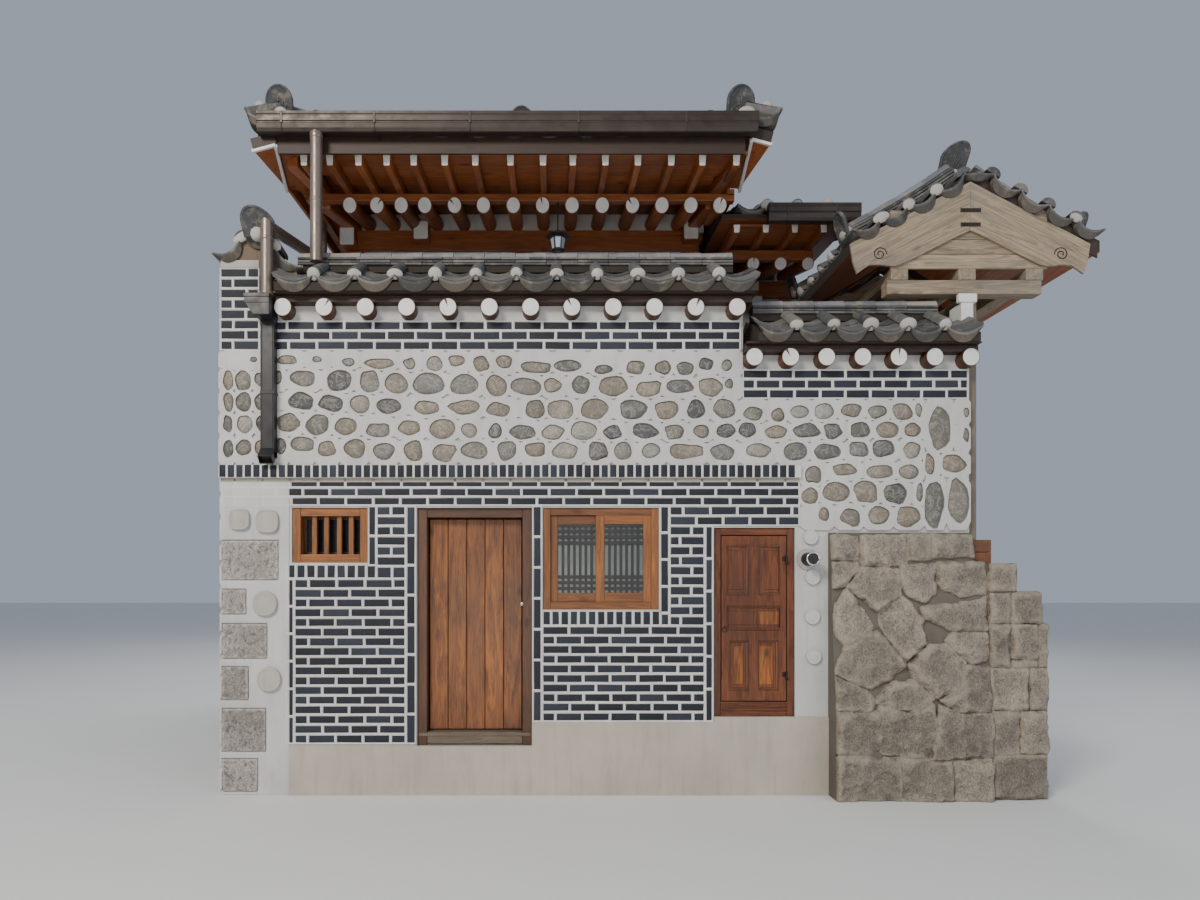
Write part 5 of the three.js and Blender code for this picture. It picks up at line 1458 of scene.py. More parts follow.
def lay_ridge(path, width=0.15, layers=3, thick=0.026, step=0.29, round_top=0.062, core=0.06):
    """A ridge of thin flat tiles in layers with round tiles on top, along a path at its foot."""
    parts = []
    for layer in range(layers):
        half = width / 2 + (0.008 if layer % 2 == 0 else 0.0)
        slab_tile = give(ease(cube((-half, half), (0.004, thick - 0.003), (0, 1))), TILE)
        places = []
        for a, b in path_steps(path, step * rng.uniform(0.9, 1.1)):
            shift = Matrix.Translation((rng.uniform(-0.005, 0.005), layer * thick, 0))
            places.append(along(a, b) @ shift @ lengths(1, 1, (b - a).length * 0.985))
        parts.append(spread(slab_tile, places))
    height = layers * thick
    # Painted shade: the ridge's core between its layers is the nearly black clay
    middle = give(cube(span(0, width / 2 - 0.012), (-core, height + 0.004), (0, 1)), CLAY_SHADE)
    work(middle, facing(z=1), inset(0.01))
    steps = path_steps(path, step)
    parts.append(spread(middle, [along(a, b) @ lengths(1, 1, (b - a).length) for a, b in steps]))
    top = half_round(round_top, 14)
    for vertex in top.data.vertices:
        x, y, z = vertex.co
        grow = 1.0 if y > 0.5 else 0.9
        vertex.co = (x * grow, z * grow, y)
    places = [along(a, b) @ Matrix.Translation((0, height, 0)) @ lengths(1, 1, (b - a).length * 0.985)
              for a, b in steps]
    return parts + [spread(give(flip_normals(top), RIDGE_TILE), places)]


def flat_shape(outline, thick):
    """An outline of [x, y] points with a thickness along Z."""
    return slab([(x, y, 0) for x, y in outline], 0, 0, thick)


def end_tile(place, width=0.27, height=0.30, lean=0.35, turn=0.0, skew=0.0):
    """A ridge-end tile: a leaning plate with a round head, a raised rim and plain spreading ribs."""
    half = width / 2
    outline = [(-half * 0.92, 0), (half * 0.92, 0)]
    for i in range(17):
        angle = math.pi * i / 16
        outline.append((half * math.cos(angle), height - half + half * 1.05 * math.sin(angle)))
    plate = flat_shape(outline, 0.03)
    work(plate, facing(z=1), inset(0.016, 0.006), inset(0.007, -0.009))
    parts = [finish(ease(plate, 0.003, 1), TILE, tone=0.05)]
    root = Vector((0, height * 0.12, 0.026))
    for i in range(-3, 4):
        angle = math.radians(90 + i * 25)
        reach = height * (0.5 - 0.035 * abs(i) if i else 0.62)
        tip = root + Vector((math.cos(angle) * reach * 0.8, math.sin(angle) * reach, 0.004))
        rib = ease(cube((-0.006, 0.006), (-0.003, 0.006), (0, (tip - root).length)), 0.003, 1)
        work(rib, facing(z=1), shrink(0.4, 0.6, 1))
        parts.append(finish(put(rib, along(root, tip)), TILE, tone=0.2))
    for radius in (0.2, 0.3):
        ring = torus(height * radius, 0.004, root + Vector((0, 0.02, 0)), TILE, (0, 0, 0))
        parts.append(reshape(ring, lambda x, y, z: (x, max(y, root.y - 0.01), z)))
    tile = reshape(merge("end_tile", parts), lambda x, y, z: (x + skew * max(0, y) ** 2 / height, y, z))
    return smooth(put(tile, at(*place, turn) @ Matrix.Rotation(lean, 4, "X") @ Matrix.Rotation(QUARTER, 4, "X")))


def saddle(place, width, turn=0.0):
    """The lime fill under a ridge-end tile."""
    lump = reshape(plug(), lambda x, y, z: (x * width / 0.13, y * 2.2, z * 1.3))
    return smooth(note_grain(put(lump, at(*place, turn))), 1.2)


# Tiled caps on the walls
CAP_REACH = 0.28
SIDE_REACH = 0.07
WALL_THICK = 0.30
CAP_EAVE = 0.19
CAP_SLOPE_TOP = 0.40
CAP_RIDGE_HALF = 0.075
HIGH_TOP = 4.460
LOW_TOP = 4.015
CAP_DROP = 0.065
CAP_EDGE_IN = 0.055
CAP_FALL = (CAP_SLOPE_TOP - CAP_EAVE) / (CAP_REACH + WALL_THICK / 2 - CAP_RIDGE_HALF)


def cap_surface(origin, side, inward, reach):
    """The tiles' surface on one side of a wall cap. U runs along the wall and V up the slope from the eave."""
    run = 1 / math.hypot(1, CAP_FALL)
    rise = CAP_FALL * run
    start = CAP_EDGE_IN - reach
    foot = CAP_SLOPE_TOP + (start - WALL_THICK / 2 + CAP_RIDGE_HALF) * CAP_FALL - CAP_DROP

    def surface(u, v):
        out = np.array(origin)[None, :] + np.outer(u, side) + np.outer(start + v * run, inward)
        out[:, 2] += foot + v * rise
        return out

    return surface, (WALL_THICK / 2 - CAP_RIDGE_HALF - start) / run


def cap_bed(origin, side, inward, length, front):
    """The clay and lime core of a wall cap, under its tiles."""
    middle = WALL_THICK / 2

    def height(across):
        return CAP_SLOPE_TOP - max(0, abs(across - middle) - CAP_RIDGE_HALF) * CAP_FALL - CAP_DROP - 0.045

    near, far = -front + 0.075, WALL_THICK + CAP_REACH - 0.075
    bed = flat_shape([(near, 0.05), (far, 0.05), (far, height(far)), (middle + CAP_RIDGE_HALF, height(middle)),
                      (middle - CAP_RIDGE_HALF, height(middle)), (near, height(near))], length)
    place = Matrix((inward, (0, 0, 1), side)).transposed().to_4x4()
    place.translation = Vector(origin)
    # The nearly black clay paints the shade under the cap's tiles
    return finish(flip_normals(put(bed, place)), CLAY_SHADE)


def cap_roof(origin, side, length, front, pitch, ridge):
    """A tiled cap along a wall: bed, both slopes and ridge. The origin is at the wall's outer face."""
    inward = (-side[1], side[0], 0)
    origin, way, across = Vector(origin), Vector(side), Vector(inward)
    parts = [cap_bed(origin, side, inward, length, front)]
    for place, turn, reach in ((origin, 1, front), (origin + way * length + across * WALL_THICK, -1, CAP_REACH)):
        surface, top = cap_surface(place, way * turn, across * turn, reach)
        parts += tile_slope(surface, 0, length, lambda u, top=top: top, CAP_FALL, pitch, 0.2)
    middle = origin + across * WALL_THICK / 2 + Vector((0, 0, CAP_SLOPE_TOP - 0.02))
    return parts + lay_ridge([middle + way * ridge[0], middle + way * (length - ridge[1])], round_top=0.064)


# The street end of the left cap: x and z of its gable's corners and of the tiles' line over it
CAP_GABLE = [(-3.455, 4.872), (-3.33, 4.965), (-3.17, 5.06), (-3.09, 5.06), (-2.76, 4.745), (-2.76, 4.70),
             (-3.10, 4.71), (-3.10, 4.80), (-3.445, 4.85)]
CAP_END_LINE = ((-3.52, -3.40, -3.30, -3.136, -2.93, -2.70), (4.870, 4.925, 4.99, 5.085, 4.93, 4.745))


def left_cap_end():
    """The clay gable that closes the left cap at the street, its short tiles and its ridge-end tile."""
    gable = prism(CAP_GABLE, "y", FACE - 0.012, FACE + 0.06)
    band = ease(cube((WALL_X0 - 0.004, -3.10), (FACE - 0.022, FACE + 0.02), (4.783, 4.852)), 0.006)

    def line(u, v):
        return np.stack([u, FACE - 0.045 + v, np.interp(u, *CAP_END_LINE)], 1)

    parts = [finish(gable, EARTH), finish(band, LIME)] + verge_row(line, -3.50, -2.72, 0.26, 0.28)
    spot = Vector((-3.07, FACE - 0.06, 5.03))
    return parts + [end_tile(spot, 0.30, 0.265, 0.3, 0.12, -0.2),
                    saddle(spot + Vector((-0.02, -0.02, 0.015)), 0.13)]


def build_caps():
    front_x = -2.90
    step_x = box_of("cap_roof_high")[0][1]
    low_x = box_of("cap_roof_low")[0]
    back_y = FACE + 6.9
    for name, node, origin, side, length, *shape in (
            ("high", "high", (front_x, FACE, HIGH_TOP), (1, 0, 0), step_x - front_x,
             CAP_REACH, CAP_PITCH, (0.12, 0.16)),
            ("left", "high", (WALL_X0, back_y, HIGH_TOP), (0, -1, 0), 6.9 - 0.03, SIDE_REACH, 0.33, (0.0, -0.04)),
            ("back", "high", (step_x, back_y, HIGH_TOP), (-1, 0, 0), step_x - WALL_X0, SIDE_REACH, 0.33, (0, 0)),
            ("low", "low", (low_x[0], FACE, LOW_TOP), (1, 0, 0), low_x[1] - low_x[0],
             CAP_REACH, 0.322, (0.02, 0.24)),
            ("right", "right", (RIGHT_X, GATE_BACK, LOW_TOP), (0, 1, 0), back_y - GATE_BACK + 0.07,
             SIDE_REACH, 0.33, (0, 0)),
            ("back_right", "right", (RIGHT_X, back_y, LOW_TOP), (-1, 0, 0), RIGHT_X - step_x - 0.001,
             SIDE_REACH, 0.33, (0, 0))):
        parts = cap_roof(origin, side, length, *shape)
        if name == "left":
            parts += left_cap_end()
        dress("cap_tiles_" + name, parts, "tile", "cap_roof_" + node)


# Rafters with painted ends
def log(radius, cracked, wood):
    """A round rafter along Z from 0 to 1. Its end at 0 is painted white in a dark rim, cracked as it dried."""
    piece = cylinder(radius, 1, 40, (0, 0, 0.5))
    work(piece, facing(z=-1), inset(radius * 0.07), slot=1)
    work(piece, lambda face: face.material_index == 1 and face.normal.z < -0.9, bpy.ops.mesh.poke)

    def wedge(face):
        middle = face.calc_center_median()
        off = abs(math.atan2(middle.y, middle.x) - QUARTER)
        return face.normal.z < -0.9 and face.material_index == 1 and off < 0.09

    if cracked:
        work(piece, wedge, inset(0.0001, -0.012), slot=2)
    return give(piece, wood, WHITE_PAINT, FRAME_WOOD)


def log_row(radius, ends, tall=1.0, wood=PINE):
    """Round rafters between pairs of points, the painted end first. Every third one has a drying crack."""
    parts = []
    for cracked in (True, False):
        places = []
        for i, (start, end) in enumerate(ends):
            if (i % 3 == 1) == cracked:
                roll = Matrix.Rotation(rng.uniform(-0.8, 0.8) if cracked else 0.0, 4, "Z")
                stretch = lengths(1, tall, (Vector(end) - Vector(start)).length)
                places.append(along(start, end) @ stretch @ roll)
        parts.append(spread(log(radius, cracked, wood), places))
    return parts


def square_row(width, height, ends):
    """Square flying rafters between pairs of points, the painted end first."""
    piece = cube(span(0, width / 2), span(0, height / 2), (0, 1))
    ease(reshape(piece, lambda x, y, z: (x * 0.8 if y < 0 else x, y, z)))
    work(piece, facing(z=-1), inset(0.003, 0.001), slot=1)
    places = [along(a, b) @ lengths(1, 1, (Vector(b) - Vector(a)).length) for a, b in ends]
    return [spread(give(piece, PINE, WHITE_PAINT), places)]


def build_cap_rafters():
    for height, foot, first, pitch, count in (("high", HIGH_TOP, -2.849, 0.3688, 12),
                                              ("low", LOW_TOP, 1.362, 0.322, 7)):
        x = box_of("cap_rafters_" + height)[0]
        z = foot - 0.072
        ends = [((first + i * pitch, FACE - 0.136, z), (first + i * pitch, FACE, z)) for i in range(count)]
        parts = log_row(0.078, ends, 1.04, FRAME_WOOD)
        # Painted shade: the two fascia boards over the rafter ends are the nearly black wood
        parts.append(board(x, (FACE - 0.112, FACE), (foot - 0.022, foot + 0.040), SHADE_DARK_WOOD, 0.006))
        parts.append(board(x, (FACE - 0.17, FACE - 0.02), (foot + 0.041, foot + 0.058), SHADE_DARK_WOOD))
        dress("cap_rafter_ends_" + height, parts, "pine", "cap_rafters_" + height)


# Hall roof: the construction's own curves
ROOF_MID = -0.8
ROOF_HALF = 2.25
ROOF_FRONT = FACE + 0.05
ROOF_DEPTH = 7.65
EAVE_IN = 0.03  # the tiles' edge lies this far in from the construction's edge
ROOF_FLARE = 0.23
ROOF_LIFT = 0.13
EAVE_TOP = 6.12
GABLE_SET = 2.15
SIDE_RISE = (0.30, 0.055)
END_RISE = (0.24, 0.030)
UNDER_END = ((0, 0.35, 0.75, 1.2, 1.65, 2.15), (5.940, 5.964, 5.992, 6.028, 6.082, 6.190))
UNDER_SIDE = ((0, 0.3, 0.7, 1.5), (6.000, 6.068, 6.155, 6.260))


def rise(slope, run):
    return slope[0] * run + slope[1] * run * run


def run_for(slope, height):
    return (-slope[0] + math.sqrt(slope[0] ** 2 + 4 * slope[1] * max(0.0, height))) / (2 * slope[1])


def hall_point(s, run, height):
    """A point of the hall roof's plan, bent out and up towards its corners."""
    t = 2 * run / ROOF_DEPTH - 1
    half = ROOF_HALF + ROOF_FLARE * np.abs(t) ** 6
    lift = ROOF_LIFT * np.abs(s) ** 3 * t ** 4
    return np.stack([ROOF_MID + s * half, ROOF_FRONT + run, height + lift], 1)


def hall_end(sign):
    """The slope over one end eave: sign 1 is the street end."""
    def surface(u, v):
        s = sign * u / ROOF_HALF
        v = v + EAVE_IN
        run = v if sign > 0 else ROOF_DEPTH - v
        return hall_point(s, run, EAVE_TOP + rise(END_RISE, v))
    return surface


def hall_side(sign):
    """The slope over one side eave: sign -1 is the left side."""
    def surface(u, v):
        run = u if sign > 0 else ROOF_DEPTH - u
        v = v + EAVE_IN
        s = sign * (1 - v / ROOF_HALF)
        return hall_point(s, run, EAVE_TOP + rise(SIDE_RISE, v))
    return surface


def end_reach(u):
    side = ROOF_HALF - abs(u)
    return min(GABLE_SET, run_for(END_RISE, rise(SIDE_RISE, side))) - 0.04 - EAVE_IN


def side_reach(u):
    run = min(u, ROOF_DEPTH - u)
    if run > GABLE_SET - 0.05:
        return ROOF_HALF - 0.1 - EAVE_IN
    return run_for(SIDE_RISE, rise(END_RISE, run)) - 0.04 - EAVE_IN


HIP_FOOT = (0.11, 0.2, 0.30)
HIP_RUN = (0.28, 0.6, 1.0, 1.5, 2.05)


def hip_path(sign, front, runs, lift=0.03):
    """Points up a hip of the hall roof, at distances in from its end eave."""
    points = []
    for run in runs:
        side = run_for(SIDE_RISE, rise(END_RISE, run))
        s = sign * (1 - side / ROOF_HALF)
        place = run if front else ROOF_DEPTH - run
        points.append(hall_point(np.array([s]), np.array([place]), EAVE_TOP + rise(END_RISE, run) + lift)[0])
    return points


def roof_bed():
    """The body of the hall roof: clay under the tiles, boards below and a dark edge."""
    bed = add(bpy.ops.mesh.primitive_grid_add, x_subdivisions=30, y_subdivisions=48, size=2)
    modify(bed, "SOLIDIFY", thickness=1, offset=-1)
    points = points_of(bed)
    s = np.clip(points[:, 0], -1, 1) * 0.962
    run = np.clip((points[:, 1] + 1) / 2, 0.009, 0.991) * ROOF_DEPTH
    side = (1 - np.abs(s)) * ROOF_HALF
    end = np.minimum(run, ROOF_DEPTH - run)
    by_side = rise(SIDE_RISE, side)
    top = np.where(end > GABLE_SET, by_side, np.minimum(by_side, rise(END_RISE, end)))
    under = np.minimum(np.interp(end, *UNDER_END), np.interp(side, *UNDER_SIDE))
    height = np.where(points[:, 2] > -0.5, EAVE_TOP + top - 0.06, under)
    flip_normals(move_points(bed, hall_point(s, run, height)))
    for polygon in bed.data.polygons:
        if polygon.normal.z < -0.5:
            polygon.material_index = 1 if FACE + 0.19 <= polygon.center.y <= FACE + 7.56 else 2
    return finish(bed, CLAY_SHADE, PINE, FRAME_WOOD, order=(1, 2, 0))


def build_hall_roof():
    parts = [roof_bed()]
    for sign in (1, -1):
        parts += tile_slope(hall_end(sign), -ROOF_HALF, ROOF_HALF, end_reach, END_RISE[0])
        parts += tile_slope(hall_side(sign), 0.0, ROOF_DEPTH, side_reach, SIDE_RISE[0])
    dress("hall_roof_tiles", parts, "tile", "hall_roof")
    top = EAVE_TOP + rise(SIDE_RISE, ROOF_HALF)
    y0, y1 = ROOF_FRONT + GABLE_SET - 0.06, ROOF_FRONT + ROOF_DEPTH - GABLE_SET + 0.06
    ridges = lay_ridge([(ROOF_MID, y, top - 0.03) for y in (y0, y1)], 0.22, 6, 0.031, round_top=0.075)
    for y, turn in ((y0 - 0.01, 0.0), (y1 + 0.01, math.pi)):
        ridges += [end_tile((ROOF_MID, y, top + 0.10), turn=turn), saddle((ROOF_MID, y, top + 0.12), 0.24, turn)]
    for sign in (-1, 1):
        for front in (True, False):
            foot, path = hip_path(sign, front, HIP_FOOT), hip_path(sign, front, HIP_RUN)
            ridges += lay_ridge(foot, 0.14, 1, 0.024, 0.2, round_top=0.058)
            ridges += lay_ridge(path, 0.17, 4, 0.028, round_top=0.064)
            turn = sign * 0.25 if front else math.pi - sign * 0.25
            x, y, z = path[0]
            ridges.append(end_tile((x - 0.04, y, z + 0.01), 0.28, 0.31, 0.3, turn))
            ridges.append(saddle((x - 0.04, y, z + 0.04), 0.20, turn))
            x, y, z = foot[0]
            ridges.append(saddle((x, y, z + 0.035), 0.12, turn))
            gable_y = ROOF_FRONT + GABLE_SET + 0.105 if front else ROOF_FRONT + ROOF_DEPTH - GABLE_SET - 0.105
            sides = (run_for(SIDE_RISE, rise(END_RISE, 2.08)) - 0.04, 1.6, 1.9, ROOF_HALF)
            ridges += lay_ridge([(ROOF_MID + sign * (ROOF_HALF - side), gable_y, EAVE_TOP + rise(SIDE_RISE, side))
                                 for side in sides], 0.16, 3, 0.028)
    dress("hall_ridges", ridges, "tile", "hall_roof")


# Hall timbers
HALL_X = (-2.775, 1.215)
HALL_Y = (FACE + 1.75, FACE + 6.0)
POST = 0.20
PLATE_TOP = 5.895
PLATE_THICK = 0.23
TERRACE = 2.93
HALL_MIDDLE_Y = (HALL_Y[0] + HALL_Y[1]) / 2
RAFTER = {"radius": 0.070, "y": FACE + 0.88, "z": 5.770, "slope": 0.228, "tail": FACE + 1.94}
RAFTER_X = (-2.506, -2.230, -1.982, -1.743, -1.439, -1.144, -0.840, -0.541, -0.240, 0.067, 0.375, 0.675, 0.970,
            1.266)
FLYING = {"width": 0.074, "height": 0.105, "y": FACE + 0.19, "z": 5.870, "slope": 0.105}
FLYING_X = (-2.759, -2.518, -2.251, -1.988, -1.735, -1.446, -1.161, -0.832, -0.529, -0.251, 0.053, 0.356, 0.668,
            0.959, 1.275)
SOFFIT_X = (-2.858, 1.38)  # the boards over the flying rafters, at the eave


def mirrored(y):
    return 2 * HALL_MIDDLE_Y - y


def as_is(y):
    return y


BOTH_ENDS = (as_is, mirrored)


def round_z(y):
    return RAFTER["z"] + (y - RAFTER["y"]) * RAFTER["slope"]


def flying_z(y):
    return FLYING["z"] + (y - FLYING["y"]) * FLYING["slope"]


BOARD_TOP = flying_z(FACE + 0.90) - 0.046


def painted_head(x, y, z, out):
    """A beam's end, painted white on the face that looks out."""
    head = board(x, sorted(y), z, PINE, 0.012)
    work(head, facing(y=out), inset(0.004), slot=1)
    return give(head, PINE, WHITE_PAINT)


def build_hall_frame():
    x0, x1 = HALL_X
    y0, y1 = HALL_Y
    under = PLATE_TOP - PLATE_THICK
    plate = (under, PLATE_TOP)
    posts = [(x, x + POST) for x in (x0, (x0 + x1) / 2 - POST / 2, x1 - POST)]
    rows = [(y, y + POST) for y in (y0, y1 - POST)]
    parts = boards(PINE, 0.008, *[(x, y, (TERRACE + 0.001, under)) for x in posts for y in rows])
    for y in rows:
        parts.append(board(HALL_X, y, plate, PINE, 0.008))
        parts.append(board((x0 + POST, x1 - POST), (y[0] + 0.045, y[0] + 0.155), (under - 0.13, under - 0.003),
                           PINE, 0.006))
    parts += boards(PINE, 0.008, *[(x, (y0 + POST, y1 - POST), plate) for x in (posts[0], posts[2])])
    for x, drop in ((-2.805, 0.065), (-1.985, 0.0), (1.015, 0.0)):
        levels = (under + 0.065 - drop, PLATE_TOP + 0.045 - drop)
        for out, y in ((-1, y0), (1, y1)):
            parts.append(painted_head((x, x + 0.17), (y, y + out * 0.15), levels, out))
    dress("hall_timber_frame", parts, "pine", "hall_frame")
    z = (PLATE_TOP - 0.002, 6.10)
    strips = [work(cube((x0 - 0.06, x1 + 0.06), (y, y + 0.03), z), facing(y=-1), inset(0.01, -0.002))
              for y in (y0 + 0.06, y1 - 0.09)]
    strips += [work(cube((x, x + 0.03), (y0 + 0.09, y1 - 0.09), z), facing(x=-1), inset(0.01, -0.002))
               for x in (x0 + 0.06, x1 - 0.09)]
    dress("rafter_infill", [finish(strip, PLASTER) for strip in strips], "plaster")


def build_round_rafters():
    ends = []
    for place in BOTH_ENDS:
        for x in RAFTER_X:
            tail = RAFTER["tail"] if x < HALL_X[1] - 0.07 else FACE + 1.5
            ends.append([(x, place(y), round_z(y)) for y in (RAFTER["y"], tail)])
    plate = round_z(HALL_Y[0])
    fall = 0.19 * RAFTER["slope"]
    for x, out, ys in ((HALL_X[0], -0.19, [HALL_Y[0] + 0.33 * i for i in range(1, 12)]),
                       (HALL_X[1], 0.19, [HALL_Y[0] + 0.33, HALL_Y[1] - 0.40])):
        ends += [((x + out, y, plate - fall), (x - out, y, plate + fall)) for y in ys]
    parts = log_row(RAFTER["radius"], ends, 1.12)
    x0, x1 = HALL_X[0] - 0.185, HALL_X[1] + 0.205
    near, far = FACE + 0.90, mirrored(FACE + 0.90)
    parts += boards(PINE, 0.006, *[((x0, x1), (y, y + 0.09), (BOARD_TOP - 0.075, BOARD_TOP))
                                   for y in (near, far - 0.09)])
    z = (BOARD_TOP - 0.02, 5.945)
    parts += boards(PINE, 0.004, ((x0 - 0.02, x0 + 0.06), (near, far), z),
                    ((x1 - 0.08, x1), (near, FACE + 2.1), z), ((x1 - 0.08, x1), (mirrored(FACE + 2.2), far), z))
    for place in BOTH_ENDS:
        for body, tip in ((HALL_X[0] + 0.12, -2.915), (HALL_X[1] - 0.12, 1.30)):
            start = Vector((tip, place(FACE + 0.34), 5.940))
            tail = Vector((body, place(HALL_Y[0] + 0.16), 5.990))
            middle = start.lerp(tail, 0.42) - Vector((0, 0, 0.10))
            parts.append(timber(start, tail, 0.11, 0.125, PINE, 0.008))
            parts.append(timber(middle, tail - Vector((0, 0, 0.02)), 0.14, 0.15, PINE, 0.02))
    dress("hall_round_rafters", parts, "pine", "hall_rafters")


def build_flying_rafters(end, place):
    tails = {FLYING_X[0]: FACE + 1.1, FLYING_X[-1]: FACE + 0.6}
    ends = [[(x, place(y), flying_z(y)) for y in (FLYING["y"], tails.get(x, FACE + 1.2))] for x in FLYING_X]
    parts = square_row(FLYING["width"], FLYING["height"], ends)
    for i, run in enumerate((0.205, 0.43, 0.66)):
        ys = sorted((place(FACE + run), place(FACE + run + 0.223)))
        z = flying_z(FACE + run + 0.11) + 0.047
        x_in = 0.10 + 0.05 * i
        parts.append(board((SOFFIT_X[0] + x_in, SOFFIT_X[1] - x_in), ys, (z, z + 0.018), PINE, 0.003))
    ys = sorted((place(FACE + 0.175), place(FACE + 0.205)))
    z = flying_z(FACE + 0.19) + 0.042
    parts.append(board(SOFFIT_X, ys, (z, z + 0.035)))
    dress("hall_square_rafters_" + end, parts, "pine", "hall_flying_rafters_" + end)


# Side wing
WING = {"x1": 2.45, "y0": FACE + 2.45, "y1": FACE + 5.2, "verge": 2.70, "eave0": FACE + 0.95,
        "eave1": FACE + 6.25, "ridge": FACE + 3.6, "top": 6.74, "eave": 5.76, "foot": 5.66}


WING_FALL = 0.277  # its slope at the street eave
WING_DECK = 5.753  # the top of its rafters, over its wall


def wing_z(y):
    run = np.where(y < WING["ridge"], (y - WING["eave0"]) / (WING["ridge"] - WING["eave0"]),
                   (WING["eave1"] - y) / (WING["eave1"] - WING["ridge"]))
    return WING["eave"] + (WING["top"] - WING["eave"]) * (0.75 * run + 0.25 * run * run)


def wing_slope(sign):
    def surface(u, v):
        y = WING["eave0"] + EAVE_IN + v if sign > 0 else WING["eave1"] - EAVE_IN - v
        x = u if sign > 0 else -u
        return np.stack([x, y, wing_z(y) + 0.02], 1)
    return surface


def build_wing_roof():
    y0, y1, ridge, verge = (WING[key] for key in ("eave0", "eave1", "ridge", "verge"))
    eave = WING["foot"] + 0.01
    lows = [(y0, eave), (WING["y0"], WING_DECK), (ridge, 6.05), (WING["y1"], WING_DECK), (y1, eave)]
    tops = [(y, float(wing_z(y)) - 0.05)
            for y in (y1, FACE + 5.2, FACE + 4.4, ridge, FACE + 2.7, FACE + 1.8, y0)]
    bed = prism(lows + tops, "x", 1.30, verge - 0.02)
    work(bed, facing(z=-1, limit=0.5), slot=1)
    parts = [finish(bed, CLAY_SHADE, PINE, order=(1, 2, 0))]
    for sign, run in ((1, ridge - y0), (-1, y1 - ridge)):
        surface = wing_slope(sign)
        parts += tile_slope(surface, *sorted((sign * 1.47, sign * verge)), lambda u, run=run: run - 0.12,
                            WING_FALL, exposure=0.22)
        # Towards the hall only the tiles that stand clear of its roof
        for source, shift, up in ((trough(0.3), 0.0, 0.0), (barrel(), sign * 0.15, BARREL_RISE)):
            spots = []
            for u in [sign * (1.32 - 0.3 * i) + shift for i in range(4)]:
                hall = EAVE_TOP + rise(SIDE_RISE, 1.45 - abs(u)) - 0.03
                for v in [0.22 * j for j in range(12)]:
                    if v < run - 0.2 and wing_z(y0 + v if sign > 0 else y1 - v) > hall:
                        spots.append((u, v, 0.27))
            if spots:
                parts.append(bend_on(source, raised(surface, up), spots, 0.018))
            else:
                remove(source)
    for foot in (y0 + 0.02, y1 - 0.02):
        upper = [(y, float(wing_z(y)) - 0.046) for y in np.linspace(foot, ridge, 7)]
        leg = prism(upper + [(y, z - 0.20) for y, z in upper[::-1]], "x", verge - 0.022, verge + 0.012)
        parts.append(finish(ease(leg), OLD_PINE, order=(0, 2, 1)))
    parts += lay_ridge([(x, ridge, WING["top"] - 0.02) for x in (-0.1, verge - 0.02)], 0.17, 5, 0.028,
                       round_top=0.064)
    parts.append(end_tile((verge, ridge, WING["top"] + 0.02), 0.26, 0.28, 0.3, QUARTER))
    dress("wing_roof_tiles", parts, "tile", "wing_roof")


def build_wing_timbers():
    start, wall = FACE + 1.58, WING["y0"]
    places = [1.48 + 0.302 * i for i in range(4)]
    ends = [((x, start, 5.45), (x, wall + 0.12, 5.45 + (wall + 0.12 - start) * 0.24)) for x in places]
    square = [((x, FACE + 1.06, 5.61), (x, FACE + 2.0, 5.655)) for x in places]
    parts = log_row(0.068, ends) + square_row(0.074, 0.086, square)
    x = (1.44, 2.45)
    parts += boards(PINE, 0.004, (x, (FACE + 1.60, FACE + 1.68), (5.50, 5.61)),
                    (x, (FACE + 1.075, FACE + 1.15), (5.64, 5.668)),
                    (x, (FACE + 1.16, FACE + 1.60), (5.658, 5.672)))
    parts.append(board(x, (wall - 0.06, wall - 0.002), (5.36, 5.56), PINE, 0.008))
    parts.append(painted_head((1.905, 2.065), (wall - 0.2, wall - 0.06), (5.16, 5.34), -1))
    dress("wing_timbers", parts, "pine", "wing_rafters")


# Gate
GATE_X = 3.45
GATE_Y = (FACE, FACE + 2.3)
GATE_REACH = 1.15
GATE_EAVE = 5.11
GATE_APEX = 5.79
GATE_POST_X = (3.345, 3.445)
GATE_POST_Y = (FACE + 0.06, FACE + 0.24)
GATE_BEAM_Z = 4.575


GATE_FALL = 0.473  # the gate roof's slope at its eaves


def gate_z(offset):
    share = 1 - np.abs(offset) / GATE_REACH
    return GATE_EAVE + (GATE_APEX - GATE_EAVE) * (0.8 * share + 0.2 * share * share)


def gate_slope(sign):
    """The slope to the left (-1) or right (1) of the gate's ridge."""
    def surface(u, v):
        offset = GATE_REACH - EAVE_IN - v
        y = u if sign > 0 else -u
        return np.stack([GATE_X + sign * offset, y, gate_z(offset)], 1)
    return surface


VERGE_DROP = 0.09


def gate_verge(sign):
    """The row along the street (1) or back (-1) edge, which runs across the slopes."""
    def surface(u, v):
        y = GATE_Y[0] + EAVE_IN + v if sign > 0 else GATE_Y[1] - EAVE_IN - v
        return np.stack([GATE_X + sign * u, y, gate_z(u) + 0.012 - VERGE_DROP * (1 - np.abs(u) / GATE_REACH)], 1)
    return surface


def tube(path, radius, material, sides=24):
    """A pipe or wire along a path of points, mitred at each bend."""
    points = [Vector(p) for p in path]
    last = len(points) - 1
    pipe = cylinder(1, last, sides, (0, 0, last / 2))
    slice_at(pipe, 2, range(1, last))
    ways = [(b - a).normalized() for a, b in zip(points, points[1:])]
    planes = [ways[0]] + [(a + b).normalized() for a, b in zip(ways, ways[1:])] + [ways[-1]]
    first = along(points[0], points[1])
    for vertex in pipe.data.vertices:
        x, y, z = vertex.co
        spot = first @ Vector((x * radius, y * radius, 0))
        for k in range(round(z)):
            spot += ways[k] * ((points[k + 1] - spot).dot(planes[k + 1]) / ways[k].dot(planes[k + 1]))
        vertex.co = spot
    note_grain(flip_normals(pipe))
    return smooth(give(pipe, material), 0.8)


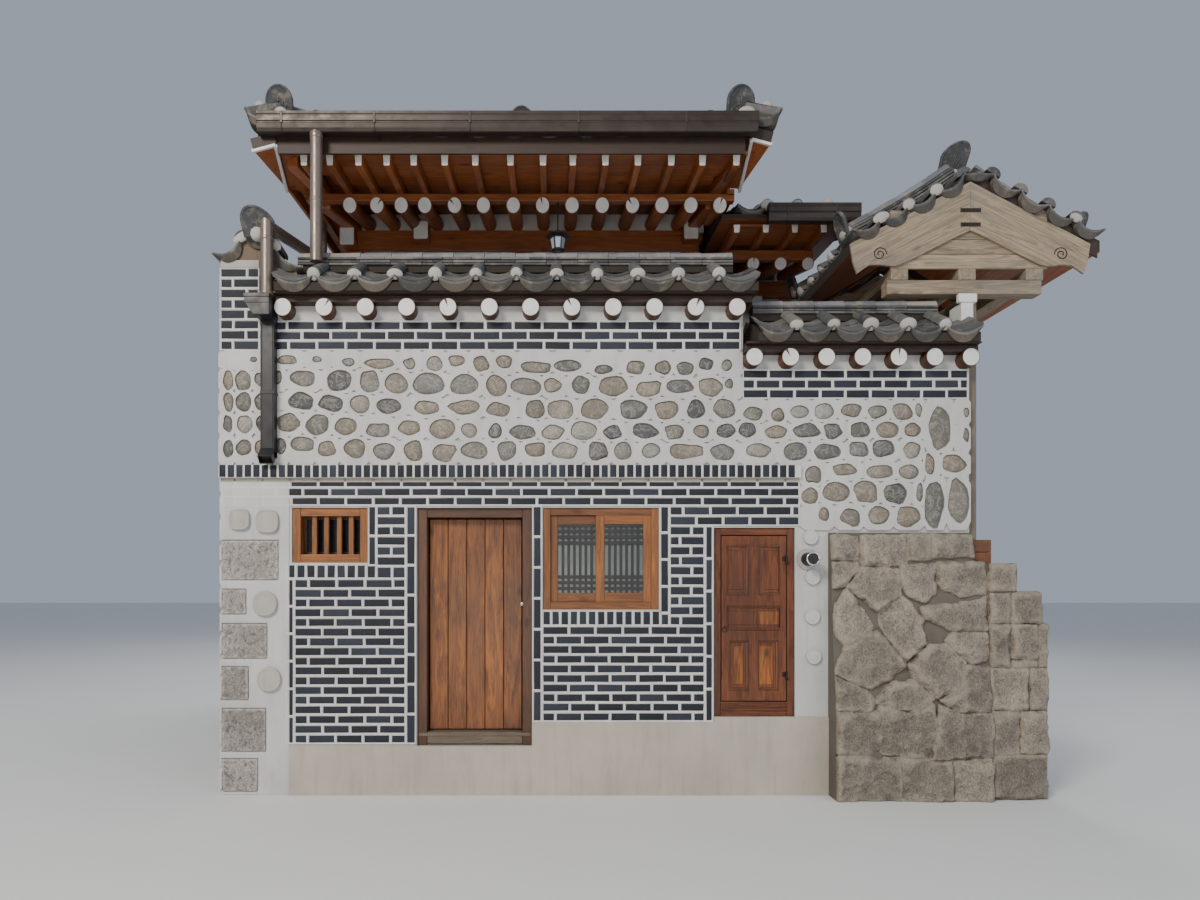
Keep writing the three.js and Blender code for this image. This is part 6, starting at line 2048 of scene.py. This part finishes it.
def scroll(place, mirror):
    """A carved scroll on a bargeboard: one dark line that winds in. It is a thin rod of the dark iron finish:
    painted shade for the carved groove.
    """
    path = []
    for i in range(31):
        angle = 3.3 * math.pi * i / 30
        reach = 0.065 * (0.2 + 0.8 * (1 - i / 30))
        path.append((place[0] + mirror * reach * math.cos(angle), place[1], place[2] + reach * math.sin(angle)))
    return tube(path, 0.0045, IRON, 6)


BARGE_THICK = 0.031
GABLE_MID = 3.385
# Half a bargeboard: distance from the gable's middle and height
BARGE_TOP = [(0.0, 5.600), (0.336, 5.425), (0.598, 5.285), (0.86, 5.155), (1.10, 5.030)]
BARGE_FOOT = [(1.075, 4.86), (1.037, 4.756), (0.99, 4.792), (0.924, 4.832), (0.86, 4.838), (0.822, 4.836),
              (0.75, 4.826), (0.69, 4.825), (0.64, 4.838), (0.523, 4.892), (0.336, 4.989), (0.15, 5.083),
              (0.0, 5.154)]


def bargeboard(y, side, out):
    """One leg of a gable's bargeboard, from the plane at y outwards: curved along its foot, lobed at its end."""
    plate = prism([(GABLE_MID + side * x, z) for x, z in BARGE_TOP + BARGE_FOOT], "y",
                  *sorted((y, y + out * BARGE_THICK)))
    x, y, z = points_of(ease(plate)).T
    angle = math.atan2(-0.55, 1.1) * side
    across = z * math.cos(angle) - x * math.sin(angle)
    return finish(plate, OLD_PINE, points=np.stack([y, across, x * math.cos(angle) + z * math.sin(angle)], 1))


def gate_line(offsets, down):
    """Points of [x, z] along the gate's roof, at a distance under its tiles' surface."""
    return [(GATE_X + x, float(gate_z(x)) - down) for x in offsets]


def build_gate_gable(node, y, out):
    """A gable seen from outside: planks, two bargeboards, their clamps and scrolls. Out is -1 at the street."""
    parts = [bargeboard(y, side, out) for side in (-1, 1)]
    upper = gate_line((-1.12, -0.7, -0.3, 0.0, 0.3, 0.7, 1.12), 0.05)
    # Painted shade: a nearly black board behind the bargeboards, seen in the gaps under the tiles
    backing = prism(upper + [(x, z - 0.16) for x, z in upper[::-1]], "y",
                    *sorted((y - out * 0.002, y - out * 0.02)))
    parts.append(finish(ease(backing, 0.002), SHADE_DARK_WOOD))
    reaches, heights = zip(*BARGE_TOP[::-1])
    level = GATE_BEAM_Z + 0.236
    while level < 5.30:
        head = level + 0.135
        half = min(0.72, 0.05 + float(np.interp(level, heights, reaches)))
        parts.append(board(span(GABLE_MID, half), sorted((y + out * 0.004, y - out * 0.028)),
                           (level, head - 0.003), OLD_PINE))
        level = head
    face = y + out * BARGE_THICK
    for level, reach in ((5.335, 0.093), (5.204, 0.091)):
        plate = ease(cube(span(GABLE_MID, reach), sorted((face, face + out * 0.006)), span(level, 0.018)), 0.003)
        work(plate, lambda side: abs(side.normal.x) > 0.9, shrink(1, 1, 1.5))
        parts.append(finish(plate, IRON))
        parts += [boss(0.006, 0.006, 10, (GABLE_MID + shift, face + out * 0.008, level), 0.002)
                  for shift in (-0.06, -0.03, 0.03, 0.06)]
    parts += [scroll((GABLE_MID + side * 0.831, face + out * 0.001, 4.934), -side) for side in (-1, 1)]
    dress(node + "_boards", parts, "old_pine", node)


def build_gate_roof():
    shares = (1.14, 0.7, 0.3, 0.0, -0.3, -0.7, -1.14)
    bed = prism(gate_line(shares[::-1], 0.15) + gate_line(shares, 0.045), "y", GATE_Y[0] + 0.085,
                GATE_Y[1] - 0.085)
    work(bed, facing(z=-1, limit=0.5), slot=1)
    parts = [finish(bed, CLAY_SHADE, PINE, order=(0, 2, 1))]
    for sign in (-1, 1):
        ends = sorted((sign * (GATE_Y[0] + 0.36), sign * (GATE_Y[1] - 0.36)))
        parts += tile_slope(gate_slope(sign), *ends, lambda u: GATE_REACH - 0.08 - EAVE_IN, GATE_FALL)
        parts += verge_row(gate_verge(sign), -GATE_REACH + 0.01, GATE_REACH - 0.01, 0.25, 0.42,
                           lambda u: u < -0.2 or u > 0.8)
    dress("gate_roof_tiles", parts, "tile", "gate_roof")
    y0, y1 = GATE_Y[0] + 0.6, GATE_Y[1] - 0.6
    foot = GATE_APEX - 0.02
    ridges = lay_ridge([(GATE_X, y, foot) for y in (y0, y1)], 0.19, 5, 0.03, round_top=0.07)
    for y, turn in ((y0 - 0.01, 0.0), (y1 + 0.01, math.pi)):
        ridges.append(end_tile((GATE_X, y, foot + 0.13), 0.27, 0.32, 0.3, turn, 0.25))
        ridges.append(saddle((GATE_X, y, foot + 0.15), 0.25, turn))
    for y in (GATE_Y[0] + 0.38, GATE_Y[1] - 0.38):
        for sign in (-1, 1):
            path = [(x, y, z) for x, z in gate_line([sign * x for x in (1.08, 0.8, 0.5, 0.25, 0.05)], -0.02)]
            ridges += lay_ridge(path, 0.16, 4, 0.028, core=0.15)
            x, y, z = path[0]
            ridges.append(end_tile((x, y, z + 0.05), 0.24, 0.26, 0.3, sign * QUARTER))
            ridges.append(saddle((x, y, z + 0.08), 0.21, sign * QUARTER))
    dress("gate_ridges", ridges, "tile", "gate_roof")


def build_gate_frame():
    front, inner = GATE_POST_Y
    rear = FACE + 2.3 - 0.24, FACE + 2.3 - 0.06
    sill_x = (GATE_POST_X[0], GATE_POST_X[1] + 0.135)
    parts = boards(OLD_PINE, 0.006, *[(GATE_POST_X, y, (2.32, 4.585)) for y in (GATE_POST_Y, rear)])
    parts += boards(WINDOW_WOOD, 0.006, *[(sill_x, (front - 0.002, rear[1]), z)
                                          for z in ((2.1005, 2.205), (2.207, 2.32))])
    parts.append(board(GATE_POST_X, (inner, rear[0]), (4.415, 4.575), OLD_PINE, 0.006))
    parts += boards(OLD_PINE, 0.008, *[((2.63, 4.05), (y, y + 0.14), (4.575, 4.705))
                                       for y in (front + 0.01, rear[0] + 0.03)])
    parts += boards(OLD_PINE, 0.006, *[((x, x + 0.16), (front + 0.01, rear[1] - 0.01), (4.706, 4.81))
                                       for x in (2.665, 3.285, 3.905)])
    parts.append(board((3.255, 3.425), (front - 0.055, front - 0.001), (4.480, 4.562), WHITE_PAINT, 0.010))
    parts.append(board((3.283, 3.395), (front - 0.045, inner), (4.310, 4.480), WHITE_PAINT, 0.008))
    dress("gate_timbers", parts, "old_pine", "gate_frame")
    x, y, z = box_of("gate_leaves")
    width = (y[1] - y[0]) / 9
    leaves = boards(OLD_PINE, 0.004, *[
        ((x[0], x[1] - 0.012), (y[0] + i * width + 0.001, y[0] + (i + 1) * width - 0.001), z) for i in range(9)])
    leaves += boards(OLD_PINE, 0.004, *[((x[1] - 0.014, x[1]), (y[0] + 0.02, y[1] - 0.02), span(level, 0.05))
                                        for level in (z[0] + 0.3, (z[0] + z[1]) / 2, z[1] - 0.3)])
    dress("gate_plank_leaves", leaves, "old_pine", "gate_leaves")


# Hall gables, rails and lattice doors
def build_hall_gable(node, y):
    foot = EAVE_TOP + rise(END_RISE, GABLE_SET) + 0.012
    width = 0.98 / 7
    parts = []
    for i in range(7):
        x = ROOF_MID - 0.49 + i * width
        reach = max(abs(x - ROOF_MID), abs(x + width - ROOF_MID))
        head = EAVE_TOP + rise(SIDE_RISE, ROOF_HALF - reach) - 0.03
        parts.append(board((x + 0.002, x + width - 0.002), (y, y + 0.028), (foot, max(head, foot + 0.03)),
                           OLD_PINE, 0.003))
    dress(node + "_boards", parts, "old_pine", node)


RAIL = 0.12


def build_hall_rails():
    """Rails across the plaster walls of the hall and the wing."""
    parts = []
    x0, x1 = HALL_X
    middle = (x0 + x1) / 2
    bays = [(x0 + POST, middle - POST / 2), (middle + POST / 2, x1 - POST)]
    for level in (TERRACE + 0.01, TERRACE + 0.95, TERRACE + 2.16):
        for k, (a, b) in enumerate(bays):
            for y in (HALL_Y[0], HALL_Y[1] - POST):
                if level == TERRACE + 0.95 and k == 0 and y == HALL_Y[0]:
                    continue
                parts.append(board((a, b), (y + 0.02, y + 0.18), (level, level + RAIL), PINE, 0.006))
        for x in (x0, x1 - POST):
            spans = [(HALL_Y[0] + POST, HALL_Y[1] - POST)]
            if x == x1 - POST and level < TERRACE + 2:
                spans = [(HALL_Y[0] + POST, WING["y0"] - 0.02), (WING["y1"] + 0.02, HALL_Y[1] - POST)]
            for run in spans:
                parts.append(board((x + 0.02, x + 0.18), run, (level, level + RAIL), PINE, 0.006))
    for level in (TERRACE + 0.01, TERRACE + 1.3, 5.40):
        z = (level, level + RAIL)
        parts += boards(PINE, 0.006, ((1.23, 2.45), (WING["y0"] - 0.018, WING["y0"] + 0.02), z),
                        ((1.23, 2.45), (WING["y1"] - 0.02, WING["y1"] + 0.018), z),
                        ((2.43, 2.468), (WING["y0"], WING["y1"]), z))
    for y in (WING["y0"] - 0.018, WING["y1"] - 0.142):
        parts.append(board((2.31, 2.468), (y, y + 0.16), (TERRACE + 0.001, 5.52), PINE, 0.006))
    dress("hall_rails", parts, "pine")


def build_hall_doors():
    x, y, z = box_of("hall_doors")
    parts = boards(WINDOW_WOOD, 0.004, (x, y, (z[0], z[0] + 0.08)), (x, y, (z[1] - 0.09, z[1])))
    width = (x[1] - x[0]) / 2
    foot, head = z[0] + 0.085, z[1] - 0.095
    panes = (foot + 0.485, head - 0.065)
    leaf = (y[0] + 0.02, y[0] + 0.06)
    front = leaf[0]
    for i in range(2):
        a, b = x[0] + i * width + 0.004, x[0] + (i + 1) * width - 0.004
        parts += boards(WINDOW_WOOD, 0.004, ((a, a + 0.07), leaf, (foot, head)),
                        ((b - 0.07, b), leaf, (foot, head)))
        parts += boards(WINDOW_WOOD, 0.004, *[((a + 0.07, b - 0.07), leaf, (level, level + 0.07))
                                              for level in (foot, foot + 0.42, head - 0.07)])
        across = (a + 0.065, b - 0.065)
        panel = cube(across, (front + 0.015, front + 0.03), (foot + 0.065, foot + 0.425))
        work(panel, facing(y=-1), inset(0.03, 0.006), inset(0.012, -0.006))
        sheet = cube(across, (front + 0.026, front + 0.03), panes)
        work(sheet, facing(y=-1), inset(0.01, 0.001))
        parts += [finish(panel, WINDOW_WOOD), finish(sheet, PAPER)]
        bars = [(span(a + 0.07 + (b - a - 0.14) * k / 7, 0.007), (front + 0.008, front + 0.024), panes)
                for k in range(1, 7)]
        bars += [((a + 0.068, b - 0.068), (front + 0.010, front + 0.022),
                  span(panes[0] + (head - foot - 0.55) * k / 14, 0.007)) for k in range(1, 14)]
        parts += boards(WINDOW_WOOD, 0.002, *bars)
    dress("hall_lattice_doors", parts, "window_wood", "hall_doors")


# Rainwater goods
GUTTER_OUTSIDE = [(-0.055, 0.180), (-0.055, 0.157), (-0.050, 0.151), (-0.050, 0.144), (-0.055, 0.139),
                  (-0.054, 0.094), (-0.046, 0.088), (-0.046, 0.080), (-0.050, 0.074), (-0.042, 0.034),
                  (-0.030, 0.006), (-0.018, 0.0), (0.044, 0.0), (0.044, 0.180)]
GUTTER_INSIDE = [(0.038, 0.180), (0.038, 0.006), (-0.016, 0.006), (-0.036, 0.038), (-0.044, 0.090),
                 (-0.049, 0.140), (-0.049, 0.180)]
HANGER_X = (-2.891, -2.051, -1.185, -0.201, 0.773)


def build_gutter(node, out, hangers):
    """A gutter in its construction piece's place, longer at its left, with its ends, straps and stays."""
    (x0, x1), (y, _), (z, _) = box_of(node)
    x0 -= out
    y += 0.055
    outside, inside = ([(y + a, z + b) for a, b in points] for points in (GUTTER_OUTSIDE, GUTTER_INSIDE))
    sheets = [prism(outside + inside, "x", x0, x1)]
    sheets += [prism(outside, "x", x, x + 0.004) for x in (x0, x1 - 0.004)]
    stays = []
    for x in hangers:
        strap = cube(span(x, 0.011), (y - 0.0575, y - 0.054), (z + 0.07, z + 0.179))
        work(strap, facing(y=-1), inset(0.003, 0.001))
        sheets += [strap, cube(span(x, 0.011), (y - 0.056, y + 0.044), (z + 0.171, z + 0.177))]
        stays.append(tube([(x, y - 0.050, z + 0.072), (x, y - 0.036, z + 0.012), (x + 0.012, y + 0.02, z - 0.006),
                           (x + 0.07, y + 0.21, z - 0.052)], 0.005, GUTTER_METAL, 8))
    parts = [finish(ease(sheet, 0.001, 1), GUTTER_METAL) for sheet in sheets]
    dress(node + "_run", parts + stays, "gutter_metal", node)


PIPE = 0.055


def collar(x, y, z, proud, height=0.035):
    """A ring round a downpipe, standing proud of it."""
    return finish(smooth(ease(cylinder(PIPE + proud, height, 32, (x, y, z)))), PIPE_METAL)


def build_pipes():
    x, y, z = box_of("downpipe_upper")
    x, y = sum(x) / 2, sum(y) / 2
    parts = [tube([(x, y, z[1]), (x, y, z[0])], PIPE, PIPE_METAL, 32), collar(x, y, z[1] - 0.03, 0.004, 0.05),
             collar(x, y, 5.395, 0.003, 0.028)]
    clip = cube(span(x, 0.012), (y + 0.045, y + 0.2), (5.37, 5.39))
    dress("downpipe_upper_run", parts + [finish(ease(clip, 0.003), PIPE_METAL)], "pipe_metal", "downpipe_upper")
    x, y, z = box_of("downpipe_return")
    x = sum(x) / 2
    near, far = FACE - 0.142, FACE + 1.56
    parts = [tube([(x, far, z[1]), (x, far, 5.47), (x, near, 5.11), (x, near, z[0])], PIPE, PIPE_METAL, 32),
             collar(x, near, 4.99, 0.004), collar(x, far, 5.62, 0.004), collar(x, near, 4.50, 0.006, 0.04)]
    dress("downpipe_return_run", parts, "pipe_metal", "downpipe_return")


def build_rainwater_head():
    x, (front, _) = box_of("rainwater_head")[:2]
    bowl = prism([(x[0] + 0.006, 4.45), (x[0] + 0.006, 4.40), (-3.075, 4.29), (x[1] - 0.004, 4.29),
                  (x[1] - 0.004, 4.45)], "y", front + 0.006, FACE - 0.002)
    rim = cube(x, (front, FACE - 0.001), (4.445, 4.480))
    work(rim, facing(z=1), inset(0.015), extrude(0, 0, -0.02))
    bead = cube((x[0] + 0.003, x[1] - 0.002), (front + 0.003, FACE - 0.001), (4.392, 4.404))
    drain = cube((-3.06, -2.935), (FACE - 0.10, FACE - 0.001), (3.05, 4.30))
    work(drain, facing(y=-1), inset(0.012, -0.002), inset(0.006, 0.002))
    parts = [ease(bowl), ease(rim), ease(bead, 0.003), ease(drain, 0.003, 1)]
    parts += [ease(cube((-3.064, -2.931), (FACE - 0.104, FACE - 0.001), (level, level + 0.03)), 0.003)
              for level in (4.245, 3.62, 3.10)]
    shoe = cube((-0.0625, 0.0625), (-0.045, 0.045), (0, 0.142))
    work(shoe, facing(z=1), inset(0.006), extrude(0, 0, -0.05))
    parts.append(put(ease(shoe, 0.003, 1), along((-2.9975, FACE - 0.05, 3.12), (-2.9975, FACE - 0.15, 3.02))))
    dress("rainwater_hopper", [finish(part, DARK_METAL) for part in parts], "dark_metal", "rainwater_head")


def build_lantern():
    x, y, (foot, top) = box_of("lantern")
    x, y = sum(x) / 2, sum(y) / 2

    def section(z0, z1, low, high):
        """A six-sided frustum between two heights over the lantern's foot."""
        return add(bpy.ops.mesh.primitive_cone_add, vertices=6, radius1=low, radius2=high, depth=z1 - z0,
                   location=(x, y, foot + (z0 + z1) / 2), rotation=(0, 0, math.pi / 6))

    body = section(0.018, 0.150, 0.066, 0.092)
    work(body, lambda face: abs(face.normal.z) < 0.6, inset(0.015, -0.006, use_individual=True), slot=1)
    parts = [finish(body, DARK_METAL, LANTERN_GLASS)]
    for shape in ((0, 0.02, 0.058, 0.072), (0.138, 0.158, 0.104, 0.140), (0.158, 0.207, 0.140, 0.022)):
        parts.append(finish(ease(section(*shape), 0.003, 1), DARK_METAL))
    parts += [torus(0.014, 0.004, (x, y, foot + 0.217), DARK_METAL),
              tube([(x, y, foot + 0.228), (x, y, top)], 0.006, DARK_METAL, 12),
              torus(0.012, 0.004, (x, y, top - 0.02), DARK_METAL)]
    dress("lantern_iron", parts, "dark_metal", "lantern")


# White edges and boards of the hall's eave corners: x, distance behind the street face, z of the two edges'
# three points and of two more points of the soffit
CORNER_EDGES = (
    ((-3.20, 0.08, 5.89), (-2.985, 0.08, 5.948), (-3.12, 0.81, 5.88), (-2.88, 0.35, 5.945), (-2.90, 1.0, 5.93)),
    ((1.575, 0.08, 5.95), (1.39, 0.08, 6.0), (1.448, 0.81, 5.88), (1.31, 0.35, 5.96), (1.32, 0.9, 5.94)),
)


def corner_soffit(corners):
    """The boards under an eave corner, just over its white edges."""
    def lifted(x, y, z):
        return x, y, z + 0.02 + min(corners, key=lambda corner: math.hypot(corner.x - x, corner.y - y)).z

    return finish(reshape(flat_shape([(corner.x, corner.y) for corner in corners], 0.012), lifted), PINE)


def build_corner_edges():
    parts = []
    up = Vector((0, 0, 0.060))
    for place in BOTH_ENDS:
        for corner in CORNER_EDGES:
            outer, inner, tail, tip, root = [Vector((x, place(FACE + y), z)) for x, y, z in corner]
            for start, end, height in ((outer, inner, 0.03), (inner, tail, 0.045)):
                parts.append(timber(start, end, 0.03, height, WHITE_PAINT, 0.004))
                # Painted shade: a nearly black timber over each white edge
                parts.append(timber(start + up, end + up, 0.034, 0.10, SHADE_DARK_WOOD, 0.004))
            parts.append(corner_soffit((outer, inner, tip, root, tail)))
        leg = [Vector((x, place(FACE + y), z)) for x, y, z in ((-3.10, 0.80, 5.945), (-3.03, 1.43, 5.875))]
        parts.append(timber(*leg, 0.03, 0.13, PINE, 0.004))
        ys = sorted((place(FACE + 0.09), place(FACE + 0.115)))
        # Painted shade: a nearly black board along the eave's front
        parts.append(board((-2.97, 1.335), ys, (5.874, 6.06), SHADE_DARK_WOOD, 0.004))
    parts.append(board((-3.045, -3.015), (FACE + 1.42, mirrored(FACE + 1.42)), (5.81, 5.985), PINE, 0.004))
    parts.append(board((-3.03, -2.90), (FACE + 0.9, mirrored(FACE + 0.9)), (5.935, 5.953), PINE, 0.003))
    dress("corner_edges", parts, "pine")


build_front_bricks()
build_stone_walls()
build_ledge()
build_pier()
build_rubble()
build_barred_window()
build_lattice_window()
build_plank_door()
build_panel_door()
build_vent()
build_caps()
build_cap_rafters()
build_hall_roof()
build_hall_gable("hall_gable_front", ROOF_FRONT + GABLE_SET - 0.029)
build_hall_gable("hall_gable_back", ROOF_FRONT + ROOF_DEPTH - GABLE_SET + 0.001)
build_hall_frame()
build_hall_rails()
build_hall_doors()
build_round_rafters()
build_flying_rafters("front", as_is)
build_flying_rafters("back", mirrored)
build_corner_edges()
build_wing_roof()
build_wing_timbers()
build_gate_roof()
build_gate_gable("gate_gable_front", FACE + 0.081, -1)
build_gate_gable("gate_gable_back", FACE + 2.219, 1)
build_gate_frame()
build_gutter("hall_gutter", 0.08, HANGER_X)
build_gutter("wing_gutter", 0.0, (1.95, 2.45))
build_pipes()
build_rainwater_head()
build_lantern()


def paint_node(node, material):
    """A better finish for a construction piece that stays in sight."""
    piece = frame["nodes"][node]
    piece.data.materials.clear()
    piece.data.materials.append(material)


for node in ("front_wall_left", "front_wall_middle", "front_wall_right", "lintel_left", "lintel_right",
             "street_wall_high", "street_wall_low", "side_wall_left", "side_wall_right", "back_wall",
             "hall_wall_front_left", "hall_wall_front_right", "hall_wall_back_left", "hall_wall_back_right",
             "hall_wall_left", "hall_wall_right", "wing_walls"):
    paint_node(node, PLASTER)
for node in ("street_plinth", "street_floor", "terrace_slab", "courtyard_tray"):
    paint_node(node, CONCRETE)
paint_node("rubble_base", RUBBLE_MORTAR)
paint_node("gate_steps", STEP_GRANITE)
